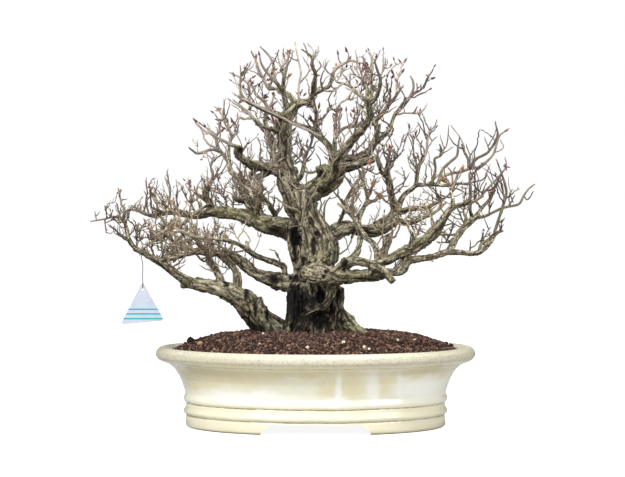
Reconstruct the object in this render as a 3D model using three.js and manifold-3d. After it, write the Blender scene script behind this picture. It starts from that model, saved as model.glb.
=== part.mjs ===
// Pomegranate bonsai in winter, bare of leaves, in an oval glazed pot, with a blank plant tag on a thread.
// Millimetres, +Z up. The pot's centre is on the Z axis, its feet stand on Z = 0, and the front looks along +Y.

import * as THREE from "three";
import { mergeVertices } from "three/addons/utils/BufferGeometryUtils.js";
import Module from "manifold-3d";

const wasm = await Module();
wasm.setup();

// Driving dimensions
const GAP = 0.3;
const POT_LONG = 480;
const POT_DEEP = 380;
const FOOT_HIGH = 15.8;
const FLOOR_TOP = 28;
const SOIL_EDGE = 113;
const SOIL_RISE = 27.5;
const DRAIN_APART = 70;
const DRAIN_RADIUS = 13;
const SCREEN_SIDE = 36;
const SCREEN_THICK = 1.2;
const WIRE_RADIUS = 0.8;
const THREAD_RADIUS = 0.6;
const TAG_THICK = 1;
const POT_SEGMENTS = 32;
const THREAD_SIDES = 8;
const THREAD_STEPS = 31;
const WIRE_SIDES = 6;
const WIRE_STEPS = 16;

// The feet, and the gap between them at the ground and under the pot
const FOOT_INSIDE = 179;
const GAP_LOW = 80;
const GAP_HIGH = 67;

// The soil's mound: half length, the share of it that is flat, how steeply it falls off from there, the size
// of a cell of relief and its height
const SOIL_LONG = 212;
const MOUND_FLAT = 0.4;
const MOUND_FALL = 2.4;
const GRAIN_CELL = 17;
const GRAIN_RELIEF = 3;
const SOCKET_GAP = 0.8;

// Drainage screens and wires
const SCREEN_HOLES = 3;
const WIRE_SPAN = 20;

// The tag: where its thread hangs, its top corner's height, its corners from there, and its eye
const TAG_ACROSS = -257;
const TAG_TOP = 216;
const TAG_CORNERS = [[0, 0], [-31, -60], [30, -54]];
const TAG_CORNER_RUN = 9;
const TAG_HOLE_DOWN = 9;
const TAG_HOLE_RADIUS = 2.4;
const TAG_HOLE_SIDES = 16;
const LOOP_POINTS = 9;
const LOOP_CLEAR = 1.3;

// The branches are laid out as they look from the front, from this far off and this high, on the plane Y = 0.
// A point that stands behind or in front of that plane is pushed along the line of sight, so the look stays.
const VIEW_DISTANCE = 3300;
const VIEW_HEIGHT = 350;
const CANOPY_REACH = { x: 328, y: 184, top: 565, low: 205 };

// Where the tag hangs, which the sprays keep clear of
const TAG_ROOM = { left: -280, right: -238, top: 262 };

// The canopy's edge as the front sees it: across and height. No spray's tip stands outside it.
const CANOPY_EDGE = [
  [-340, 308], [-318, 332], [-296, 358], [-276, 342], [-256, 374], [-222, 388], [-188, 374], [-160, 400],
  [-192, 416], [-184, 456], [-136, 496], [-122, 542], [-98, 564], [-60, 572], [-31, 581], [2, 572],
  [24, 552], [47, 552], [89, 567], [134, 550], [148, 512], [180, 541], [168, 484], [184, 456], [204, 455],
  [222, 436], [248, 446], [276, 455], [287, 400], [300, 372], [330, 371], [308, 327], [283, 294],
  [262, 260], [235, 250], [170, 240], [128, 214], [60, 212], [-60, 205], [-110, 190], [-170, 200],
  [-207, 203], [-240, 236], [-262, 252], [-292, 282], [-340, 300],
];

// Stems that rise from the soil or run up the trunk: name, depth at the foot, depth gained to the tip, and a
// list of across, height, radius at each point.
const STEMS = [
  ["core", 2, 0, [0, 110, 44, 0, 145, 42, 1, 168, 36, 0, 190, 33, 1, 208, 33, 3, 224, 27, 3, 245, 22,
    -2, 265, 19, -8, 285, 18, -15, 305, 18, -20, 325, 18, -22, 345, 16]],
  ["left_column", -6, 0, [-44, 112, 13, -38, 145, 11, -34, 168, 10, -34, 188, 10, -33, 205, 9, -27, 224, 7,
    -28, 240, 6, -32, 256, 7, -34, 272, 8, -35, 288, 9, -33, 304, 11]],
  ["mid_column", -15, 0, [-12, 226, 9, -14, 245, 8, -13, 262, 8, -12, 280, 9, -12, 298, 9, -16, 316, 10,
    -20, 334, 11, -24, 352, 11]],
  ["right_block", -11, 4, [14, 226, 15, 15, 246, 16, 16, 262, 15, 15, 278, 14, 9, 294, 12, 0, 308, 11,
    -8, 322, 11, -12, 338, 11]],
  ["back_stem", 17, 0, [-2, 212, 24, -6, 245, 20, -8, 270, 18, -14, 295, 17, -18, 320, 17, -22, 345, 16]],
  ["burl", -24, -4, [0, 240, 9, 8, 247, 14, 15, 253, 10]],
  ["front_strap", -30, -2, [-26, 132, 9, -19, 153, 8, -13, 166, 7, 0, 173, 7, 12, 179, 7, 20, 190, 7,
    22, 204, 8, 16, 217, 9]],
  ["hollow_rim", -31, 2, [-12, 214, 7, -12, 200, 7, -8, 190, 7, -2, 181, 6, 4, 175, 6]],
  ["right_strap", -21, 2, [40, 130, 9, 32, 152, 8, 32, 168, 8, 34, 185, 8, 35, 200, 9, 38, 209, 8]],
  ["left_foot", -22, 8, [-44, 116, 10, -38, 140, 9, -36, 156, 8, -35, 172, 7]],
  ["right_root", -6, -26, [26, 188, 8, 33, 177, 9.5, 39, 166, 10, 48, 155, 10.5, 59, 146, 10, 72, 136, 8,
    85, 122, 5]],
  ["back_strand_left", 31, -8, [-42, 110, 20, -35, 132, 17, -27, 155, 14, -21, 187, 12, -17, 222, 11]],
  ["back_strand_mid", 37, -7, [2, 110, 20, 6, 132, 16, 9, 156, 13, 4, 190, 12, 2, 230, 11]],
  ["back_strand_right", 28, -5, [46, 110, 17, 39, 132, 15, 32, 156, 12, 27, 190, 11, 18, 230, 11]],
  ["back_root_left", 24, 52, [-20, 172, 9, -34, 154, 10, -48, 142, 8, -60, 126, 5]],
  ["back_root_right", 24, 48, [20, 172, 9, 34, 154, 10, 48, 141, 8, 58, 126, 5]],
  ["low_left", 0, -14, [-44, 110, 20, -53, 130, 20, -66, 146, 20, -83, 161, 19, -97, 176, 18, -110, 189, 16,
    -125, 199, 13.5, -145, 206, 12, -165, 210, 11, -185, 213, 8.5, -203, 211, 4]],
  ["low_left_ridge", -15, -2, [-56, 130, 10, -67, 146, 10, -82, 159, 10, -94, 175, 9, -101, 190, 8, -111, 199,
    7]],
  ["low_left_back", 17, 2, [-58, 118, 14, -70, 143, 13, -88, 162, 11, -104, 179, 10, -122, 195, 8]],
  ["low_right", -33, -60, [-19, 231, 8, -11, 230, 12, 0, 228, 13.5, 20, 226, 14.5, 40, 225, 12, 60, 225, 9.5,
    80, 226, 8.5, 95, 227, 8, 110, 230, 7, 124, 231, 6.5, 133, 234, 6, 137, 244, 5.6, 139, 256, 5.2,
    142, 270, 5, 145, 283, 4.4, 143, 293, 3, 137, 299, 2.2]],
];

// Limbs: name, what it grows from, depth gained to the tip, and a list of across, height, radius.
const LIMBS = [
  // low left
  ["low_left_knob", "low_left", -10, [-80, 172, 9, -83, 184, 6.5, -84, 194, 5]],
  ["low_tip", "low_left", -20, [-182, 214, 8.5, -195, 220, 8, -210, 228, 7, -222, 238, 6.5, -235, 247, 6,
    -250, 255, 5.5, -262, 262, 5, -273, 270, 4.5, -280, 281, 4, -283, 294, 3.8, -286, 304, 3.4,
    -291, 312, 3, -302, 314, 2.2, -315, 311, 1.8, -327, 309, 1.6, -338, 307, 1.1]],
  ["low_riser_in", "low_left", 30, [-118, 210, 7.5, -119, 230, 6.5, -128, 243, 6, -138, 254, 6, -150, 259,
    5]],
  ["low_riser_out", "low_left", -24, [-141, 214, 7, -148, 233, 6, -157, 246, 6, -161, 257, 5, -168, 268, 4,
    -178, 281, 3, -190, 296, 2.2]],
  ["low_cross", "low_riser_out", -6, [-160, 259, 5, -180, 261, 5, -198, 257, 5, -215, 252, 5, -232, 250,
    4.5]],
  // second limb on the left, and the pale one that starts on it and comes forward
  ["second", "core", 50, [-24, 212, 14, -42, 214, 13, -58, 217, 12, -70, 221, 11, -80, 224, 9, -90, 228, 8,
    -102, 236, 8, -110, 245, 8, -122, 254, 7, -135, 257, 5.5, -150, 259, 5, -165, 262, 4.5, -185, 264, 4,
    -205, 272, 3.5, -222, 284, 3, -238, 293, 2.2]],
  ["third", "second", -90, [-48, 214, 7, -46, 228, 5.5, -48, 239, 5.5, -60, 245, 5, -75, 250, 5, -88, 255, 5,
    -97, 261, 5, -107, 268, 4.5, -118, 274, 4, -135, 279, 3.5, -155, 281, 3.2, -180, 284, 3, -195, 290, 2.6,
    -212, 298, 2]],
  ["third_stub", "third", -6, [-96, 259, 3.6, -101, 269, 3.2, -102, 277, 2]],
  // upper left
  ["upper_left", "core", 112, [-26, 290, 17, -42, 296, 16, -55, 300, 15, -70, 303, 14, -90, 309, 12,
    -110, 315, 10, -128, 318.5, 8.5, -145, 320, 8, -158, 320, 7, -175, 316, 6.5, -190, 317, 6, -205, 321, 5.5,
    -220, 322, 5, -235, 318, 4.5, -246, 316, 4, -262, 322, 3, -276, 331, 2]],
  ["upper_left_diagonal", "upper_left", -50, [-156, 333, 3.4, -168, 328, 3.2, -180, 320, 3, -192, 309, 3,
    -205, 299, 2.8, -218, 295, 2.4, -232, 289, 1.8]],
  ["upper_left_riser", "upper_left", 14, [-157, 320, 6, -160, 332, 5, -164, 343, 5, -162, 352, 4.5,
    -158, 361, 3.5, -155, 371, 3, -154, 381, 2.5, -157, 391, 2, -153, 404, 1.4]],
  ["upper_left_knob", "upper_left_riser", -6, [-163, 350, 4.5, -170, 353, 4]],
  ["riser", "upper_left", 50, [-86, 313, 9, -93, 325, 8.5, -101, 338, 8, -106, 350, 7, -108, 362, 6,
    -114, 372, 5.5, -124, 379, 5, -129, 387, 4.5, -131, 397, 4, -136, 405, 4, -142, 412, 3.5, -147, 422, 3.2,
    -149, 432, 3, -152, 439, 2.2, -160, 445, 1.8, -168, 450, 1.2]],
  ["riser_stub", "riser", -12, [-102, 338, 5, -113, 338, 4.6, -124, 343, 4]],
  ["riser_fork", "riser", -60, [-104, 364, 4.2, -98, 376, 3.6, -92, 384, 3.4, -82, 388, 3, -72, 394, 2.2]],
  ["riser_twin", "upper_left", -34, [-82, 315, 6, -85, 325, 5.5, -86, 337, 5, -88, 350, 4.5, -94, 358, 4,
    -104, 363, 3.5]],
  ["riser_loop", "upper_left", -48, [-60, 312, 4.5, -64, 324, 4, -73, 338, 3.8, -82, 347, 3.4, -92, 352,
    2.6]],
  ["riser_back", "riser", 60, [-129, 390, 4, -130, 408, 3.6, -129, 421, 3.2, -126, 434, 3, -129, 447, 2.4,
    -132, 461, 1.5]],
  ["riser_left", "riser", -60, [-141, 411, 3.2, -156, 415, 2.8, -168, 411, 2.6, -178, 409, 2.4, -184, 413, 2,
    -190, 418, 1.3]],
  // upper stem, and the limbs it bears on the left
  ["upper_stem", "core", 6, [-24, 328, 18, -32, 345, 17, -40, 361, 16, -42, 380, 14, -46, 400, 11.5,
    -45, 420, 10.5, -46, 440, 11, -46, 455, 10.5, -42, 466, 9.5, -35, 475, 9.5, -28, 483, 8]],
  ["mid_left", "upper_stem", -74, [-42, 374, 10, -56, 383, 8.5, -75, 388, 8, -92, 392, 7.5, -105, 398, 7,
    -114, 406, 7, -116, 417, 6]],
  ["mid_left_tip", "mid_left", -30, [-112, 418, 3.6, -124, 421, 3.2, -134, 426, 3, -146, 432, 2.4,
    -158, 440, 1.5]],
  ["mid_left_stub", "mid_left", -8, [-70, 382, 5.5, -80, 376, 5, -91, 373, 4.5]],
  ["grey_stem", "mid_left", 84, [-60, 388, 6, -64, 408, 5.5, -66, 428, 5, -72, 445, 4.5, -75, 459, 4,
    -72, 471, 3.5, -66, 484, 2.6, -62, 497, 1.6]],
  ["shoulder_low", "upper_stem", -40, [-46, 440, 6, -64, 445, 4.6, -84, 451, 3.8, -93, 462, 3.2, -103, 472,
    2.6, -113, 481, 2.2, -124, 490, 1.3]],
  ["shoulder", "upper_stem", -84, [-44, 462, 7, -64, 470, 5, -80, 476, 4, -93, 482, 3.6, -105, 490, 3.2,
    -112, 499, 2.8, -113, 514, 2.2, -112, 528, 1.8, -113, 541, 1.1]],
  ["shoulder_up", "shoulder", 80, [-68, 472, 3.6, -78, 488, 3, -88, 496, 2.6, -93, 506, 2.2, -97, 516, 1.4]],
  // apex
  ["apex_arch", "upper_stem", 44, [-28, 482, 8, -12, 488, 4.6, 0, 499, 4.1, 12, 505, 3.9, 21, 511, 3.7,
    25, 524, 3.4, 30, 535, 3, 42, 543, 2.8, 52, 548, 2.4, 64, 545, 2, 78, 545, 1.3]],
  ["apex_mid", "apex_arch", -58, [-4, 496, 4.2, -3, 514, 3.9, 0, 527, 3.6, -5, 540, 3.5, -5, 551, 2.8, -12,
    559, 2, -18, 563, 1.3]],
  ["apex_back", "upper_stem", 92, [-28, 483, 6, -42, 498, 4.6, -58, 506, 4, -70, 507, 3.2, -78, 520, 2.6,
    -86, 540, 2, -95, 559, 1.2]],
  ["apex_left", "upper_stem", -36, [-38, 470, 6, -45, 486, 4.8, -48, 502, 4, -48, 516, 3.4, -45, 530, 3,
    -42, 545, 2.4, -40, 561, 1.4]],
  ["apex_fan", "apex_left", -62, [-48, 500, 3.6, -58, 514, 3.2, -66, 523, 3, -75, 533, 2.6, -82, 546, 2,
    -84, 557, 1.2]],
  ["apex_side", "apex_fan", 70, [-60, 516, 3.2, -62, 530, 2.8, -64, 545, 2.4, -72, 558, 1.8, -83, 569, 1.1]],
  ["apex_tall", "apex_arch", 60, [-24, 486, 3, -25, 508, 2.1, -22, 528, 1.8, -25, 546, 1.6, -28, 561, 1.5,
    -31, 577, 1.1]],
  // crown limb and its forks
  ["crown", "core", 20, [-18, 328, 17, -10, 345, 15.5, 3, 356, 14.5, 20, 366, 15, 31, 379, 13.5, 30, 392,
    10.5, 28, 404, 9]],
  ["crown_knob", "crown", -14, [16, 374, 11, 12, 385, 10, 9, 392, 6]],
  ["dark_shoot", "upper_stem", 60, [-24, 372, 5, -18, 388, 4, -15, 404, 3.4, -8, 420, 2.6, -2, 438, 1.6]],
  ["fork_left", "crown", 76, [28, 402, 7.5, 24, 414, 6.2, 18, 423, 5.7, 10, 431, 5.4, 2, 438, 5, -8, 446, 4.3,
    -22, 451, 4, -35, 455, 3.5, -48, 462, 3, -60, 470, 2.4, -72, 480, 1.6]],
  ["fork_left_up", "fork_left", 30, [3, 438, 4.4, 0, 452, 3.9, 2, 466, 3.6, -3, 480, 3.6, -6, 493, 3.8]],
  ["fork_right", "crown", -56, [30, 400, 8.5, 42, 413, 7, 50, 424, 6.5, 60, 435, 6.5, 70, 445, 6.5, 77, 455,
    6.5, 82, 467, 5.5, 80, 480, 5.5, 77, 492, 4.6]],
  ["fork_mid", "crown", 104, [28, 408, 5, 29, 430, 3.5, 30, 445, 3, 30, 460, 2.5, 33, 474, 2.2, 37, 484, 2,
    45, 489, 2, 53, 499, 1.8, 60, 511, 1.2]],
  ["fork_mid_side", "fork_mid", 26, [30, 432, 3.2, 40, 445, 3, 52, 450, 2.8, 65, 453, 2.4, 77, 459, 1.6]],
  ["gnarl_low", "crown", -72, [32, 382, 9, 44, 387, 8, 58, 391, 7.5, 73, 396, 6.5, 87, 401, 5.5]],
  ["gnarl_high", "crown", 34, [31, 397, 7, 46, 401, 6, 60, 403, 6, 74, 407, 8, 84, 417, 6, 90, 431, 5,
    92, 446, 4.5, 88, 459, 4, 84, 468, 3.5]],
  ["outer_crown", "gnarl_high", 64, [88, 424, 4.6, 96, 431, 4.2, 105, 438, 4, 112, 447, 3.6, 115, 457, 3.4,
    119, 467, 3.6, 126, 475, 3.4, 135, 485, 3.2, 143, 496, 3, 147, 508, 2.6, 146, 518, 2, 142, 525, 1.3]],
  ["tower_left", "fork_right", 50, [77, 490, 4, 78, 502, 3.6, 75, 512, 3.2, 67, 523, 2.4, 60, 536, 1.5]],
  ["tower_front", "fork_right", -62, [80, 482, 4.2, 89, 490, 3.6, 95, 504, 3.4, 97, 521, 3, 92, 535, 2.4,
    88, 550, 1.4]],
  ["tower_back", "fork_right", 96, [77, 486, 4, 65, 497, 3.2, 55, 507, 3, 45, 513, 2.6, 31, 517, 2, 27, 530,
    1.3]],
  ["tower_mid", "fork_right", 8, [80, 488, 4, 84, 503, 3.2, 84, 520, 3, 85, 540, 2.6, 84, 552, 2, 80, 563,
    1.2]],
  ["tower_right", "gnarl_high", 6, [88, 458, 4.2, 98, 466, 3.6, 108, 479, 3.2, 117, 490, 3, 124, 500, 2.6,
    132, 511, 1.5]],
  // main limb on the right
  ["main_right", "core", 82, [8, 278, 15, 22, 286, 13, 34, 293, 11.5, 46, 298, 10.5, 58, 297, 10, 75, 294, 10,
    92, 296, 12, 105, 302, 12.5, 115, 311, 11.5, 121, 320, 9]],
  ["main_right_out", "main_right", 44, [118, 313, 7, 132, 307, 5.5, 146, 306, 4.5, 160, 312, 4, 174, 318, 3.4,
    186, 326, 2.6, 197, 336, 1.6]],
  ["main_riser", "main_right", -30, [120, 320, 7.5, 117, 336, 6, 113, 350, 5.8, 111, 362, 5.4, 109, 375, 4.8,
    108, 388, 4, 110, 402, 3, 112, 415, 1.8]],
  ["main_riser_side", "main_riser", -46, [108, 371, 4, 99, 381, 3.6, 95, 393, 3.2, 93, 406, 2.6, 96, 420,
    1.5]],
  ["main_right_riser", "main_right", 66, [121, 320, 6, 127, 336, 4.8, 133, 347, 4.2, 142, 354, 4, 150, 361, 4,
    152, 375, 4, 154, 388, 4, 160, 399, 3.4, 166, 411, 2.8, 168, 428, 2.6, 172, 447, 1.8]],
  ["main_right_mid", "main_right", -60, [121, 319, 6, 138, 325, 4.8, 151, 327, 4.8, 166, 328, 4, 180, 334, 3,
    192, 342, 1.8]],
  ["thin_pair", "main_right", -18, [10, 290, 2.8, 12, 306, 2.2, 13, 320, 2, 15, 334, 1.8, 22, 344, 1.1]],
  ["cross_thin", "main_right", -50, [33, 296, 4.4, 37, 310, 3.6, 42, 322, 3.4, 44, 334, 3.2, 49, 345, 3,
    57, 360, 2.6, 66, 373, 2.4, 71, 385, 1.5]],
  // what the low right limb bears
  ["front_stub", "low_right", -44, [34, 234, 9, 48, 245, 8, 62, 247, 7, 78, 244, 6.5, 92, 240, 6.5, 102, 233,
    6.5, 110, 224, 6.5, 118, 216, 5.5]],
  ["cut_knot", "front_stub", -12, [42, 243, 6.5, 43, 250, 6]],
  ["reddish_stem", "front_stub", 24, [53, 247, 6.5, 61, 258, 5.5, 65, 270, 5, 67, 282, 4.6, 67, 293, 4]],
  ["snake", "low_right", 34, [94, 232, 6, 93, 247, 5.4, 92, 262, 5.2, 86, 274, 5.2, 76, 283, 5.2, 68, 293, 5,
    62, 303, 4.6, 57, 312, 4.2, 50, 320, 4, 43, 328, 3.6, 33, 334, 2.6]],
  ["snake_riser", "snake", 40, [66, 298, 5.2, 64, 311, 5, 69, 322, 4.6, 76, 335, 4.2, 78, 346, 3.8, 74, 358,
    3.6, 71, 371, 3.2, 72, 388, 2.2]],
  ["snake_fork", "snake_riser", -42, [74, 331, 3.2, 86, 338, 2.8, 98, 343, 2.4, 109, 346, 1.5]],
  ["snake_up", "snake", -30, [57, 313, 3.2, 56, 328, 2.8, 56, 342, 2.6, 58, 362, 1.5]],
  ["third_right", "low_right", -44, [84, 229, 8, 95, 245, 7.5, 108, 249, 7.5, 120, 254, 7, 133, 261, 7.5,
    146, 267, 9, 158, 275, 10, 168, 283, 9, 178, 293, 8, 188, 304, 6.5, 196, 316, 6, 203, 326, 5.5,
    215, 331, 4.6, 228, 334, 4.2, 240, 339, 3.2, 252, 346, 2]],
  ["dark_riser", "third_right", 40, [100, 248, 7, 103, 262, 6.5, 107, 274, 6, 109, 287, 4.5]],
  ["outer_right", "low_right", 74, [124, 233, 7, 137, 246, 6.5, 150, 250, 6, 168, 253, 5.5, 183, 257, 5.5,
    196, 261, 5.5, 212, 261, 4.8, 230, 259, 4.4, 243, 260, 4.4, 253, 266, 4.8, 261, 275, 4.5, 268, 286, 3.6,
    271, 298, 3, 275, 311, 2.8, 279, 323, 2.8, 283, 336, 2.6, 286, 350, 2.4, 284, 363, 2.2, 279, 379, 2,
    272, 398, 1.3]],
  ["outer_curl", "outer_right", 16, [246, 261, 3.4, 248, 272, 3, 256, 278, 2.6, 267, 286, 1.8]],
  ["outer_stub", "outer_right", -10, [267, 285, 3.2, 275, 291, 2.6, 281, 293, 1.8]],
  ["outer_fork", "outer_right", 90, [198, 261, 6, 206, 274, 5.6, 212, 284, 5.4, 220, 294, 5.4, 229, 304, 6,
    238, 312, 5.2, 244, 320, 3.6, 252, 330, 3.2, 262, 342, 2.8, 270, 354, 1.6]],
  ["outer_fork_up", "outer_fork", -40, [236, 311, 3.8, 232, 324, 3.2, 234, 336, 3, 244, 341, 2.8, 256, 354,
    2.4, 270, 369, 2, 286, 388, 1.2]],
  ["outer_fork_out", "outer_fork", 52, [239, 312, 3.6, 254, 315, 3, 267, 321, 2.8, 280, 327, 2.6, 293, 330,
    2.4, 306, 334, 2.4, 312, 345, 2, 320, 356, 1.7, 329, 363, 1.1]],
  // the cluster of fine limbs at the upper right
  ["right_inner", "third_right", 76, [199, 321, 4.4, 206, 338, 3.6, 203, 352, 3.2, 208, 363, 3, 214, 380,
    1.8]],
  ["right_level", "main_right_riser", -60, [151, 362, 4.2, 166, 362, 3.6, 180, 362, 3.4, 196, 361, 3.2,
    215, 364, 2.8, 229, 362, 1.8]],
  ["right_bough", "right_level", 76, [182, 362, 3.6, 190, 373, 3.2, 200, 378, 3, 220, 382, 3, 231, 386, 3,
    246, 389, 2.8, 258, 398, 2.6, 267, 408, 2.4, 271, 421, 2.2, 276, 436, 2, 284, 442, 1.2]],
  ["right_bough_in", "right_bough", 40, [230, 385, 3.2, 229, 400, 2.8, 224, 410, 2.4, 219, 423, 1.5]],
  ["right_bough_out", "right_bough", -70, [231, 386, 3.2, 240, 400, 3, 258, 410, 2.6, 266, 421, 2.4,
    273, 436, 2.2, 270, 453, 1.3]],
  ["right_tall", "right_level", 50, [184, 362, 3.4, 190, 384, 2.8, 203, 397, 2.6, 212, 406, 2.4, 214, 419, 2,
    216, 433, 1.3]],
  ["right_curl", "right_level", -40, [174, 362, 3.4, 180, 385, 2.6, 179, 401, 2.4, 188, 406, 2.2, 189, 414, 2,
    186, 423, 1.2]],
  ["right_front", "third_right", -56, [214, 331, 3.8, 230, 340, 3, 232, 355, 2.8, 230, 380, 1.8]],
  // limbs that grow to the back and the front, in line with others as the front sees them
  ["back_low", "core", 150, [4, 238, 11, 14, 246, 9.5, 26, 252, 9, 29, 264, 8, 28, 280, 7, 32, 294, 6,
    46, 299, 5, 62, 297, 4, 76, 294, 2.6]],
  ["back_high", "core", 160, [-14, 300, 12, -20, 318, 10, -27, 336, 9, -38, 352, 8, -42, 372, 6.5, -45, 392,
    5.5, -46, 412, 4.5, -46, 432, 3.5, -44, 450, 2.2]],
  ["back_left", "core", 146, [-16, 226, 11, -36, 217, 9.5, -56, 217, 8.5, -74, 222, 8, -88, 228, 7, -101, 236,
    6, -110, 246, 5, -122, 255, 4, -136, 258, 2.6]],
  ["front_high", "crown", -112, [2, 356, 10, 14, 363, 8.5, 25, 372, 7, 30, 384, 6, 31, 396, 5, 38, 408, 4,
    47, 420, 2.6]],
];

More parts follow.
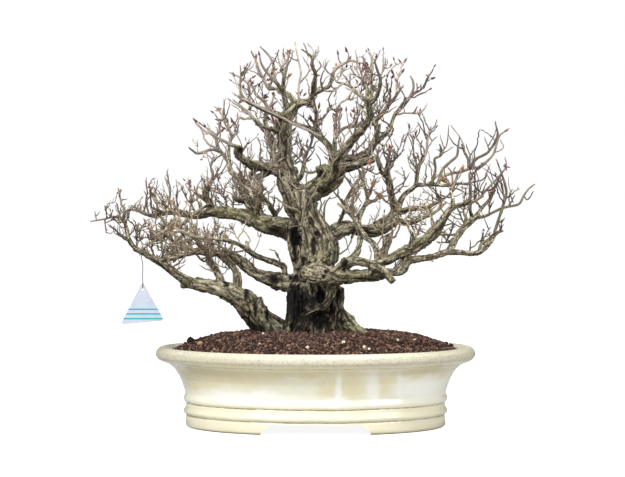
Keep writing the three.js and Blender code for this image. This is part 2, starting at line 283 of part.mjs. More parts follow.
// Shoots that stand out singly: what each grows from, depth gained to the tip, radius at the root, and a list
// of across, height. Each ends in a bud.
const SHOOTS = [
  ["low_tip", 8, 1.4, [-328, 309, -330, 316, -331, 323]],
  ["low_tip", -14, 1.5, [-313, 311, -314, 322, -316, 331]],
  ["low_tip", -8, 1.3, [-316, 311, -315, 299, -314, 289]],
  ["low_tip", 12, 1.4, [-304, 314, -298, 306, -291, 298]],
  ["low_tip", 30, 2.4, [-287, 308, -287, 326, -292, 338, -293, 348, -291, 356]],
  ["low_tip", -22, 2.1, [-289, 312, -284, 322, -276, 325, -265, 322]],
  ["low_tip", 24, 1.9, [-268, 266, -268, 278, -269, 292, -264, 306]],
  ["low_tip", -28, 1.9, [-240, 250, -246, 266, -244, 282, -250, 296]],
  ["low_cross", 20, 2.1, [-205, 255, -212, 268, -210, 284, -218, 300, -216, 314]],
  ["low_cross", -26, 1.9, [-186, 260, -190, 274, -200, 288, -202, 304]],
  ["upper_left", 16, 1.9, [-250, 318, -253, 335, -252, 350, -254, 373]],
  ["upper_left", -30, 1.9, [-244, 317, -247, 340, -248, 354, -250, 364]],
  ["upper_left", 34, 1.8, [-238, 318, -239, 338, -244, 351]],
  ["upper_left", -12, 1.6, [-222, 322, -228, 340, -236, 354]],
  ["upper_left", 22, 1.9, [-216, 322, -218, 345, -218, 358, -221, 371, -221, 386]],
  ["upper_left", -34, 1.7, [-206, 322, -208, 340, -208, 357]],
  ["upper_left", 26, 1.8, [-190, 318, -186, 335, -188, 353, -188, 370]],
  ["upper_left", -22, 1.5, [-172, 317, -176, 338, -180, 353]],
  ["upper_left_riser", -18, 1.5, [-156, 368, -148, 378, -146, 390]],
  ["upper_left", -36, 1.8, [-138, 320, -134, 336, -138, 350, -133, 364]],
  ["upper_left", 30, 1.8, [-120, 317, -124, 332, -121, 346, -126, 358]],
  ["riser", 24, 2.3, [-146, 417, -158, 421, -166, 430, -170, 443, -181, 456]],
  ["riser_left", 16, 1.7, [-177, 409, -177, 419, -181, 425, -185, 431]],
  ["riser_left", -14, 1.4, [-168, 411, -168, 406, -171, 400]],
  ["riser", -26, 1.9, [-149, 431, -145, 441, -143, 450, -147, 462, -153, 470]],
  ["riser", 34, 1.7, [-138, 408, -148, 402, -154, 396, -157, 387]],
  ["riser_back", -16, 1.7, [-126, 434, -118, 441, -115, 453]],
  ["riser_back", 22, 1.6, [-131, 455, -139, 466, -149, 478]],
  ["riser_back", -30, 1.6, [-129, 444, -137, 458, -138, 474, -134, 492]],
  ["mid_left", 20, 1.8, [-94, 393, -98, 408, -96, 424]],
  ["mid_left", -34, 1.8, [-78, 389, -84, 404, -82, 420, -88, 434]],
  ["shoulder", 18, 1.5, [-112, 502, -118, 512, -122, 525]],
  ["shoulder", -20, 1.4, [-113, 514, -107, 524, -108, 532]],
  ["shoulder", 24, 1.4, [-100, 486, -110, 492, -122, 497]],
  ["shoulder", -26, 1.6, [-90, 481, -98, 496, -101, 511]],
  ["shoulder_low", 26, 1.6, [-88, 455, -82, 468, -86, 484]],
  ["shoulder_low", -24, 1.5, [-97, 466, -106, 460, -116, 462]],
  ["grey_stem", 22, 1.7, [-72, 445, -84, 456, -90, 470]],
  ["grey_stem", -20, 1.6, [-67, 430, -58, 444, -60, 458]],
  ["apex_mid", 14, 1.7, [-5, 551, -3, 562, -12, 574]],
  ["apex_mid", -16, 1.4, [-12, 559, -15, 567, -18, 575]],
  ["apex_mid", 20, 1.4, [-4, 548, 3, 559, 4, 570]],
  ["apex_left", 18, 1.5, [-43, 542, -48, 555, -48, 567]],
  ["apex_left", -22, 1.4, [-43, 538, -36, 552, -34, 564]],
  ["apex_left", 26, 1.5, [-46, 526, -54, 544, -58, 561]],
  ["apex_side", -20, 1.4, [-64, 542, -58, 555, -55, 565]],
  ["apex_arch", 16, 1.4, [40, 542, 35, 549, 34, 557]],
  ["apex_arch", -20, 1.5, [25, 526, 16, 534, 14, 543]],
  ["apex_arch", 24, 1.4, [58, 547, 66, 554, 72, 552]],
  ["apex_arch", -30, 1.7, [11, 504, 8, 518, 12, 531]],
  ["apex_arch", 22, 1.6, [21, 511, 31, 503, 28, 493]],
  ["apex_arch", -14, 1.4, [47, 546, 50, 556, 47, 562]],
  ["fork_mid", -24, 1.6, [32, 470, 22, 480, 20, 492, 27, 503]],
  ["fork_left_up", -26, 1.8, [0, 455, 14, 466, 22, 478]],
  ["tower_left", 18, 1.4, [62, 532, 62, 548, 60, 564]],
  ["tower_left", -22, 1.4, [68, 521, 58, 528, 51, 541]],
  ["tower_mid", 24, 1.4, [84, 540, 92, 552, 97, 564]],
  ["tower_front", 20, 1.6, [97, 521, 101, 542, 101, 564]],
  ["tower_front", -24, 1.6, [97, 519, 110, 530, 117, 539, 124, 545]],
  ["tower_front", 30, 1.4, [96, 526, 105, 538, 108, 549]],
  ["tower_front", -34, 1.5, [93, 500, 84, 512, 84, 528, 78, 542]],
  ["tower_right", 14, 2.1, [121, 497, 122, 516, 126, 531, 133, 546]],
  ["tower_right", -26, 1.6, [112, 484, 101, 492, 108, 504, 106, 518]],
  ["tower_left", 34, 1.5, [77, 506, 70, 520, 70, 538, 73, 551]],
  ["outer_crown", 30, 1.9, [119, 467, 134, 470, 157, 470, 168, 485]],
  ["outer_crown", -24, 1.9, [144, 498, 155, 503, 163, 508, 169, 520, 178, 539]],
  ["outer_crown", 20, 1.7, [146, 499, 152, 504, 152, 515]],
  ["outer_crown", -30, 1.5, [127, 476, 134, 490, 129, 504]],
  ["main_right_riser", 18, 1.5, [171, 442, 180, 452, 182, 460]],
  ["main_right_riser", -20, 1.5, [171, 444, 165, 456, 161, 467]],
  ["main_right_riser", 26, 1.7, [168, 428, 163, 440, 153, 456]],
  ["main_right_riser", -34, 1.7, [154, 388, 148, 404, 147, 422, 143, 438]],
  ["main_right_riser", 30, 1.6, [152, 377, 142, 391, 138, 408]],
  ["main_right_riser", -16, 1.6, [161, 401, 158, 415, 160, 430]],
  ["main_riser", 26, 1.7, [109, 388, 118, 400, 126, 418, 133, 438]],
  ["main_riser", -22, 1.6, [109, 394, 103, 407, 101, 422]],
  ["main_riser", -40, 1.5, [114, 346, 128, 356, 134, 370, 130, 386]],
  ["right_bough_in", 16, 1.5, [226, 406, 220, 428, 203, 452]],
  ["right_bough_out", -22, 1.5, [236, 395, 241, 420, 246, 444]],
  ["right_bough", 20, 1.5, [268, 410, 282, 418, 276, 430]],
  ["right_level", 34, 1.7, [216, 364, 238, 366, 252, 370, 262, 393]],
  ["right_curl", 16, 1.4, [180, 390, 172, 398, 170, 412]],
  ["outer_right", 20, 1.5, [284, 340, 292, 345, 295, 338]],
  ["outer_right", -26, 1.5, [282, 334, 274, 350, 271, 368]],
  ["outer_right", 28, 1.5, [279, 379, 286, 390, 284, 404]],
  ["outer_fork_out", -20, 1.4, [312, 345, 318, 340, 327, 352]],
  ["outer_fork_out", 14, 1.5, [293, 330, 290, 343, 296, 356]],
  ["outer_fork", -30, 1.7, [229, 304, 222, 320, 226, 334]],
  ["third_right", 26, 1.7, [178, 293, 186, 288, 196, 290]],
  ["third_right", -28, 1.8, [166, 281, 176, 300, 174, 318]],
  ["third_right", 34, 1.8, [150, 269, 152, 288, 160, 304]],
  ["front_stub", -20, 1.5, [78, 244, 84, 258, 80, 272]],
  ["mid_column", -22, 1.7, [15, 268, 8, 281, -2, 286, -12, 297, -24, 301, -37, 299]],
  ["mid_column", -26, 1.4, [-21, 303, -20, 314, -17, 327, -14, 342]],
  ["main_riser", -66, 1.4, [112, 333, 100, 343, 85, 356]],
];

// Sprays that fill the canopy: one about every so many millimetres of limb, with one or two side twigs each.
const SPRAY_STEP = 57;
const SPRAY_LONGEST = 62;
const SPRAY_SHORTEST = 24;
const SPRAY_RADIUS = 1.7;
const SPRAY_TWIGS = 1;
const THINNEST_PARENT = 1.4;
const THICKEST_PARENT = 9;

// How the tubes are faceted: sides by the thickest radius, the basic step between rings, and how far a face may
// move where small faces are joined.
const SIDES_BY_RADIUS = [[25, 12], [12, 7], [7, 5], [4.5, 4], [0, 3]];
const RING_STEP = 18;
const SIMPLIFIED = 0.5;

// Outer outline of the pot from the middle of its foot up: half length and height.
const POT_OUTSIDE = [
  [0, 0], [191, 0], [195, 3], [194.5, 17], [193, 18.6], [197, 20.5], [198.5, 25], [194.5, 31], [194.5, 35.5],
  [193.5, 37], [197, 38.8], [198.5, 44], [195.5, 51], [198, 60], [203, 74], [211, 87], [221, 95.5],
  [235, 100.5], [240, 107], [239, 114], [234, 119], [226, 120], [214, 117], [0, 117],
];

// Inner outline of the pot from the middle of its floor up.
const POT_INSIDE = [
  [0, FLOOR_TOP], [172, FLOOR_TOP], [181, 32], [185, 42], [187, 58], [194, 76], [204, 92], [211, 104],
  [213.4, 112], [213.8, 160], [0, 160],
];

// Small tools

// Seeded draws between 0 and 1, so that every run grows the same tree.
function seededDraws(seed) {
  let state = seed;
  return () => {
    state = (state * 1664525 + 1013904223) % 4294967296;
    return state / 4294967296;
  };
}

// A closed geometry as a solid that can be joined and cut.
function solidOf(geometry) {
  const bare = geometry.clone();
  bare.deleteAttribute("normal");
  bare.deleteAttribute("uv");
  const merged = mergeVertices(bare, 1e-4);
  const corners = [];
  for (let i = 0; i < merged.index.count; i += 3) {
    const [a, b, c] = [0, 1, 2].map((k) => merged.index.getX(i + k));
    if (a !== b && b !== c && c !== a) corners.push(a, b, c);
  }
  return new wasm.Manifold(
    new wasm.Mesh({
      numProp: 3,
      vertProperties: new Float32Array(merged.attributes.position.array),
      triVerts: new Uint32Array(corners),
    }),
  );
}

// The largest body of a solid, with loose scraps dropped and sealed cavities filled.
function largestBody(solid) {
  return solid.decompose().sort((a, b) => b.volume() - a.volume())[0];
}

// A named mesh from a solid.
function meshOf(name, solid, material) {
  const { vertProperties, triVerts } = solid.getMesh();
  const geometry = new THREE.BufferGeometry();
  geometry.setAttribute("position", new THREE.BufferAttribute(new Float32Array(vertProperties), 3));
  geometry.setIndex(new THREE.BufferAttribute(new Uint32Array(triVerts), 1));
  geometry.computeVertexNormals();
  const mesh = new THREE.Mesh(geometry, material);
  mesh.name = name;
  return mesh;
}

// A point laid out from the front, across and high on the plane Y = 0, pushed back along the sight line.
function placed(across, high, depth) {
  const scale = (VIEW_DISTANCE + depth) / VIEW_DISTANCE;
  return new THREE.Vector3(across * scale, depth, VIEW_HEIGHT + (high - VIEW_HEIGHT) * scale);
}

// One grown member: a smooth path with a radius at each of its points. Where it is laid out from the front,
// it also keeps the seen place and the depth of each point.
class Member {
  constructor(points, radii, places = [], depths = []) {
    this.curve = new THREE.CatmullRomCurve3(points, false, "centripetal");
    this.radii = radii;
    this.places = places;
    this.depths = depths;
  }

  static laidOut(places, depths, radii) {
    const points = places.map(([across, high], i) => placed(across, high, depths[i]));
    return new Member(points, radii, places, depths);
  }

  // Length of the straight runs between the points.
  get length() {
    const points = this.curve.points;
    return points.slice(1).reduce((sum, point, i) => sum + point.distanceTo(points[i]), 0);
  }

  radiusAt(t) {
    const place = t * (this.radii.length - 1);
    const before = Math.min(Math.floor(place), this.radii.length - 2);
    return THREE.MathUtils.lerp(this.radii[before], this.radii[before + 1], place - before);
  }

  // The seen place and depth on this member that is nearest to a place as the front sees it.
  nearest([across, high]) {
    let best = { gap: Infinity };
    for (let i = 1; i < this.places.length; i++) {
      const [ax, az] = this.places[i - 1];
      const [bx, bz] = this.places[i];
      const along = ((across - ax) * (bx - ax) + (high - az) * (bz - az)) / ((bx - ax) ** 2 + (bz - az) ** 2);
      const share = THREE.MathUtils.clamp(along, 0, 1);
      const place = [ax + (bx - ax) * share, az + (bz - az) * share];
      const gap = Math.hypot(across - place[0], high - place[1]);
      const depth = THREE.MathUtils.lerp(this.depths[i - 1], this.depths[i], share);
      if (gap < best.gap) best = { gap, place, depth };
    }
    return best;
  }
}

// Depths along a member: from the start by the lean to the tip, with a slow sway that the side sees as bends.
function swayingDepths(places, start, lean, phase) {
  const reach = [0];
  for (let i = 1; i < places.length; i++) {
    reach.push(reach[i - 1] + Math.hypot(places[i][0] - places[i - 1][0], places[i][1] - places[i - 1][1]));
  }
  const whole = reach[reach.length - 1];
  const sway = 0.045 * whole;
  return reach.map((run) => {
    const share = run / whole;
    return start + lean * share + sway * (Math.sin(6 * share + phase) - Math.sin(phase)) * (1 - share);
  });
}

// Splits a flat list into groups of a given size.
function grouped(list, size) {
  return Array.from({ length: list.length / size }, (_, i) => list.slice(i * size, i * size + size));
}

// A member that grows from a parent: its first point is set on the parent's middle line.
function grownFrom(parent, rows, lean, phase) {
  const places = rows.map(([across, high]) => [across, high]);
  const radii = rows.map((row) => row[2]);
  const root = parent.nearest(places[0]);
  if (root.gap > 2) {
    places.unshift(root.place);
    radii.unshift(radii[0]);
  }
  return Member.laidOut(places, swayingDepths(places, root.depth, lean, phase), radii);
}

// Tubes

// Stations along a member where the rings of its tube stand. A ring that would cut the one before is left out.
function stations(member, rings) {
  const { curve } = member;
  const kept = [];
  let normal = new THREE.Vector3(0.35, 1, 0.2);
  for (let ring = 0; ring <= rings; ring++) {
    const t = ring / rings;
    const tangent = curve.getTangent(t);
    normal = normal.clone().addScaledVector(tangent, -normal.dot(tangent)).normalize();
    const next = {
      t,
      tangent,
      normal,
      centre: curve.getPoint(t),
      side: normal.clone().cross(tangent),
      radius: member.radiusAt(t),
    };
    while (kept.length > 0 && crossing(kept[kept.length - 1], next)) {
      if (ring < rings || kept.length === 1) break;
      kept.pop();
    }
    const last = kept[kept.length - 1];
    if (!last || !crossing(last, next) || ring === rings) kept.push(next);
  }
  return kept;
}

// Whether two rings come so close, or tilt so much, that they would cut each other.
function crossing(a, b) {
  const step = b.centre.clone().sub(a.centre);
  const tilt = Math.sqrt(Math.max(0, 1 - a.tangent.dot(b.tangent) ** 2));
  const room = Math.min(step.dot(a.tangent), step.dot(b.tangent));
  return a.tangent.dot(b.tangent) < 0.2 || room < 1.15 * Math.max(a.radius, b.radius) * tilt + 0.4;
}

// A closed tapered tube along a member. It ends in a point, or in a flat cut, and can be grown all round.
function tube(member, { sides, rings, pointed = false, grow = 0, lump = 0, phase = 0 }) {
  const path = stations(member, rings);
  const shape = new THREE.CylinderGeometry(pointed ? 0 : 1, 1, 1, sides, path.length - 1);
  const { position } = shape.attributes;
  for (let i = 0; i < position.count; i++) {
    const share = position.getY(i) + 0.5;
    const station = path[Math.round(share * (path.length - 1))];
    const end = share < 1e-6 ? -1 : share > 1 - 1e-6 ? 1 : 0;
    const spot = station.centre.clone().addScaledVector(station.tangent, end * grow);
    const [x, z] = [position.getX(i), position.getZ(i)];
    if (Math.hypot(x, z) > 1e-6) {
      const angle = Math.atan2(z, x);
      const ropes = Math.sin(3 * angle + 11 * station.t + phase);
      const wave = ropes + 0.6 * Math.sin(2 * angle - 17 * station.t + phase);
      const radius = station.radius * (1 + lump * wave) + grow;
      spot.addScaledVector(station.normal, radius * Math.cos(angle));
      spot.addScaledVector(station.side, radius * Math.sin(angle));
    }
    position.setXYZ(i, spot.x, spot.y, spot.z);
  }
  return solidOf(shape);
}

// Tree

const draw = seededDraws(2719);
const members = new Map();

STEMS.forEach(([name, depth, lean, list], i) => {
  const rows = grouped(list, 3);
  const places = rows.map(([across, high]) => [across, high]);
  const depths = swayingDepths(places, depth, lean, 2.4 * i);
  members.set(name, Member.laidOut(places, depths, rows.map((row) => row[2])));
});
LIMBS.forEach(([name, parent, lean, list], i) => {
  members.set(name, grownFrom(members.get(parent), grouped(list, 3), lean, 1.9 * i));
});

// Radii of a shoot, which thins a little to its tip.
function shootRadii(root, count) {
  return Array.from({ length: count }, (_, i) => root * (1 - (0.35 * i) / (count - 1)));
}

const shoots = SHOOTS.map(([parent, lean, root, list], i) => {
  const places = grouped(list, 2);
  const radii = shootRadii(root, places.length);
  return grownFrom(members.get(parent), places.map((place, k) => [...place, radii[k]]), lean, 0.7 * i);
});

// Random sprays on the thinner limbs. Each leaves its limb sideways and upwards, mostly to the front or back.
function sprayOn(member, t) {
  const tangent = member.curve.getTangent(t);
  const across = new THREE.Vector3(tangent.y, -tangent.x, 0.001).normalize();
  const lift = across.clone().cross(tangent).normalize();
  const angle = 2 * Math.PI * draw();
  const reach = THREE.MathUtils.lerp(SPRAY_SHORTEST, SPRAY_LONGEST, draw()) * (1 - 0.4 * t);
  const out = across.multiplyScalar(Math.cos(angle)).addScaledVector(lift, 0.8 * Math.sin(angle));
  out.y *= 1.5;
  out.z += 0.6;
  out.addScaledVector(tangent, 0.45).normalize();
  const start = member.curve.getPoint(t);
  return shootFrom(start, out, reach, Math.min(SPRAY_RADIUS, 0.8 * member.radiusAt(t) + 0.3));
}

// Whether a point lies within the canopy's edge as the front sees it.
function insideCanopy(point) {
  const scale = VIEW_DISTANCE / (VIEW_DISTANCE + point.y);
  const [across, high] = [point.x * scale, VIEW_HEIGHT + (point.z - VIEW_HEIGHT) * scale];
  const crossed = CANOPY_EDGE.filter(([ax, az], i) => {
    const [bx, bz] = CANOPY_EDGE[(i + 1) % CANOPY_EDGE.length];
    return az > high !== bz > high && across < ax + ((bx - ax) * (high - az)) / (bz - az);
  });
  return crossed.length % 2 === 1;
}

// A shoot from a start in a direction: it bends upwards with a small kink. It is left out where it leaves the
// canopy.
function shootFrom(start, direction, reach, root) {
  const kink = new THREE.Vector3(draw() - 0.5, draw() - 0.5, draw() - 0.5).multiplyScalar(0.3 * reach);
  const points = [0, 0.45, 1].map((share) => {
    const point = start.clone().addScaledVector(direction, reach * share);
    point.z += 0.22 * reach * share * share;
    return point.addScaledVector(kink, Math.sin(Math.PI * share));
  });
  const tip = points[points.length - 1];
  const inside =
    insideCanopy(tip) && Math.abs(tip.x) < CANOPY_REACH.x && Math.abs(tip.y) < CANOPY_REACH.y &&
    tip.z < CANOPY_REACH.top;
  const clearOfTag = !(tip.x < TAG_ROOM.right && tip.x > TAG_ROOM.left && tip.z < TAG_ROOM.top);
  if (!inside || !clearOfTag || start.z < CANOPY_REACH.low) return null;
  return new Member(points, shootRadii(root, points.length));
}

const sprays = [];
for (const member of members.values()) {
  const count = Math.floor(member.length / SPRAY_STEP);
  for (let i = 0; i < count; i++) {
    const t = (i + 0.35 + 0.6 * draw()) / count;
    const radius = member.radiusAt(Math.min(t, 1));
    if (t >= 1 || radius < THINNEST_PARENT || radius > THICKEST_PARENT) continue;
    const spray = sprayOn(member, t);
    if (!spray) continue;
    sprays.push(spray);
    for (let k = 0; k < SPRAY_TWIGS; k++) {
      const twig = sprayOn(spray, 0.4 + 0.35 * draw());
      if (twig) sprays.push(twig);
    }
  }
}

// Sides and rings by thickness, so that a thick limb is round and a twig is cheap.
function tubeOptions(member, phase) {
  const thickest = Math.max(...member.radii);
  const [, sides] = SIDES_BY_RADIUS.find(([radius]) => thickest > radius);
  const rings = Math.max(3, Math.round(member.length / (RING_STEP + 1.5 * thickest)));
  return { sides, rings, lump: thickest > 6 ? 0.09 : 0.04, phase };
}

const memberList = [...members.values()];
const limbTubes = memberList.map((member, i) => tube(member, tubeOptions(member, 1.3 * i)));
const shootTubes = shoots.map((shoot) => tube(shoot, { sides: 3, rings: 2, pointed: true }));
const sprayTubes = sprays.map((spray) => tube(spray, { sides: 3, rings: 2, pointed: true }));
const tree = largestBody(
  wasm.Manifold.union([...limbTubes, ...shootTubes, ...sprayTubes]).asOriginal().simplify(SIMPLIFIED),
);

// The stems that pass through the soil, a little thicker: what the soil's hole is cut with.
const rootSpace = wasm.Manifold.union(
  STEMS.map(([name], i) => [members.get(name), 1.3 * i])
    .filter(([member]) => Math.min(...member.places.map(([, high]) => high)) < SOIL_EDGE + SOIL_RISE + 10)
    .map(([member, phase]) => tube(member, { ...tubeOptions(member, phase), grow: SOCKET_GAP })),
);

// Pot

// Half width of the pot at a given half length: a fixed step less all round, tapering off towards the middle.
function halfDeep(halfLong) {
  const step = (POT_LONG - POT_DEEP) / 2;
  return halfLong - step * Math.min(1, halfLong / 100);
}

// An oval solid turned from an outline of half length and height.
function oval(outline, segments = POT_SEGMENTS) {
  const points = outline.map(([halfLong, high]) => new THREE.Vector2(halfLong, high));
  const shape = new THREE.LatheGeometry(points, segments);
  const { position } = shape.attributes;
  for (let i = 0; i < position.count; i++) {
    const [x, y, z] = [position.getX(i), position.getY(i), position.getZ(i)];
    const halfLong = Math.hypot(x, z);
    const squeeze = halfLong > 1e-6 ? halfDeep(halfLong) / halfLong : 0;
    position.setXYZ(i, x, -z * squeeze, y);
  }
  return solidOf(shape);
}

// A block from a flat outline in the XZ plane, reaching equally to the front and the back.
function blockAlongY(outline, deep) {
  const shape = new THREE.ExtrudeGeometry(outline, { depth: deep, bevelEnabled: false, curveSegments: 5 });
  shape.translate(0, 0, -deep / 2).rotateX(Math.PI / 2);
  return solidOf(shape);
}

// The gap between the two feet, with ends that curve in like an ogee.
function footGap() {
  const outline = new THREE.Shape();
  outline.moveTo(-GAP_LOW, -2);
  outline.lineTo(GAP_LOW, -2);
  outline.lineTo(GAP_LOW, 0);
  outline.quadraticCurveTo(GAP_LOW - 1, 8, GAP_HIGH + 4, 10);
  outline.quadraticCurveTo(GAP_HIGH, 11, GAP_HIGH - 1, FOOT_HIGH);
  outline.lineTo(1 - GAP_HIGH, FOOT_HIGH);
  outline.quadraticCurveTo(-GAP_HIGH, 11, -GAP_HIGH - 4, 10);
  outline.quadraticCurveTo(1 - GAP_LOW, 8, -GAP_LOW, 0);
  return blockAlongY(outline, POT_DEEP);
}

function cylinder(radius, low, high, x, sides = 20) {
  const shape = new THREE.CylinderGeometry(radius, radius, high - low, sides);
  shape.rotateX(Math.PI / 2).translate(x, 0, (low + high) / 2);
  return solidOf(shape);
}

function box(sizeX, sizeY, low, high, x) {
  const shape = new THREE.BoxGeometry(sizeX, sizeY, high - low);
  shape.translate(x, 0, (low + high) / 2);
  return solidOf(shape);
}

const underside = oval([[0, -1], [FOOT_INSIDE, -1], [FOOT_INSIDE, FOOT_HIGH], [0, FOOT_HIGH]]);
const drains = [-DRAIN_APART, DRAIN_APART].map((x) => cylinder(DRAIN_RADIUS, FOOT_HIGH - 1, FLOOR_TOP + 1, x));
const pot = wasm.Manifold.difference([oval(POT_OUTSIDE), oval(POT_INSIDE), underside, footGap(), ...drains])
  .asOriginal().simplify(0.02);

// Soil: a mound of grains that fills the pot, with the relief of its grains on top

function moundHeight(x, y) {
  const share = Math.hypot(x / SOIL_LONG, y / halfDeep(SOIL_LONG));
  const fall = Math.max(0, (share - MOUND_FLAT) / (1 - MOUND_FLAT));
  return SOIL_EDGE + SOIL_RISE * (1 - fall ** MOUND_FALL);
}

function soilMound() {
  const [long, deep] = [2 * SOIL_LONG + 24, 2 * halfDeep(SOIL_LONG) + 24];
  const cells = [long, deep].map((side) => Math.round(side / GRAIN_CELL));
  const shape = new THREE.BoxGeometry(long, deep, 100, ...cells);
  shape.deleteAttribute("normal");
  shape.deleteAttribute("uv");
  const merged = mergeVertices(shape, 1e-4);
  const { position } = merged.attributes;
  for (let i = 0; i < position.count; i++) {
    const [x, y, z] = [position.getX(i), position.getY(i), position.getZ(i)];
    if (z < 0) {
      position.setZ(i, 0);
      continue;
    }
    const [shiftX, shiftY, rise] = [draw() - 0.5, draw() - 0.5, draw() - 0.5];
    position.setXYZ(i, x + 0.5 * GRAIN_CELL * shiftX, y + 0.5 * GRAIN_CELL * shiftY,
      moundHeight(x, y) + GRAIN_RELIEF * rise);
  }
  return solidOf(merged);
}

// The room inside the pot that the soil fills, clear of the pot's wall and floor.
const soilRoom = oval(POT_INSIDE.map(([halfLong, high]) => [Math.max(0, halfLong - GAP), high + GAP]));
const screenLow = FLOOR_TOP + GAP;
const screenHigh = screenLow + SCREEN_THICK;
const screenRooms = [-DRAIN_APART, DRAIN_APART].flatMap((x) => [
  box(SCREEN_SIDE + 2 * GAP, SCREEN_SIDE + 2 * GAP, screenLow - 1, screenHigh + GAP, x),
  box(WIRE_SPAN + 4 * WIRE_RADIUS + 1, 4 * WIRE_RADIUS, screenLow, screenHigh + 3 * GAP + 2 * WIRE_RADIUS, x),
]);
const soilInPot = soilMound().intersect(soilRoom);
const soil = largestBody(
  wasm.Manifold.difference([soilInPot, rootSpace, ...screenRooms]).asOriginal().simplify(0.02),
);

// Drainage screens and the wires that hold them

// A square net of bars with square holes, over one drain hole.
function drainageScreen(x) {
  const pitch = SCREEN_SIDE / SCREEN_HOLES;
  const plate = box(SCREEN_SIDE, SCREEN_SIDE, screenLow, screenHigh, x);
  const hole = box(0.72 * pitch, 0.72 * pitch, screenLow - 1, screenHigh + 1, x);
  const steps = Array.from({ length: SCREEN_HOLES }, (_, i) => (i - (SCREEN_HOLES - 1) / 2) * pitch);
  const holes = steps.flatMap((u) => steps.map((v) => hole.translate(u, v, 0)));
  return wasm.Manifold.difference([plate, ...holes]);
}

// A round section for a thread or a wire.
function roundSection(radius, sides) {
  return new THREE.Shape(Array.from({ length: sides }, (_, i) => {
    const angle = (2 * Math.PI * i) / sides;
    return new THREE.Vector2(radius * Math.cos(angle), radius * Math.sin(angle));
  }));
}

// A round rod along a smooth path.
function rod(points, radius, sides, steps) {
  const path = new THREE.CatmullRomCurve3(points, false, "centripetal");
  return solidOf(new THREE.ExtrudeGeometry(roundSection(radius, sides), {
    steps, extrudePath: path, bevelEnabled: false,
  }));
}

// A staple over the screen: its legs pass down through the net and the drain hole and turn out under the pot.
function screenWire(x) {
  const half = WIRE_SPAN / 2;
  const top = screenHigh + GAP + WIRE_RADIUS;
  const low = FOOT_HIGH - GAP - WIRE_RADIUS;
  const leg = [[half - 3, top], [half - 0.7, top - 0.7], [half, top - 3], [half, (top + low) / 2],
    [half, low + 4], [half + 0.4, low + 1.4], [half + 1.6, low + 0.2], [half + 4, low - 0.1], [half + 12, low]];
  const mirrored = leg.map(([u, z]) => [-u, z]).reverse();
  const path = [...mirrored, ...leg].map(([u, z]) => new THREE.Vector3(x + u, 0, z));
  return rod(path, WIRE_RADIUS, WIRE_SIDES, WIRE_STEPS);
}

// Tag and its thread

// The thread is tied round the low left branch where the front sees it, and the tag hangs straight below.
const tagBranch = members.get("low_tip");
const tied = (() => {
  let best = { gap: Infinity };
  for (let i = 0; i <= 400; i++) {
    const point = tagBranch.curve.getPoint(i / 400);
    const gap = Math.abs(point.x - TAG_ACROSS);
    if (gap < best.gap) best = { gap, t: i / 400, point, tangent: tagBranch.curve.getTangent(i / 400) };
  }
  return best;
})();

function threadPath() {
  const { point, tangent, t } = tied;
  const loop = tagBranch.radiusAt(t) + LOOP_CLEAR + THREAD_RADIUS;
  const front = new THREE.Vector3(0, -1, 0).addScaledVector(tangent, tangent.y).normalize();
  const up = tangent.clone().cross(front).normalize();
  if (up.z < 0) up.negate();
  const turn = (angle, slide) => point.clone()
    .addScaledVector(front, loop * Math.cos(angle))
    .addScaledVector(up, loop * Math.sin(angle))
    .addScaledVector(tangent, slide);
  const points = [];
  for (let i = 0; i <= LOOP_POINTS; i++) {
    const share = i / LOOP_POINTS;
    points.push(turn(-Math.PI / 2 + 0.5 + (2 * Math.PI - 0.6) * share, 1.6 - 3.2 * share));
  }
  const hang = new THREE.Vector3(point.x, point.y - 1, 0);
  const hole = TAG_TOP - TAG_HOLE_DOWN;
  const eye = hole + TAG_HOLE_RADIUS - GAP - THREAD_RADIUS;
  for (const z of [point.z - loop - 9, point.z - loop - 24, hole + 9]) points.push(hang.clone().setZ(z));
  points.push(new THREE.Vector3(point.x, point.y - 2.6, hole + 4));
  points.push(new THREE.Vector3(point.x, point.y - 2.2, eye + 0.2));
  points.push(new THREE.Vector3(point.x, point.y, eye - 0.9));
  points.push(new THREE.Vector3(point.x, point.y + 2.2, eye + 0.2));
  points.push(new THREE.Vector3(point.x, point.y + 2.6, hole + 4));
  points.push(new THREE.Vector3(point.x + 0.4, point.y + 2.2, hole + 9));
  return points;
}

// A flat tag of clear plastic: a triangle with rounded corners and a round eye, hanging a little askew.
function tagPlate() {
  const corners = TAG_CORNERS.map(([u, v]) => new THREE.Vector2(u, v));
  const outline = new THREE.Shape();
  corners.forEach((corner, i) => {
    const before = corners[(i + 2) % 3].clone().sub(corner).setLength(TAG_CORNER_RUN).add(corner);
    const after = corners[(i + 1) % 3].clone().sub(corner).setLength(TAG_CORNER_RUN).add(corner);
    if (i === 0) outline.moveTo(before.x, before.y);
    else outline.lineTo(before.x, before.y);
    outline.quadraticCurveTo(corner.x, corner.y, after.x, after.y);
  });
  outline.holes.push(new THREE.Path(Array.from({ length: TAG_HOLE_SIDES }, (_, i) => {
    const angle = (-2 * Math.PI * i) / TAG_HOLE_SIDES;
    const [u, v] = [TAG_HOLE_RADIUS * Math.cos(angle), TAG_HOLE_RADIUS * Math.sin(angle) - TAG_HOLE_DOWN];
    return new THREE.Vector2(u, v);
  })));
  const shape = new THREE.ExtrudeGeometry(outline, { depth: TAG_THICK, bevelEnabled: false, curveSegments: 6 });
  shape.translate(0, 0, -TAG_THICK / 2).rotateX(Math.PI / 2).translate(tied.point.x, tied.point.y, TAG_TOP);
  return solidOf(shape);
}

// Materials and assembly

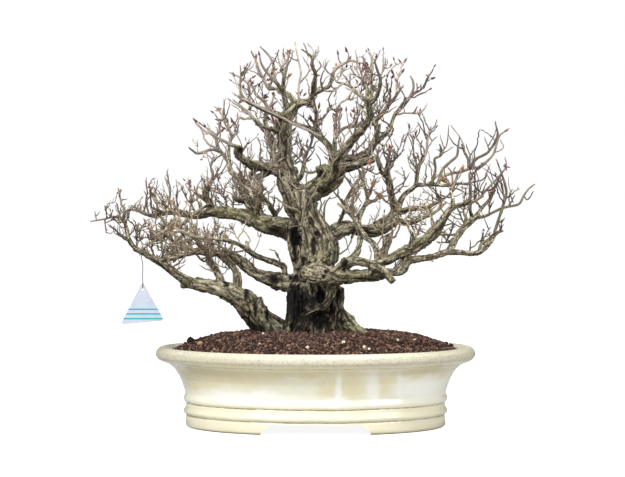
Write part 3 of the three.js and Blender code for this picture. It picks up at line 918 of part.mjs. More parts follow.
function finish(color, roughness, metalness = 0) {
  return new THREE.MeshStandardMaterial({ color, roughness, metalness });
}
const bark = finish(0x8d8472, 0.9);
const glaze = finish(0xe6dfbc, 0.25);
const earth = finish(0x5a3b30, 0.95);
const net = finish(0x2f3230, 0.7);
const aluminium = finish(0x9a9c9e, 0.4, 0.9);
const clear = finish(0xe9ecf6, 0.3);
const cotton = finish(0x9b9c9c, 0.8);

const object = new THREE.Group();
object.add(
  meshOf("pot", pot, glaze),
  meshOf("soil", soil, earth),
  meshOf("tree", tree, bark),
  meshOf("tag_thread", rod(threadPath(), THREAD_RADIUS, THREAD_SIDES, THREAD_STEPS), cotton),
  meshOf("tag", tagPlate(), clear),
);
[-DRAIN_APART, DRAIN_APART].forEach((x, i) => {
  const side = ["left", "right"][i];
  object.add(
    meshOf(`drainage_screen_${side}`, drainageScreen(x), net),
    meshOf(`screen_wire_${side}`, screenWire(x), aluminium),
  );
});

export default object;
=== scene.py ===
"""Looks of a pomegranate bonsai in winter: weathered wood, twigs with buds, clay soil and a glazed pot.

The skeleton of the tree is laid out in millimetres, as the front sees it, and grown into meshes in metres.
"""

from __future__ import annotations

import logging
import math
from collections.abc import Sequence
from dataclasses import dataclass, field
from enum import Enum
from functools import reduce
from itertools import product

import bmesh
import bpy
import numpy as np
from mathutils import Matrix, Vector
from mathutils.bvhtree import BVHTree

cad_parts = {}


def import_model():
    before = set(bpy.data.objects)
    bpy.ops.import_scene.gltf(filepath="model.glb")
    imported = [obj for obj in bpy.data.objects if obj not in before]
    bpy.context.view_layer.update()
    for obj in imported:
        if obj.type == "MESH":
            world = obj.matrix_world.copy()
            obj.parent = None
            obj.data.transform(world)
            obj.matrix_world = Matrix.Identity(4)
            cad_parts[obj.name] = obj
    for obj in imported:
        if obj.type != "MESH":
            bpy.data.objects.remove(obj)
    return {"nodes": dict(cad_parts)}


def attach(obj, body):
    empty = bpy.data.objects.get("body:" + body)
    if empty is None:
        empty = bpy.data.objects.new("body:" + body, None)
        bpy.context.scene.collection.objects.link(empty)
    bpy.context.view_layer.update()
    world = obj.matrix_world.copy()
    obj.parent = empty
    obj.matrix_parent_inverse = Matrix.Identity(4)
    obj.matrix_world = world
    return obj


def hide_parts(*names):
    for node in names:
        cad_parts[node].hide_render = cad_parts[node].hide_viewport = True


log = logging.getLogger("bonsai")

Array = np.ndarray
BMesh = bmesh.types.BMesh
Mesh = bpy.types.Mesh
Piece = bpy.types.Object
Material = bpy.types.Material
Node = bpy.types.Node
Socket = bpy.types.NodeSocket
Pair = tuple[float, float]
Quad = tuple[float, float, float, float]
Patch = tuple[float, float, float, float, float]
Steps = tuple[Pair, ...]
Colour = tuple[float, float, float]
Stops = Sequence[tuple[float, Colour]]

MM = 0.001
UP = np.array([0.0, 0.0, 1.0])

# The skeleton is laid out on the plane Y = 0 as seen from this far off and this high, in millimetres.
VIEW_DISTANCE = 3300.0
VIEW_HEIGHT = 350.0
CANOPY_X = 328.0
CANOPY_Y = 184.0
CANOPY_TOP = 565.0
CANOPY_LOW = 205.0

# Room where the tag hangs, which no twig's tip enters: from and to across, and its top
TAG_ROOM = (-280.0, -238.0, 262.0)

# Sprays of the solid tree, which the looks repeat, in millimetres
SPRAY_STEP = 57.0
SPRAY_LONGEST = 62.0
SPRAY_SHORTEST = 24.0
SPRAY_RADIUS = 1.7
THINNEST_PARENT = 1.4
THICKEST_PARENT = 9.0

# The canopy's edge as the front sees it: across and height. No twig's tip stands outside it.
CANOPY_EDGE: list[Pair] = [
    (-340, 308), (-318, 332), (-296, 358), (-276, 342), (-256, 374), (-222, 388), (-188, 374), (-160, 400),
    (-192, 416), (-184, 456), (-136, 496), (-122, 542), (-98, 564), (-60, 572), (-31, 581), (2, 572),
    (24, 552), (47, 552), (89, 567), (134, 550), (148, 512), (180, 541), (168, 484), (184, 456), (204, 455),
    (222, 436), (248, 446), (276, 455), (287, 400), (300, 372), (330, 371), (308, 327), (283, 294),
    (262, 260), (235, 250), (170, 240), (128, 214), (60, 212), (-60, 205), (-110, 190), (-170, 200),
    (-207, 203), (-240, 236), (-262, 252), (-292, 282), (-340, 300),
]

# Stems that rise from the soil or run up the trunk: name, depth at the foot, depth gained to the tip, and a
# list of across, height, radius at each point.
STEMS: list[tuple] = [
    ("core", 2, 0, [0, 110, 44, 0, 145, 42, 1, 168, 36, 0, 190, 33, 1, 208, 33, 3, 224, 27, 3, 245, 22,
     -2, 265, 19, -8, 285, 18, -15, 305, 18, -20, 325, 18, -22, 345, 16]),
    ("left_column", -6, 0, [-44, 112, 13, -38, 145, 11, -34, 168, 10, -34, 188, 10, -33, 205, 9,
     -27, 224, 7, -28, 240, 6, -32, 256, 7, -34, 272, 8, -35, 288, 9, -33, 304, 11]),
    ("mid_column", -15, 0, [-12, 226, 9, -14, 245, 8, -13, 262, 8, -12, 280, 9, -12, 298, 9, -16, 316, 10,
     -20, 334, 11, -24, 352, 11]),
    ("right_block", -11, 4, [14, 226, 15, 15, 246, 16, 16, 262, 15, 15, 278, 14, 9, 294, 12, 0, 308, 11,
     -8, 322, 11, -12, 338, 11]),
    ("back_stem", 17, 0, [-2, 212, 24, -6, 245, 20, -8, 270, 18, -14, 295, 17, -18, 320, 17, -22, 345, 16]),
    ("burl", -24, -4, [0, 240, 9, 8, 247, 14, 15, 253, 10]),
    ("front_strap", -30, -2, [-26, 132, 9, -19, 153, 8, -13, 166, 7, 0, 173, 7, 12, 179, 7, 20, 190, 7,
     22, 204, 8, 16, 217, 9]),
    ("hollow_rim", -31, 2, [-12, 214, 7, -12, 200, 7, -8, 190, 7, -2, 181, 6, 4, 175, 6]),
    ("right_strap", -21, 2, [40, 130, 9, 32, 152, 8, 32, 168, 8, 34, 185, 8, 35, 200, 9, 38, 209, 8]),
    ("left_foot", -22, 8, [-44, 116, 10, -38, 140, 9, -36, 156, 8, -35, 172, 7]),
    ("right_root", -6, -26, [26, 188, 8, 33, 177, 9.5, 39, 166, 10, 48, 155, 10.5, 59, 146, 10, 72, 136, 8,
     85, 122, 5]),
    ("back_strand_left", 31, -8, [-42, 110, 20, -35, 132, 17, -27, 155, 14, -21, 187, 12, -17, 222, 11]),
    ("back_strand_mid", 37, -7, [2, 110, 20, 6, 132, 16, 9, 156, 13, 4, 190, 12, 2, 230, 11]),
    ("back_strand_right", 28, -5, [46, 110, 17, 39, 132, 15, 32, 156, 12, 27, 190, 11, 18, 230, 11]),
    ("back_root_left", 24, 52, [-20, 172, 9, -34, 154, 10, -48, 142, 8, -60, 126, 5]),
    ("back_root_right", 24, 48, [20, 172, 9, 34, 154, 10, 48, 141, 8, 58, 126, 5]),
    ("low_left", 0, -14, [-44, 110, 20, -53, 130, 20, -66, 146, 20, -83, 161, 19, -97, 176, 18,
     -110, 189, 16, -125, 199, 13.5, -145, 206, 12, -165, 210, 11, -185, 213, 8.5, -203, 211, 4]),
    ("low_left_ridge", -15, -2, [-56, 130, 10, -67, 146, 10, -82, 159, 10, -94, 175, 9, -101, 190, 8,
     -111, 199, 7]),
    ("low_left_back", 17, 2, [-58, 118, 14, -70, 143, 13, -88, 162, 11, -104, 179, 10, -122, 195, 8]),
    ("low_right", -33, -60, [-19, 231, 8, -11, 230, 12, 0, 228, 13.5, 20, 226, 14.5, 40, 225, 12,
     60, 225, 9.5, 80, 226, 8.5, 95, 227, 8, 110, 230, 7, 124, 231, 6.5, 133, 234, 6, 137, 244, 5.6,
     139, 256, 5.2, 142, 270, 5, 145, 283, 4.4, 143, 293, 3, 137, 299, 2.2]),
]

# Limbs: name, what it grows from, depth gained to the tip, and a list of across, height, radius.
LIMBS: list[tuple] = [
    # low left
    ("low_left_knob", "low_left", -10, [-80, 172, 9, -83, 184, 6.5, -84, 194, 5]),
    ("low_tip", "low_left", -20, [-182, 214, 8.5, -195, 220, 8, -210, 228, 7, -222, 238, 6.5, -235, 247, 6,
     -250, 255, 5.5, -262, 262, 5, -273, 270, 4.5, -280, 281, 4, -283, 294, 3.8, -286, 304, 3.4,
     -291, 312, 3, -302, 314, 2.2, -315, 311, 1.8, -327, 309, 1.6, -338, 307, 1.1]),
    ("low_riser_in", "low_left", 30, [-118, 210, 7.5, -119, 230, 6.5, -128, 243, 6, -138, 254, 6,
     -150, 259, 5]),
    ("low_riser_out", "low_left", -24, [-141, 214, 7, -148, 233, 6, -157, 246, 6, -161, 257, 5,
     -168, 268, 4, -178, 281, 3, -190, 296, 2.2]),
    ("low_cross", "low_riser_out", -6, [-160, 259, 5, -180, 261, 5, -198, 257, 5, -215, 252, 5,
     -232, 250, 4.5]),
    # second limb on the left, and the pale one that starts on it and comes forward
    ("second", "core", 50, [-24, 212, 14, -42, 214, 13, -58, 217, 12, -70, 221, 11, -80, 224, 9,
     -90, 228, 8, -102, 236, 8, -110, 245, 8, -122, 254, 7, -135, 257, 5.5, -150, 259, 5, -165, 262, 4.5,
     -185, 264, 4, -205, 272, 3.5, -222, 284, 3, -238, 293, 2.2]),
    ("third", "second", -90, [-48, 214, 7, -46, 228, 5.5, -48, 239, 5.5, -60, 245, 5, -75, 250, 5,
     -88, 255, 5, -97, 261, 5, -107, 268, 4.5, -118, 274, 4, -135, 279, 3.5, -155, 281, 3.2, -180, 284, 3,
     -195, 290, 2.6, -212, 298, 2]),
    ("third_stub", "third", -6, [-96, 259, 3.6, -101, 269, 3.2, -102, 277, 2]),
    # upper left
    ("upper_left", "core", 112, [-26, 290, 17, -42, 296, 16, -55, 300, 15, -70, 303, 14, -90, 309, 12,
     -110, 315, 10, -128, 318.5, 8.5, -145, 320, 8, -158, 320, 7, -175, 316, 6.5, -190, 317, 6,
     -205, 321, 5.5, -220, 322, 5, -235, 318, 4.5, -246, 316, 4, -262, 322, 3, -276, 331, 2]),
    ("upper_left_diagonal", "upper_left", -50, [-156, 333, 3.4, -168, 328, 3.2, -180, 320, 3, -192, 309, 3,
     -205, 299, 2.8, -218, 295, 2.4, -232, 289, 1.8]),
    ("upper_left_riser", "upper_left", 14, [-157, 320, 6, -160, 332, 5, -164, 343, 5, -162, 352, 4.5,
     -158, 361, 3.5, -155, 371, 3, -154, 381, 2.5, -157, 391, 2, -153, 404, 1.4]),
    ("upper_left_knob", "upper_left_riser", -6, [-163, 350, 4.5, -170, 353, 4]),
    ("riser", "upper_left", 50, [-86, 313, 9, -93, 325, 8.5, -101, 338, 8, -106, 350, 7, -108, 362, 6,
     -114, 372, 5.5, -124, 379, 5, -129, 387, 4.5, -131, 397, 4, -136, 405, 4, -142, 412, 3.5,
     -147, 422, 3.2, -149, 432, 3, -152, 439, 2.2, -160, 445, 1.8, -168, 450, 1.2]),
    ("riser_stub", "riser", -12, [-102, 338, 5, -113, 338, 4.6, -124, 343, 4]),
    ("riser_fork", "riser", -60, [-104, 364, 4.2, -98, 376, 3.6, -92, 384, 3.4, -82, 388, 3,
     -72, 394, 2.2]),
    ("riser_twin", "upper_left", -34, [-82, 315, 6, -85, 325, 5.5, -86, 337, 5, -88, 350, 4.5, -94, 358, 4,
     -104, 363, 3.5]),
    ("riser_loop", "upper_left", -48, [-60, 312, 4.5, -64, 324, 4, -73, 338, 3.8, -82, 347, 3.4,
     -92, 352, 2.6]),
    ("riser_back", "riser", 60, [-129, 390, 4, -130, 408, 3.6, -129, 421, 3.2, -126, 434, 3, -129, 447, 2.4,
     -132, 461, 1.5]),
    ("riser_left", "riser", -60, [-141, 411, 3.2, -156, 415, 2.8, -168, 411, 2.6, -178, 409, 2.4,
     -184, 413, 2, -190, 418, 1.3]),
    # upper stem, and the limbs it bears on the left
    ("upper_stem", "core", 6, [-24, 328, 18, -32, 345, 17, -40, 361, 16, -42, 380, 14, -46, 400, 11.5,
     -45, 420, 10.5, -46, 440, 11, -46, 455, 10.5, -42, 466, 9.5, -35, 475, 9.5, -28, 483, 8]),
    ("mid_left", "upper_stem", -74, [-42, 374, 10, -56, 383, 8.5, -75, 388, 8, -92, 392, 7.5, -105, 398, 7,
     -114, 406, 7, -116, 417, 6]),
    ("mid_left_tip", "mid_left", -30, [-112, 418, 3.6, -124, 421, 3.2, -134, 426, 3, -146, 432, 2.4,
     -158, 440, 1.5]),
    ("mid_left_stub", "mid_left", -8, [-70, 382, 5.5, -80, 376, 5, -91, 373, 4.5]),
    ("grey_stem", "mid_left", 84, [-60, 388, 6, -64, 408, 5.5, -66, 428, 5, -72, 445, 4.5, -75, 459, 4,
     -72, 471, 3.5, -66, 484, 2.6, -62, 497, 1.6]),
    ("shoulder_low", "upper_stem", -40, [-46, 440, 6, -64, 445, 4.6, -84, 451, 3.8, -93, 462, 3.2,
     -103, 472, 2.6, -113, 481, 2.2, -124, 490, 1.3]),
    ("shoulder", "upper_stem", -84, [-44, 462, 7, -64, 470, 5, -80, 476, 4, -93, 482, 3.6, -105, 490, 3.2,
     -112, 499, 2.8, -113, 514, 2.2, -112, 528, 1.8, -113, 541, 1.1]),
    ("shoulder_up", "shoulder", 80, [-68, 472, 3.6, -78, 488, 3, -88, 496, 2.6, -93, 506, 2.2,
     -97, 516, 1.4]),
    # apex
    ("apex_arch", "upper_stem", 44, [-28, 482, 8, -12, 488, 4.6, 0, 499, 4.1, 12, 505, 3.9, 21, 511, 3.7,
     25, 524, 3.4, 30, 535, 3, 42, 543, 2.8, 52, 548, 2.4, 64, 545, 2, 78, 545, 1.3]),
    ("apex_mid", "apex_arch", -58, [-4, 496, 4.2, -3, 514, 3.9, 0, 527, 3.6, -5, 540, 3.5, -5, 551, 2.8,
     -12, 559, 2, -18, 563, 1.3]),
    ("apex_back", "upper_stem", 92, [-28, 483, 6, -42, 498, 4.6, -58, 506, 4, -70, 507, 3.2, -78, 520, 2.6,
     -86, 540, 2, -95, 559, 1.2]),
    ("apex_left", "upper_stem", -36, [-38, 470, 6, -45, 486, 4.8, -48, 502, 4, -48, 516, 3.4, -45, 530, 3,
     -42, 545, 2.4, -40, 561, 1.4]),
    ("apex_fan", "apex_left", -62, [-48, 500, 3.6, -58, 514, 3.2, -66, 523, 3, -75, 533, 2.6, -82, 546, 2,
     -84, 557, 1.2]),
    ("apex_side", "apex_fan", 70, [-60, 516, 3.2, -62, 530, 2.8, -64, 545, 2.4, -72, 558, 1.8,
     -83, 569, 1.1]),
    ("apex_tall", "apex_arch", 60, [-24, 486, 3, -25, 508, 2.1, -22, 528, 1.8, -25, 546, 1.6, -28, 561, 1.5,
     -31, 577, 1.1]),
    # crown limb and its forks
    ("crown", "core", 20, [-18, 328, 17, -10, 345, 15.5, 3, 356, 14.5, 20, 366, 15, 31, 379, 13.5,
     30, 392, 10.5, 28, 404, 9]),
    ("crown_knob", "crown", -14, [16, 374, 11, 12, 385, 10, 9, 392, 6]),
    ("dark_shoot", "upper_stem", 60, [-24, 372, 5, -18, 388, 4, -15, 404, 3.4, -8, 420, 2.6, -2, 438, 1.6]),
    ("fork_left", "crown", 76, [28, 402, 7.5, 24, 414, 6.2, 18, 423, 5.7, 10, 431, 5.4, 2, 438, 5,
     -8, 446, 4.3, -22, 451, 4, -35, 455, 3.5, -48, 462, 3, -60, 470, 2.4, -72, 480, 1.6]),
    ("fork_left_up", "fork_left", 30, [3, 438, 4.4, 0, 452, 3.9, 2, 466, 3.6, -3, 480, 3.6, -6, 493, 3.8]),
    ("fork_right", "crown", -56, [30, 400, 8.5, 42, 413, 7, 50, 424, 6.5, 60, 435, 6.5, 70, 445, 6.5,
     77, 455, 6.5, 82, 467, 5.5, 80, 480, 5.5, 77, 492, 4.6]),
    ("fork_mid", "crown", 104, [28, 408, 5, 29, 430, 3.5, 30, 445, 3, 30, 460, 2.5, 33, 474, 2.2,
     37, 484, 2, 45, 489, 2, 53, 499, 1.8, 60, 511, 1.2]),
    ("fork_mid_side", "fork_mid", 26, [30, 432, 3.2, 40, 445, 3, 52, 450, 2.8, 65, 453, 2.4, 77, 459, 1.6]),
    ("gnarl_low", "crown", -72, [32, 382, 9, 44, 387, 8, 58, 391, 7.5, 73, 396, 6.5, 87, 401, 5.5]),
    ("gnarl_high", "crown", 34, [31, 397, 7, 46, 401, 6, 60, 403, 6, 74, 407, 8, 84, 417, 6, 90, 431, 5,
     92, 446, 4.5, 88, 459, 4, 84, 468, 3.5]),
    ("outer_crown", "gnarl_high", 64, [88, 424, 4.6, 96, 431, 4.2, 105, 438, 4, 112, 447, 3.6,
     115, 457, 3.4, 119, 467, 3.6, 126, 475, 3.4, 135, 485, 3.2, 143, 496, 3, 147, 508, 2.6, 146, 518, 2,
     142, 525, 1.3]),
    ("tower_left", "fork_right", 50, [77, 490, 4, 78, 502, 3.6, 75, 512, 3.2, 67, 523, 2.4, 60, 536, 1.5]),
    ("tower_front", "fork_right", -62, [80, 482, 4.2, 89, 490, 3.6, 95, 504, 3.4, 97, 521, 3, 92, 535, 2.4,
     88, 550, 1.4]),
    ("tower_back", "fork_right", 96, [77, 486, 4, 65, 497, 3.2, 55, 507, 3, 45, 513, 2.6, 31, 517, 2,
     27, 530, 1.3]),
    ("tower_mid", "fork_right", 8, [80, 488, 4, 84, 503, 3.2, 84, 520, 3, 85, 540, 2.6, 84, 552, 2,
     80, 563, 1.2]),
    ("tower_right", "gnarl_high", 6, [88, 458, 4.2, 98, 466, 3.6, 108, 479, 3.2, 117, 490, 3, 124, 500, 2.6,
     132, 511, 1.5]),
    # main limb on the right
    ("main_right", "core", 82, [8, 278, 15, 22, 286, 13, 34, 293, 11.5, 46, 298, 10.5, 58, 297, 10,
     75, 294, 10, 92, 296, 12, 105, 302, 12.5, 115, 311, 11.5, 121, 320, 9]),
    ("main_right_out", "main_right", 44, [118, 313, 7, 132, 307, 5.5, 146, 306, 4.5, 160, 312, 4,
     174, 318, 3.4, 186, 326, 2.6, 197, 336, 1.6]),
    ("main_riser", "main_right", -30, [120, 320, 7.5, 117, 336, 6, 113, 350, 5.8, 111, 362, 5.4,
     109, 375, 4.8, 108, 388, 4, 110, 402, 3, 112, 415, 1.8]),
    ("main_riser_side", "main_riser", -46, [108, 371, 4, 99, 381, 3.6, 95, 393, 3.2, 93, 406, 2.6,
     96, 420, 1.5]),
    ("main_right_riser", "main_right", 66, [121, 320, 6, 127, 336, 4.8, 133, 347, 4.2, 142, 354, 4,
     150, 361, 4, 152, 375, 4, 154, 388, 4, 160, 399, 3.4, 166, 411, 2.8, 168, 428, 2.6, 172, 447, 1.8]),
    ("main_right_mid", "main_right", -60, [121, 319, 6, 138, 325, 4.8, 151, 327, 4.8, 166, 328, 4,
     180, 334, 3, 192, 342, 1.8]),
    ("thin_pair", "main_right", -18, [10, 290, 2.8, 12, 306, 2.2, 13, 320, 2, 15, 334, 1.8, 22, 344, 1.1]),
    ("cross_thin", "main_right", -50, [33, 296, 4.4, 37, 310, 3.6, 42, 322, 3.4, 44, 334, 3.2, 49, 345, 3,
     57, 360, 2.6, 66, 373, 2.4, 71, 385, 1.5]),
    # what the low right limb bears
    ("front_stub", "low_right", -44, [34, 234, 9, 48, 245, 8, 62, 247, 7, 78, 244, 6.5, 92, 240, 6.5,
     102, 233, 6.5, 110, 224, 6.5, 118, 216, 5.5]),
    ("cut_knot", "front_stub", -12, [42, 243, 6.5, 43, 250, 6]),
    ("reddish_stem", "front_stub", 24, [53, 247, 6.5, 61, 258, 5.5, 65, 270, 5, 67, 282, 4.6, 67, 293, 4]),
    ("snake", "low_right", 34, [94, 232, 6, 93, 247, 5.4, 92, 262, 5.2, 86, 274, 5.2, 76, 283, 5.2,
     68, 293, 5, 62, 303, 4.6, 57, 312, 4.2, 50, 320, 4, 43, 328, 3.6, 33, 334, 2.6]),
    ("snake_riser", "snake", 40, [66, 298, 5.2, 64, 311, 5, 69, 322, 4.6, 76, 335, 4.2, 78, 346, 3.8,
     74, 358, 3.6, 71, 371, 3.2, 72, 388, 2.2]),
    ("snake_fork", "snake_riser", -42, [74, 331, 3.2, 86, 338, 2.8, 98, 343, 2.4, 109, 346, 1.5]),
    ("snake_up", "snake", -30, [57, 313, 3.2, 56, 328, 2.8, 56, 342, 2.6, 58, 362, 1.5]),
    ("third_right", "low_right", -44, [84, 229, 8, 95, 245, 7.5, 108, 249, 7.5, 120, 254, 7, 133, 261, 7.5,
     146, 267, 9, 158, 275, 10, 168, 283, 9, 178, 293, 8, 188, 304, 6.5, 196, 316, 6, 203, 326, 5.5,
     215, 331, 4.6, 228, 334, 4.2, 240, 339, 3.2, 252, 346, 2]),
    ("dark_riser", "third_right", 40, [100, 248, 7, 103, 262, 6.5, 107, 274, 6, 109, 287, 4.5]),
    ("outer_right", "low_right", 74, [124, 233, 7, 137, 246, 6.5, 150, 250, 6, 168, 253, 5.5, 183, 257, 5.5,
     196, 261, 5.5, 212, 261, 4.8, 230, 259, 4.4, 243, 260, 4.4, 253, 266, 4.8, 261, 275, 4.5,
     268, 286, 3.6, 271, 298, 3, 275, 311, 2.8, 279, 323, 2.8, 283, 336, 2.6, 286, 350, 2.4, 284, 363, 2.2,
     279, 379, 2, 272, 398, 1.3]),
    ("outer_curl", "outer_right", 16, [246, 261, 3.4, 248, 272, 3, 256, 278, 2.6, 267, 286, 1.8]),
    ("outer_stub", "outer_right", -10, [267, 285, 3.2, 275, 291, 2.6, 281, 293, 1.8]),
    ("outer_fork", "outer_right", 90, [198, 261, 6, 206, 274, 5.6, 212, 284, 5.4, 220, 294, 5.4,
     229, 304, 6, 238, 312, 5.2, 244, 320, 3.6, 252, 330, 3.2, 262, 342, 2.8, 270, 354, 1.6]),
    ("outer_fork_up", "outer_fork", -40, [236, 311, 3.8, 232, 324, 3.2, 234, 336, 3, 244, 341, 2.8,
     256, 354, 2.4, 270, 369, 2, 286, 388, 1.2]),
    ("outer_fork_out", "outer_fork", 52, [239, 312, 3.6, 254, 315, 3, 267, 321, 2.8, 280, 327, 2.6,
     293, 330, 2.4, 306, 334, 2.4, 312, 345, 2, 320, 356, 1.7, 329, 363, 1.1]),
    # the cluster of fine limbs at the upper right
    ("right_inner", "third_right", 76, [199, 321, 4.4, 206, 338, 3.6, 203, 352, 3.2, 208, 363, 3,
     214, 380, 1.8]),
    ("right_level", "main_right_riser", -60, [151, 362, 4.2, 166, 362, 3.6, 180, 362, 3.4, 196, 361, 3.2,
     215, 364, 2.8, 229, 362, 1.8]),
    ("right_bough", "right_level", 76, [182, 362, 3.6, 190, 373, 3.2, 200, 378, 3, 220, 382, 3, 231, 386, 3,
     246, 389, 2.8, 258, 398, 2.6, 267, 408, 2.4, 271, 421, 2.2, 276, 436, 2, 284, 442, 1.2]),
    ("right_bough_in", "right_bough", 40, [230, 385, 3.2, 229, 400, 2.8, 224, 410, 2.4, 219, 423, 1.5]),
    ("right_bough_out", "right_bough", -70, [231, 386, 3.2, 240, 400, 3, 258, 410, 2.6, 266, 421, 2.4,
     273, 436, 2.2, 270, 453, 1.3]),
    ("right_tall", "right_level", 50, [184, 362, 3.4, 190, 384, 2.8, 203, 397, 2.6, 212, 406, 2.4,
     214, 419, 2, 216, 433, 1.3]),
    ("right_curl", "right_level", -40, [174, 362, 3.4, 180, 385, 2.6, 179, 401, 2.4, 188, 406, 2.2,
     189, 414, 2, 186, 423, 1.2]),
    ("right_front", "third_right", -56, [214, 331, 3.8, 230, 340, 3, 232, 355, 2.8, 230, 380, 1.8]),
    # limbs that grow to the back and the front, in line with others as the front sees them
    ("back_low", "core", 150, [4, 238, 11, 14, 246, 9.5, 26, 252, 9, 29, 264, 8, 28, 280, 7, 32, 294, 6,
     46, 299, 5, 62, 297, 4, 76, 294, 2.6]),
    ("back_high", "core", 160, [-14, 300, 12, -20, 318, 10, -27, 336, 9, -38, 352, 8, -42, 372, 6.5,
     -45, 392, 5.5, -46, 412, 4.5, -46, 432, 3.5, -44, 450, 2.2]),
    ("back_left", "core", 146, [-16, 226, 11, -36, 217, 9.5, -56, 217, 8.5, -74, 222, 8, -88, 228, 7,
     -101, 236, 6, -110, 246, 5, -122, 255, 4, -136, 258, 2.6]),
    ("front_high", "crown", -112, [2, 356, 10, 14, 363, 8.5, 25, 372, 7, 30, 384, 6, 31, 396, 5, 38, 408, 4,
     47, 420, 2.6]),
]

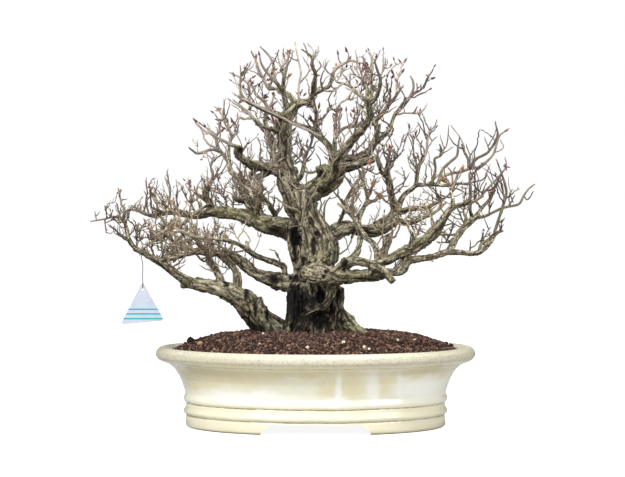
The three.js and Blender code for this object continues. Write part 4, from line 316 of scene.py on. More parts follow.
# Shoots that stand out singly: what each grows from, depth gained to the tip, radius at the root, and a list
# of across, height.
SHOOTS: list[tuple] = [
    ("low_tip", 8, 1.4, [-328, 309, -330, 316, -331, 323]),
    ("low_tip", -14, 1.5, [-313, 311, -314, 322, -316, 331]),
    ("low_tip", -8, 1.3, [-316, 311, -315, 299, -314, 289]),
    ("low_tip", 12, 1.4, [-304, 314, -298, 306, -291, 298]),
    ("low_tip", 30, 2.4, [-287, 308, -287, 326, -292, 338, -293, 348, -291, 356]),
    ("low_tip", -22, 2.1, [-289, 312, -284, 322, -276, 325, -265, 322]),
    ("low_tip", 24, 1.9, [-268, 266, -268, 278, -269, 292, -264, 306]),
    ("low_tip", -28, 1.9, [-240, 250, -246, 266, -244, 282, -250, 296]),
    ("low_cross", 20, 2.1, [-205, 255, -212, 268, -210, 284, -218, 300, -216, 314]),
    ("low_cross", -26, 1.9, [-186, 260, -190, 274, -200, 288, -202, 304]),
    ("upper_left", 16, 1.9, [-250, 318, -253, 335, -252, 350, -254, 373]),
    ("upper_left", -30, 1.9, [-244, 317, -247, 340, -248, 354, -250, 364]),
    ("upper_left", 34, 1.8, [-238, 318, -239, 338, -244, 351]),
    ("upper_left", -12, 1.6, [-222, 322, -228, 340, -236, 354]),
    ("upper_left", 22, 1.9, [-216, 322, -218, 345, -218, 358, -221, 371, -221, 386]),
    ("upper_left", -34, 1.7, [-206, 322, -208, 340, -208, 357]),
    ("upper_left", 26, 1.8, [-190, 318, -186, 335, -188, 353, -188, 370]),
    ("upper_left", -22, 1.5, [-172, 317, -176, 338, -180, 353]),
    ("upper_left_riser", -18, 1.5, [-156, 368, -148, 378, -146, 390]),
    ("upper_left", -36, 1.8, [-138, 320, -134, 336, -138, 350, -133, 364]),
    ("upper_left", 30, 1.8, [-120, 317, -124, 332, -121, 346, -126, 358]),
    ("riser", 24, 2.3, [-146, 417, -158, 421, -166, 430, -170, 443, -181, 456]),
    ("riser_left", 16, 1.7, [-177, 409, -177, 419, -181, 425, -185, 431]),
    ("riser_left", -14, 1.4, [-168, 411, -168, 406, -171, 400]),
    ("riser", -26, 1.9, [-149, 431, -145, 441, -143, 450, -147, 462, -153, 470]),
    ("riser", 34, 1.7, [-138, 408, -148, 402, -154, 396, -157, 387]),
    ("riser_back", -16, 1.7, [-126, 434, -118, 441, -115, 453]),
    ("riser_back", 22, 1.6, [-131, 455, -139, 466, -149, 478]),
    ("riser_back", -30, 1.6, [-129, 444, -137, 458, -138, 474, -134, 492]),
    ("mid_left", 20, 1.8, [-94, 393, -98, 408, -96, 424]),
    ("mid_left", -34, 1.8, [-78, 389, -84, 404, -82, 420, -88, 434]),
    ("shoulder", 18, 1.5, [-112, 502, -118, 512, -122, 525]),
    ("shoulder", -20, 1.4, [-113, 514, -107, 524, -108, 532]),
    ("shoulder", 24, 1.4, [-100, 486, -110, 492, -122, 497]),
    ("shoulder", -26, 1.6, [-90, 481, -98, 496, -101, 511]),
    ("shoulder_low", 26, 1.6, [-88, 455, -82, 468, -86, 484]),
    ("shoulder_low", -24, 1.5, [-97, 466, -106, 460, -116, 462]),
    ("grey_stem", 22, 1.7, [-72, 445, -84, 456, -90, 470]),
    ("grey_stem", -20, 1.6, [-67, 430, -58, 444, -60, 458]),
    ("apex_mid", 14, 1.7, [-5, 551, -3, 562, -12, 574]),
    ("apex_mid", -16, 1.4, [-12, 559, -15, 567, -18, 575]),
    ("apex_mid", 20, 1.4, [-4, 548, 3, 559, 4, 570]),
    ("apex_left", 18, 1.5, [-43, 542, -48, 555, -48, 567]),
    ("apex_left", -22, 1.4, [-43, 538, -36, 552, -34, 564]),
    ("apex_left", 26, 1.5, [-46, 526, -54, 544, -58, 561]),
    ("apex_side", -20, 1.4, [-64, 542, -58, 555, -55, 565]),
    ("apex_arch", 16, 1.4, [40, 542, 35, 549, 34, 557]),
    ("apex_arch", -20, 1.5, [25, 526, 16, 534, 14, 543]),
    ("apex_arch", 24, 1.4, [58, 547, 66, 554, 72, 552]),
    ("apex_arch", -30, 1.7, [11, 504, 8, 518, 12, 531]),
    ("apex_arch", 22, 1.6, [21, 511, 31, 503, 28, 493]),
    ("apex_arch", -14, 1.4, [47, 546, 50, 556, 47, 562]),
    ("fork_mid", -24, 1.6, [32, 470, 22, 480, 20, 492, 27, 503]),
    ("fork_left_up", -26, 1.8, [0, 455, 14, 466, 22, 478]),
    ("tower_left", 18, 1.4, [62, 532, 62, 548, 60, 564]),
    ("tower_left", -22, 1.4, [68, 521, 58, 528, 51, 541]),
    ("tower_mid", 24, 1.4, [84, 540, 92, 552, 97, 564]),
    ("tower_front", 20, 1.6, [97, 521, 101, 542, 101, 564]),
    ("tower_front", -24, 1.6, [97, 519, 110, 530, 117, 539, 124, 545]),
    ("tower_front", 30, 1.4, [96, 526, 105, 538, 108, 549]),
    ("tower_front", -34, 1.5, [93, 500, 84, 512, 84, 528, 78, 542]),
    ("tower_right", 14, 2.1, [121, 497, 122, 516, 126, 531, 133, 546]),
    ("tower_right", -26, 1.6, [112, 484, 101, 492, 108, 504, 106, 518]),
    ("tower_left", 34, 1.5, [77, 506, 70, 520, 70, 538, 73, 551]),
    ("outer_crown", 30, 1.9, [119, 467, 134, 470, 157, 470, 168, 485]),
    ("outer_crown", -24, 1.9, [144, 498, 155, 503, 163, 508, 169, 520, 178, 539]),
    ("outer_crown", 20, 1.7, [146, 499, 152, 504, 152, 515]),
    ("outer_crown", -30, 1.5, [127, 476, 134, 490, 129, 504]),
    ("main_right_riser", 18, 1.5, [171, 442, 180, 452, 182, 460]),
    ("main_right_riser", -20, 1.5, [171, 444, 165, 456, 161, 467]),
    ("main_right_riser", 26, 1.7, [168, 428, 163, 440, 153, 456]),
    ("main_right_riser", -34, 1.7, [154, 388, 148, 404, 147, 422, 143, 438]),
    ("main_right_riser", 30, 1.6, [152, 377, 142, 391, 138, 408]),
    ("main_right_riser", -16, 1.6, [161, 401, 158, 415, 160, 430]),
    ("main_riser", 26, 1.7, [109, 388, 118, 400, 126, 418, 133, 438]),
    ("main_riser", -22, 1.6, [109, 394, 103, 407, 101, 422]),
    ("main_riser", -40, 1.5, [114, 346, 128, 356, 134, 370, 130, 386]),
    ("right_bough_in", 16, 1.5, [226, 406, 220, 428, 203, 452]),
    ("right_bough_out", -22, 1.5, [236, 395, 241, 420, 246, 444]),
    ("right_bough", 20, 1.5, [268, 410, 282, 418, 276, 430]),
    ("right_level", 34, 1.7, [216, 364, 238, 366, 252, 370, 262, 393]),
    ("right_curl", 16, 1.4, [180, 390, 172, 398, 170, 412]),
    ("outer_right", 20, 1.5, [284, 340, 292, 345, 295, 338]),
    ("outer_right", -26, 1.5, [282, 334, 274, 350, 271, 368]),
    ("outer_right", 28, 1.5, [279, 379, 286, 390, 284, 404]),
    ("outer_fork_out", -20, 1.4, [312, 345, 318, 340, 327, 352]),
    ("outer_fork_out", 14, 1.5, [293, 330, 290, 343, 296, 356]),
    ("outer_fork", -30, 1.7, [229, 304, 222, 320, 226, 334]),
    ("third_right", 26, 1.7, [178, 293, 186, 288, 196, 290]),
    ("third_right", -28, 1.8, [166, 281, 176, 300, 174, 318]),
    ("third_right", 34, 1.8, [150, 269, 152, 288, 160, 304]),
    ("front_stub", -20, 1.5, [78, 244, 84, 258, 80, 272]),
    ("mid_column", -22, 1.7, [15, 268, 8, 281, -2, 286, -12, 297, -24, 301, -37, 299]),
    ("mid_column", -26, 1.4, [-21, 303, -20, 314, -17, 327, -14, 342]),
    ("main_riser", -66, 1.4, [112, 333, 100, 343, 85, 356]),
]

# Thin pale twigs that cross in front of the old wood: what each grows from, depth gained, root radius, and a
# list of across, height.
FRONT_TWIGS: list[tuple] = [
    ("mid_column", -30, 1.3, [-20, 312, -12, 330, -3, 349, 8, 371, 15, 386]),
    ("crown", -34, 1.3, [30, 398, 22, 404, 13, 411, 4, 420]),
    ("crown", -42, 1.4, [31, 392, 46, 371, 62, 347, 70, 334]),
    ("snake_riser", -20, 1.5, [67, 285, 55, 320, 58, 360, 70, 379, 69, 409]),
    ("mid_column", -24, 2.0, [-19, 320, -32, 326, -43, 330, -57, 341, -70, 345]),
    ("mid_column", -34, 1.5, [-21, 334, -34, 344, -40, 358, -52, 370, -55, 386]),
    ("crown", -40, 1.6, [-4, 352, -14, 366, -12, 384, -24, 398, -22, 416]),
    ("crown", -50, 1.4, [6, 358, 2, 376, 8, 392, 0, 410]),
    ("upper_stem", -44, 1.7, [-40, 362, -30, 374, -34, 392, -22, 406, -18, 424]),
    ("upper_stem", -52, 1.5, [-41, 380, -52, 392, -50, 408, -60, 420, -58, 438]),
    ("upper_stem", -40, 1.4, [-44, 396, -36, 410, -40, 428, -30, 444]),
    ("upper_stem", -36, 1.3, [-45, 420, -54, 434, -52, 450, -61, 462]),
    ("mid_left", -40, 1.6, [-70, 387, -64, 400, -72, 416, -66, 432]),
    ("mid_left", -46, 1.5, [-88, 391, -90, 372, -80, 360, -84, 346]),
    ("right_block", -26, 1.3, [18, 270, 34, 280, 43, 285, 51, 257]),
    ("fork_left", -105, 2.9, [10, 431, -8, 442, -25, 449, -41, 457, -64, 469, -84, 478, -110, 492]),
    ("low_tip", -30, 2.0, [-232, 250, -222, 268, -206, 280, -186, 300]),
    ("low_tip", -36, 1.9, [-262, 262, -246, 276, -232, 284, -214, 306]),
    ("low_cross", -34, 2.1, [-172, 260, -190, 268, -206, 284, -228, 296]),
    ("low_cross", -26, 1.8, [-210, 252, -216, 270, -232, 282, -240, 300, -238, 322]),
    ("low_riser_out", -30, 2.0, [-150, 240, -168, 262, -180, 286, -178, 304]),
    ("third", -44, 2.0, [-110, 262, -140, 262, -168, 270, -196, 290, -222, 292]),
    ("third", -40, 1.8, [-128, 262, -150, 274, -176, 278, -204, 300]),
    ("right_block", -22, 1.4, [4, 300, 12, 312, 8, 328, 16, 340]),
]

# Hollows, pits and scars of the old wood as the front sees them, pushed in and laid dark: painted shade in
# the hollows and pits, the scars' own dark. Across, height, half width, half height and depth.
HOLLOWS: list[Patch] = [
    (-29, 268, 9, 38, 11),
    (-27, 248, 10, 18, 10),
    (-2, 269, 3, 12, 5),
    (3, 288, 4, 5, 6),
    (15, 233, 3, 3, 3),
    (12, 226, 3, 3, 3),
    (42, 235, 3, 3, 3),
    (45, 217, 3, 3, 3),
    (-29, 221, 10, 7, 9),
    (-28, 180, 16, 32, 12),
    (8, 192, 7, 11, 4),
    (-4, 186, 4, 9, 3),
    (9, 158, 20, 13, 9),
    (33, 196, 3, 12, 4),
    (24, 172, 3, 12, 4),
    (-133, 212, 5, 5, 4),
    (-62, 221, 7, 8, 2),
    (-72, 166, 3, 16, 5),
    (-90, 176, 3, 14, 5),
    (-104, 196, 4, 10, 4),
    (-110, 413, 5, 5, 1),
    (44, 248, 6, 6, 2),
    (7, 378, 4, 5, 5),
    (72, 412, 4, 4, 4),
]

# Mossy stretches of the old wood as the front sees them: across, height, half width, half height, strength.
MOSSY: list[Patch] = [
    (-120, 320, 46, 10, 1.0),
    (20, 378, 26, 18, 0.9),
    (60, 228, 50, 9, 0.5),
    (162, 280, 18, 12, 1.1),
    (-40, 330, 14, 26, 0.5),
    (-206, 240, 26, 12, 0.9),
    (-194, 218, 8, 6, 1.2),
    (-262, 262, 16, 12, 0.6),
    (-84, 305, 22, 8, 0.5),
    (-120, 205, 22, 10, 0.4),
    (80, 302, 56, 22, -0.9),
    (-72, 240, 70, 14, -0.5),
]

# Patches of painted shade on the old wood, at crotches and under limbs, as the front sees them: across,
# height, half width, half height, strength.
PAINTED_SHADE_PATCHES: list[Patch] = [
    (-47, 432, 14, 50, 0.42), (-52, 292, 26, 13, 0.8), (-108, 342, 16, 10, 0.5), (24, 419, 11, 18, 0.55),
    (105, 270, 12, 22, 0.5), (-62, 224, 12, 10, 0.5), (-30, 345, 16, 26, 0.25), (2, 352, 24, 8, 0.4),
    (100, 228, 44, 6, 0.4), (-70, 205, 26, 6, 0.5), (-150, 386, 20, 26, 0.3), (-78, 160, 26, 18, 0.35),
    (74, 130, 30, 14, 0.3), (120, 420, 40, 40, 0.15), (-100, 172, 54, 38, 0.36),
]

# Rosettes of old bud scales as the front sees them: across, height, tone from dark to orange, and spread.
ROSETTES: list[Quad] = [
    (4, 527, 0.85, 7), (-61, 535, 0.8, 6), (-35, 524, 0.7, 6), (29, 536, 0.9, 7), (-41, 560, 0.55, 6),
    (-48, 556, 0.6, 6), (-96, 512, 0.7, 7), (-146, 473, 0.75, 6), (-66, 498, 0.6, 6), (-110, 488, 0.6, 5),
    (-84, 414, 0.8, 5), (-39, 410, 0.75, 6), (-33, 414, 0.5, 5), (-27, 486, 0.1, 9), (-12, 478, 0.1, 8),
    (-20, 494, 0.05, 8), (-72, 492, 0.1, 6), (-250, 358, 0.6, 6), (-188, 368, 0.55, 5), (-154, 370, 0.5, 6),
    (-146, 370, 0.45, 6), (-208, 344, 0.6, 5), (83, 362, 0.95, 6), (109, 419, 0.75, 9), (217, 384, 0.8, 7),
    (201, 361, 0.85, 5), (189, 363, 0.7, 7), (267, 350, 0.7, 7), (160, 402, 0.55, 7), (284, 387, 0.55, 6),
    (128, 352, 0.8, 5), (127, 329, 0.8, 5), (189, 332, 0.85, 6), (173, 329, 0.9, 6), (99, 345, 0.9, 5),
    (70, 397, 0.85, 7), (67, 281, 0.45, 6), (-250, 300, 0.7, 5), (-215, 300, 0.7, 5), (150, 404, 0.6, 6),
]

# Outer outline of the pot from the foot up to the rim: half length and height.
POT_OUTSIDE: list[Pair] = [
    (191, 0), (195, 3), (194.5, 17), (193, 18.6), (197, 20.5), (198.5, 25), (194.5, 31), (194.5, 35.5),
    (193.5, 37), (197, 38.8), (198.5, 44), (195.5, 51), (198, 60), (203, 74), (211, 87), (221, 95.5),
    (235, 100.5), (240, 107), (239, 114), (234, 119), (226, 120), (214, 117),
]

# Inner outline of the pot's wall from the floor up.
POT_INSIDE: list[Pair] = [
    (181, 32), (185, 42), (187, 58), (194, 76), (204, 92), (211, 104), (213.4, 112),
]


class Slot(Enum):
    """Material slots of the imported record."""

    GLAZE = "glaze"
    SOIL = "soil"
    BARK = "bark"
    THREAD = "thread"
    TAG = "tag"
    SCREEN = "screen"
    WIRE = "wire"


class SeededDraws:
    """The draws between 0 and 1 that the solid tree was grown with, in the same order."""

    def __init__(self, seed: int) -> None:
        """Start the row of draws.

        Args:
            seed: Where the row starts.
        """
        self.state = seed

    def __call__(self) -> float:
        """Return the next draw."""
        self.state = (self.state * 1664525 + 1013904223) % 4294967296
        return self.state / 4294967296


def unit(vectors: Array) -> Array:
    """Return vectors scaled to length one."""
    return vectors / np.maximum(np.linalg.norm(vectors, axis=-1, keepdims=True), 1e-9)


def placed(across: float, high: float, depth: float) -> Array:
    """Push a point seen from the front to its depth along the line of sight.

    Args:
        across: Seen place to the right of the middle.
        high: Seen height.
        depth: Distance behind the plane of the layout.

    Returns:
        The point in millimetres.
    """
    scale = (VIEW_DISTANCE + depth) / VIEW_DISTANCE
    return np.array([across * scale, depth, VIEW_HEIGHT + (high - VIEW_HEIGHT) * scale])


@dataclass
class Member:
    """One grown member: a smooth path in millimetres with a radius at each of its points."""

    points: Array
    radii: Array
    places: list[Pair] = field(default_factory=list)
    depths: list[float] = field(default_factory=list)

    @classmethod
    def laid_out(cls, places: list[Pair], depths: list[float], radii: list[float]) -> Member:
        """Make a member from seen places, depths and radii."""
        points = [placed(across, high, depth) for (across, high), depth in zip(places, depths)]
        return cls(np.array(points), np.array(radii, float), places, depths)

    @property
    def length(self) -> float:
        """Length of the straight runs between the points."""
        return float(np.linalg.norm(np.diff(self.points, axis=0), axis=1).sum())

    def at(self, t: Array | float) -> Array:
        """Return places on the smooth path.

        Args:
            t: Shares of the path, from 0 to 1.

        Returns:
            One point for each share.
        """
        shares = np.atleast_1d(np.asarray(t, float))
        points = self.points
        last = len(points) - 1
        padded = np.vstack([2 * points[0] - points[1], points, 2 * points[-1] - points[-2]])
        before = np.clip(np.floor(shares * last).astype(int), 0, last - 1)
        w = (shares * last - before)[:, None]
        p0, p1, p2, p3 = (padded[before + k] for k in range(4))
        middle = self._knot(p1, p2, 1.0)
        first = self._knot(p0, p1, middle)
        third = self._knot(p2, p3, middle)
        start = ((p1 - p0) / first - (p2 - p0) / (first + middle) + (p2 - p1) / middle) * middle
        end = ((p2 - p1) / middle - (p3 - p1) / (middle + third) + (p3 - p2) / third) * middle
        bend = -3 * p1 + 3 * p2 - 2 * start - end
        turn = 2 * p1 - 2 * p2 + start + end
        return p1 + start * w + bend * w**2 + turn * w**3

    @staticmethod
    def _knot(a: Array, b: Array, missing: Array | float) -> Array:
        """Return the centripetal step between two points, or the given one where they coincide."""
        step = np.sqrt(np.linalg.norm(b - a, axis=1, keepdims=True))
        return np.where(step < 1e-4, missing, step)

    def direction(self, t: Array | float) -> Array:
        """Return the unit directions of the path at shares of it."""
        shares = np.atleast_1d(np.asarray(t, float))
        return unit(self.at(np.minimum(shares + 1e-4, 1)) - self.at(np.maximum(shares - 1e-4, 0)))

    def radius(self, t: Array | float) -> Array:
        """Return the radii at shares of the path."""
        return np.interp(np.asarray(t, float) * (len(self.radii) - 1), np.arange(len(self.radii)), self.radii)

    def nearest(self, across: float, high: float) -> tuple[float, Pair, float]:
        """Find the member's seen place that is nearest to a seen place.

        Args:
            across: Seen place to the right of the middle.
            high: Seen height.

        Returns:
            The gap, the nearest place and its depth.
        """
        best = (math.inf, (0.0, 0.0), 0.0)
        for (ax, az), (bx, bz), near, far in zip(self.places, self.places[1:], self.depths, self.depths[1:]):
            along = ((across - ax) * (bx - ax) + (high - az) * (bz - az)) / ((bx - ax) ** 2 + (bz - az) ** 2)
            share = min(max(along, 0.0), 1.0)
            place = (ax + (bx - ax) * share, az + (bz - az) * share)
            gap = math.hypot(across - place[0], high - place[1])
            if gap < best[0]:
                best = (gap, place, near + (far - near) * share)
        return best


def swaying_depths(places: list[Pair], start: float, lean: float, phase: float) -> list[float]:
    """Give a member its depths: from the start by the lean to the tip, with a slow sway.

    Args:
        places: Seen places along the member.
        start: Depth at the root.
        lean: Depth gained to the tip.
        phase: Where the sway starts.

    Returns:
        One depth for each place.
    """
    reach = [0.0]
    for (ax, az), (bx, bz) in zip(places, places[1:]):
        reach.append(reach[-1] + math.hypot(bx - ax, bz - az))
    shares = [run / reach[-1] for run in reach]
    sway = 0.045 * reach[-1]
    return [
        start + lean * share + sway * (math.sin(6 * share + phase) - math.sin(phase)) * (1 - share)
        for share in shares
    ]


def shoot_radii(root: float, count: int) -> Array:
    """Return the radii of a shoot, which thins a little to its tip."""
    return root * (1 - 0.35 * np.arange(count) / (count - 1))


def slimmed(radii: Array) -> Array:
    """Return radii less what relief, buds and blur add to the look of a limb, most for the thinnest."""
    return radii * np.interp(radii, [2.0, 3.0, 8.0, 25.0], [0.8, 0.87, 1.0, 1.03])


def inside_canopy(point: Array) -> bool:
    """Tell whether a point lies within the canopy's edge as the front sees it.

    Args:
        point: The point in millimetres.

    Returns:
        Whether it is inside.
    """
    scale = VIEW_DISTANCE / (VIEW_DISTANCE + point[1])
    across, high = point[0] * scale, VIEW_HEIGHT + (point[2] - VIEW_HEIGHT) * scale
    crossed = [
        (az > high) != (bz > high) and across < ax + (bx - ax) * (high - az) / (bz - az)
        for (ax, az), (bx, bz) in zip(CANOPY_EDGE, CANOPY_EDGE[1:] + CANOPY_EDGE[:1])
    ]
    return sum(crossed) % 2 == 1


def clear_of_tag(tip: Array) -> bool:
    """Tell whether a twig's tip stays out of the tag's room."""
    left, right, top = TAG_ROOM
    return not (left < tip[0] < right and tip[2] < top)


class Skeleton:
    """The members, shoots and sprays of the solid tree, in millimetres."""

    def __init__(self) -> None:
        """Grow every member from the tables, then the sprays from the seeded draws."""
        self.draw = SeededDraws(2719)
        self.members: dict[str, Member] = {}
        self.stems = len(STEMS)
        for i, (name, depth, lean, row) in enumerate(STEMS):
            places = list(zip(row[0::3], row[1::3]))
            depths = swaying_depths(places, depth, lean, 2.4 * i)
            self.members[name] = Member.laid_out(places, depths, row[2::3])
        for i, (name, parent, lean, row) in enumerate(LIMBS):
            places = list(zip(row[0::3], row[1::3]))
            self.members[name] = self._grown_from(self.members[parent], places, row[2::3], lean, 1.9 * i)
        self.shoots = [self._shoot(i, *row) for i, row in enumerate(SHOOTS)]
        self.sprays = self._grow_sprays()
        self.front_twigs = [self._shoot(i, *row) for i, row in enumerate(FRONT_TWIGS)]

    @staticmethod
    def _grown_from(
        parent: Member, places: list[Pair], radii: list[float], lean: float, phase: float
    ) -> Member:
        """Make a member whose first point lies on its parent's middle line.

        Args:
            parent: What it grows from.
            places: Its seen places.
            radii: A radius for each place.
            lean: Depth gained to the tip.
            phase: Where its sway starts.

        Returns:
            The member.
        """
        gap, place, depth = parent.nearest(*places[0])
        places, radii = list(places), list(radii)
        if gap > 2:
            places.insert(0, place)
            radii.insert(0, radii[0])
        return Member.laid_out(places, swaying_depths(places, depth, lean, phase), radii)

    def _shoot(self, i: int, parent: str, lean: float, root: float, row: list[float]) -> Member:
        """Make one of the shoots that stand out singly.

        Args:
            i: Its number, which sets its sway.
            parent: Name of the member that it grows from.
            lean: Depth gained to the tip.
            root: Radius at the root.
            row: Across and height of each place.

        Returns:
            The shoot.
        """
        places = list(zip(row[0::2], row[1::2]))
        radii = list(shoot_radii(root, len(places)))
        return self._grown_from(self.members[parent], places, radii, lean, 0.7 * i)

    def _grow_sprays(self) -> list[Member]:
        """Grow the sprays of the solid tree, each with one side twig.

        Returns:
            The sprays and their side twigs.
        """
        sprays: list[Member] = []
        for member in self.members.values():
            count = int(member.length // SPRAY_STEP)
            for i in range(count):
                t = (i + 0.35 + 0.6 * self.draw()) / count
                radius = float(member.radius(min(t, 1.0)))
                if t >= 1 or not THINNEST_PARENT <= radius <= THICKEST_PARENT:
                    continue
                spray = self._spray_on(member, t)
                if spray is None:
                    continue
                sprays.append(spray)
                twig = self._spray_on(spray, 0.4 + 0.35 * self.draw())
                if twig is not None:
                    sprays.append(twig)
        return sprays

    def _spray_on(self, member: Member, t: float) -> Member | None:
        """Grow one spray on a member, or none where it would leave the canopy.

        Args:
            member: What it grows on.
            t: Share of the member where it starts.

        Returns:
            The spray or none.
        """
        tangent = member.direction(t)[0]
        across = unit(np.array([tangent[1], -tangent[0], 0.001]))
        lift = unit(np.cross(across, tangent))
        angle = 2 * math.pi * self.draw()
        reach = (SPRAY_SHORTEST + (SPRAY_LONGEST - SPRAY_SHORTEST) * self.draw()) * (1 - 0.4 * t)
        out = across * math.cos(angle) + lift * 0.8 * math.sin(angle)
        out[1] *= 1.5
        out[2] += 0.6
        out = unit(out + 0.45 * tangent)
        start = member.at(t)[0]
        root = min(SPRAY_RADIUS, 0.8 * float(member.radius(t)) + 0.3)
        kink = (np.array([self.draw(), self.draw(), self.draw()]) - 0.5) * 0.3 * reach
        points = []
        for share in (0.0, 0.45, 1.0):
            point = start + out * reach * share
            point[2] += 0.22 * reach * share * share
            points.append(point + kink * math.sin(math.pi * share))
        tip = points[-1]
        within = abs(tip[0]) < CANOPY_X and abs(tip[1]) < CANOPY_Y and tip[2] < CANOPY_TOP
        if not within or not inside_canopy(tip) or not clear_of_tag(tip) or start[2] < CANOPY_LOW:
            return None
        return Member(np.array(points), shoot_radii(root, len(points)))


def lattice_noise(points: Array, seed: int = 0) -> Array:
    """Return smooth noise between -1 and 1 at points, with cells one unit across.

    Args:
        points: Places, one row each.
        seed: Picks one of many patterns.

    Returns:
        One value for each point.
    """
    cell = np.floor(points).astype(np.int64)
    part = points - cell
    fade = part * part * (3 - 2 * part)
    total = np.zeros(len(points))
    for corner in product((0, 1), repeat=3):
        at = cell + np.array(corner)
        mixed = at[:, 0] * 374761393 + at[:, 1] * 668265263 + at[:, 2] * 974634777 + seed * 144665
        mixed = ((mixed ^ (mixed >> 13)) * 1274126177) & 0xFFFFFFFF
        value = ((mixed ^ (mixed >> 16)) & 0xFFFF) / 32767.5 - 1
        weight = np.prod(np.where(np.array(corner) == 1, fade, 1 - fade), axis=1)
        total += weight * value
    return total


def layered_noise(points: Array, layers: int, seed: int = 0) -> Array:
    """Return noise of several layers, each half as wide and half as strong as the one before."""
    return sum(lattice_noise(points * 2**k, seed + 17 * k) / 2**k for k in range(layers))


def rising(values: Array, low: float, high: float) -> Array:
    """Return shares from 0 at the low value to 1 at the high one, which may also lie below it."""
    return np.clip((values - low) / (high - low), 0, 1)


def stepped(values: Array, steps: Steps) -> Array:
    """Return what belongs to each value by steps of value and result, with straight runs between them."""
    return np.interp(values, *zip(*steps))


def away_from(
    places: Array, across: float, high: float, half_wide: float, half_high: float
) -> Array:
    """Return how far places lie from the middle of an oval that faces the front, with 1 at its edge."""
    return np.hypot((places[:, 0] - across) / half_wide, (places[:, 2] - high) / half_high)


def only(kind: type, items: Sequence) -> list:
    """Keep the items of one kind, such as the vertices of what an operator made."""
    return [item for item in items if isinstance(item, kind)]


def unit_tube(sides: int, rings: int) -> BMesh:
    """Make a closed tube of radius one whose rings stand at heights 0, 1, 2 and so on.

    Args:
        sides: Corners of a ring.
        rings: Number of rings.

    Returns:
        The tube as a new bmesh.
    """
    bm = bmesh.new()
    bmesh.ops.create_circle(bm, cap_ends=True, segments=sides, radius=1.0)
    bmesh.ops.reverse_faces(bm, faces=bm.faces[:])
    edges = bm.edges[:]
    for _ in range(rings - 1):
        grown = bmesh.ops.extrude_edge_only(bm, edges=edges)["geom"]
        edges = [edge for edge in only(bmesh.types.BMEdge, grown) if edge.is_boundary]
        bmesh.ops.translate(bm, verts=only(bmesh.types.BMVert, grown), vec=(0, 0, 1))
    bmesh.ops.contextual_create(bm, geom=edges)
    bmesh.ops.recalc_face_normals(bm, faces=bm.faces[:])
    return bm


def many(bm: BMesh, count: int) -> None:
    """Fill a bmesh with copies of the shape it holds, one after the other, by doubling.

    Args:
        bm: Holds one shape, and afterwards all the copies.
        count: How many there are afterwards.
    """
    sizes = [len(bm.verts), len(bm.edges), len(bm.faces)]
    have = 1
    while have < count:
        more = min(have, count - have)
        bm.verts.ensure_lookup_table()
        bm.edges.ensure_lookup_table()
        bm.faces.ensure_lookup_table()
        geom = bm.verts[: sizes[0] * more] + bm.edges[: sizes[1] * more] + bm.faces[: sizes[2] * more]
        bmesh.ops.duplicate(bm, geom=geom)
        have += more


def to_object(bm: BMesh, name: str, smooth: bool = True) -> Piece:
    """Turn a bmesh into an object in the scene and free the bmesh.

    Args:
        bm: The shape, in metres or with places still to be set.
        name: Name of the piece.
        smooth: Whether its faces are shaded smooth.

    Returns:
        The new object.
    """
    mesh = bpy.data.meshes.new(name)
    bm.to_mesh(mesh)
    bm.free()
    if smooth:
        mesh.shade_smooth()
    else:
        mesh.shade_flat()
    piece = bpy.data.objects.new(name, mesh)
    bpy.context.collection.objects.link(piece)
    return piece


def places_of(mesh: Mesh) -> Array:
    """Return the places of a mesh's vertices, one row each.

    Args:
        mesh: The mesh.

    Returns:
        The places, in metres as the mesh holds them.
    """
    flat = np.empty(len(mesh.vertices) * 3, np.float32)
    mesh.vertices.foreach_get("co", flat)
    return flat.reshape(-1, 3).astype(float)


def normals_of(mesh: Mesh) -> Array:
    """Return the normals of a mesh's vertices, one row each.

    Args:
        mesh: The mesh.

    Returns:
        The normals.
    """
    flat = np.empty(len(mesh.vertices) * 3, np.float32)
    mesh.vertex_normals.foreach_get("vector", flat)
    return flat.reshape(-1, 3).astype(float)


def set_places(mesh: Mesh, places: Array) -> None:
    """Move a mesh's vertices to new places."""
    mesh.vertices.foreach_set("co", np.ascontiguousarray(places, np.float32).ravel())
    mesh.update()


def set_attribute(mesh: Mesh, name: str, values: Array) -> None:
    """Store one number or one vector for each vertex under a name.

    Args:
        mesh: The mesh.
        name: Name that the materials read.
        values: One row for each vertex.
    """
    kind, key = ("FLOAT_VECTOR", "vector") if values.ndim == 2 else ("FLOAT", "value")
    layer = mesh.attributes.new(name, kind, "POINT")
    layer.data.foreach_set(key, np.ascontiguousarray(values, np.float32).ravel())


def across_frames(paths: Array) -> tuple[Array, Array, Array]:
    """Carry a frame without twist along each of several paths.

    Args:
        paths: Places, as paths by rings by three.

    Returns:
        The directions, normals and sides, each in the shape of the paths.
    """
    tangents = unit(np.gradient(paths, axis=1))
    normals = np.empty_like(paths)
    normal = np.broadcast_to(np.array([0.35, 1.0, 0.2]), paths[:, 0].shape)
    for ring in range(paths.shape[1]):
        tangent = tangents[:, ring]
        normal = unit(normal - (normal * tangent).sum(1, keepdims=True) * tangent)
        normals[:, ring] = normal
    return tangents, normals, np.cross(normals, tangents)


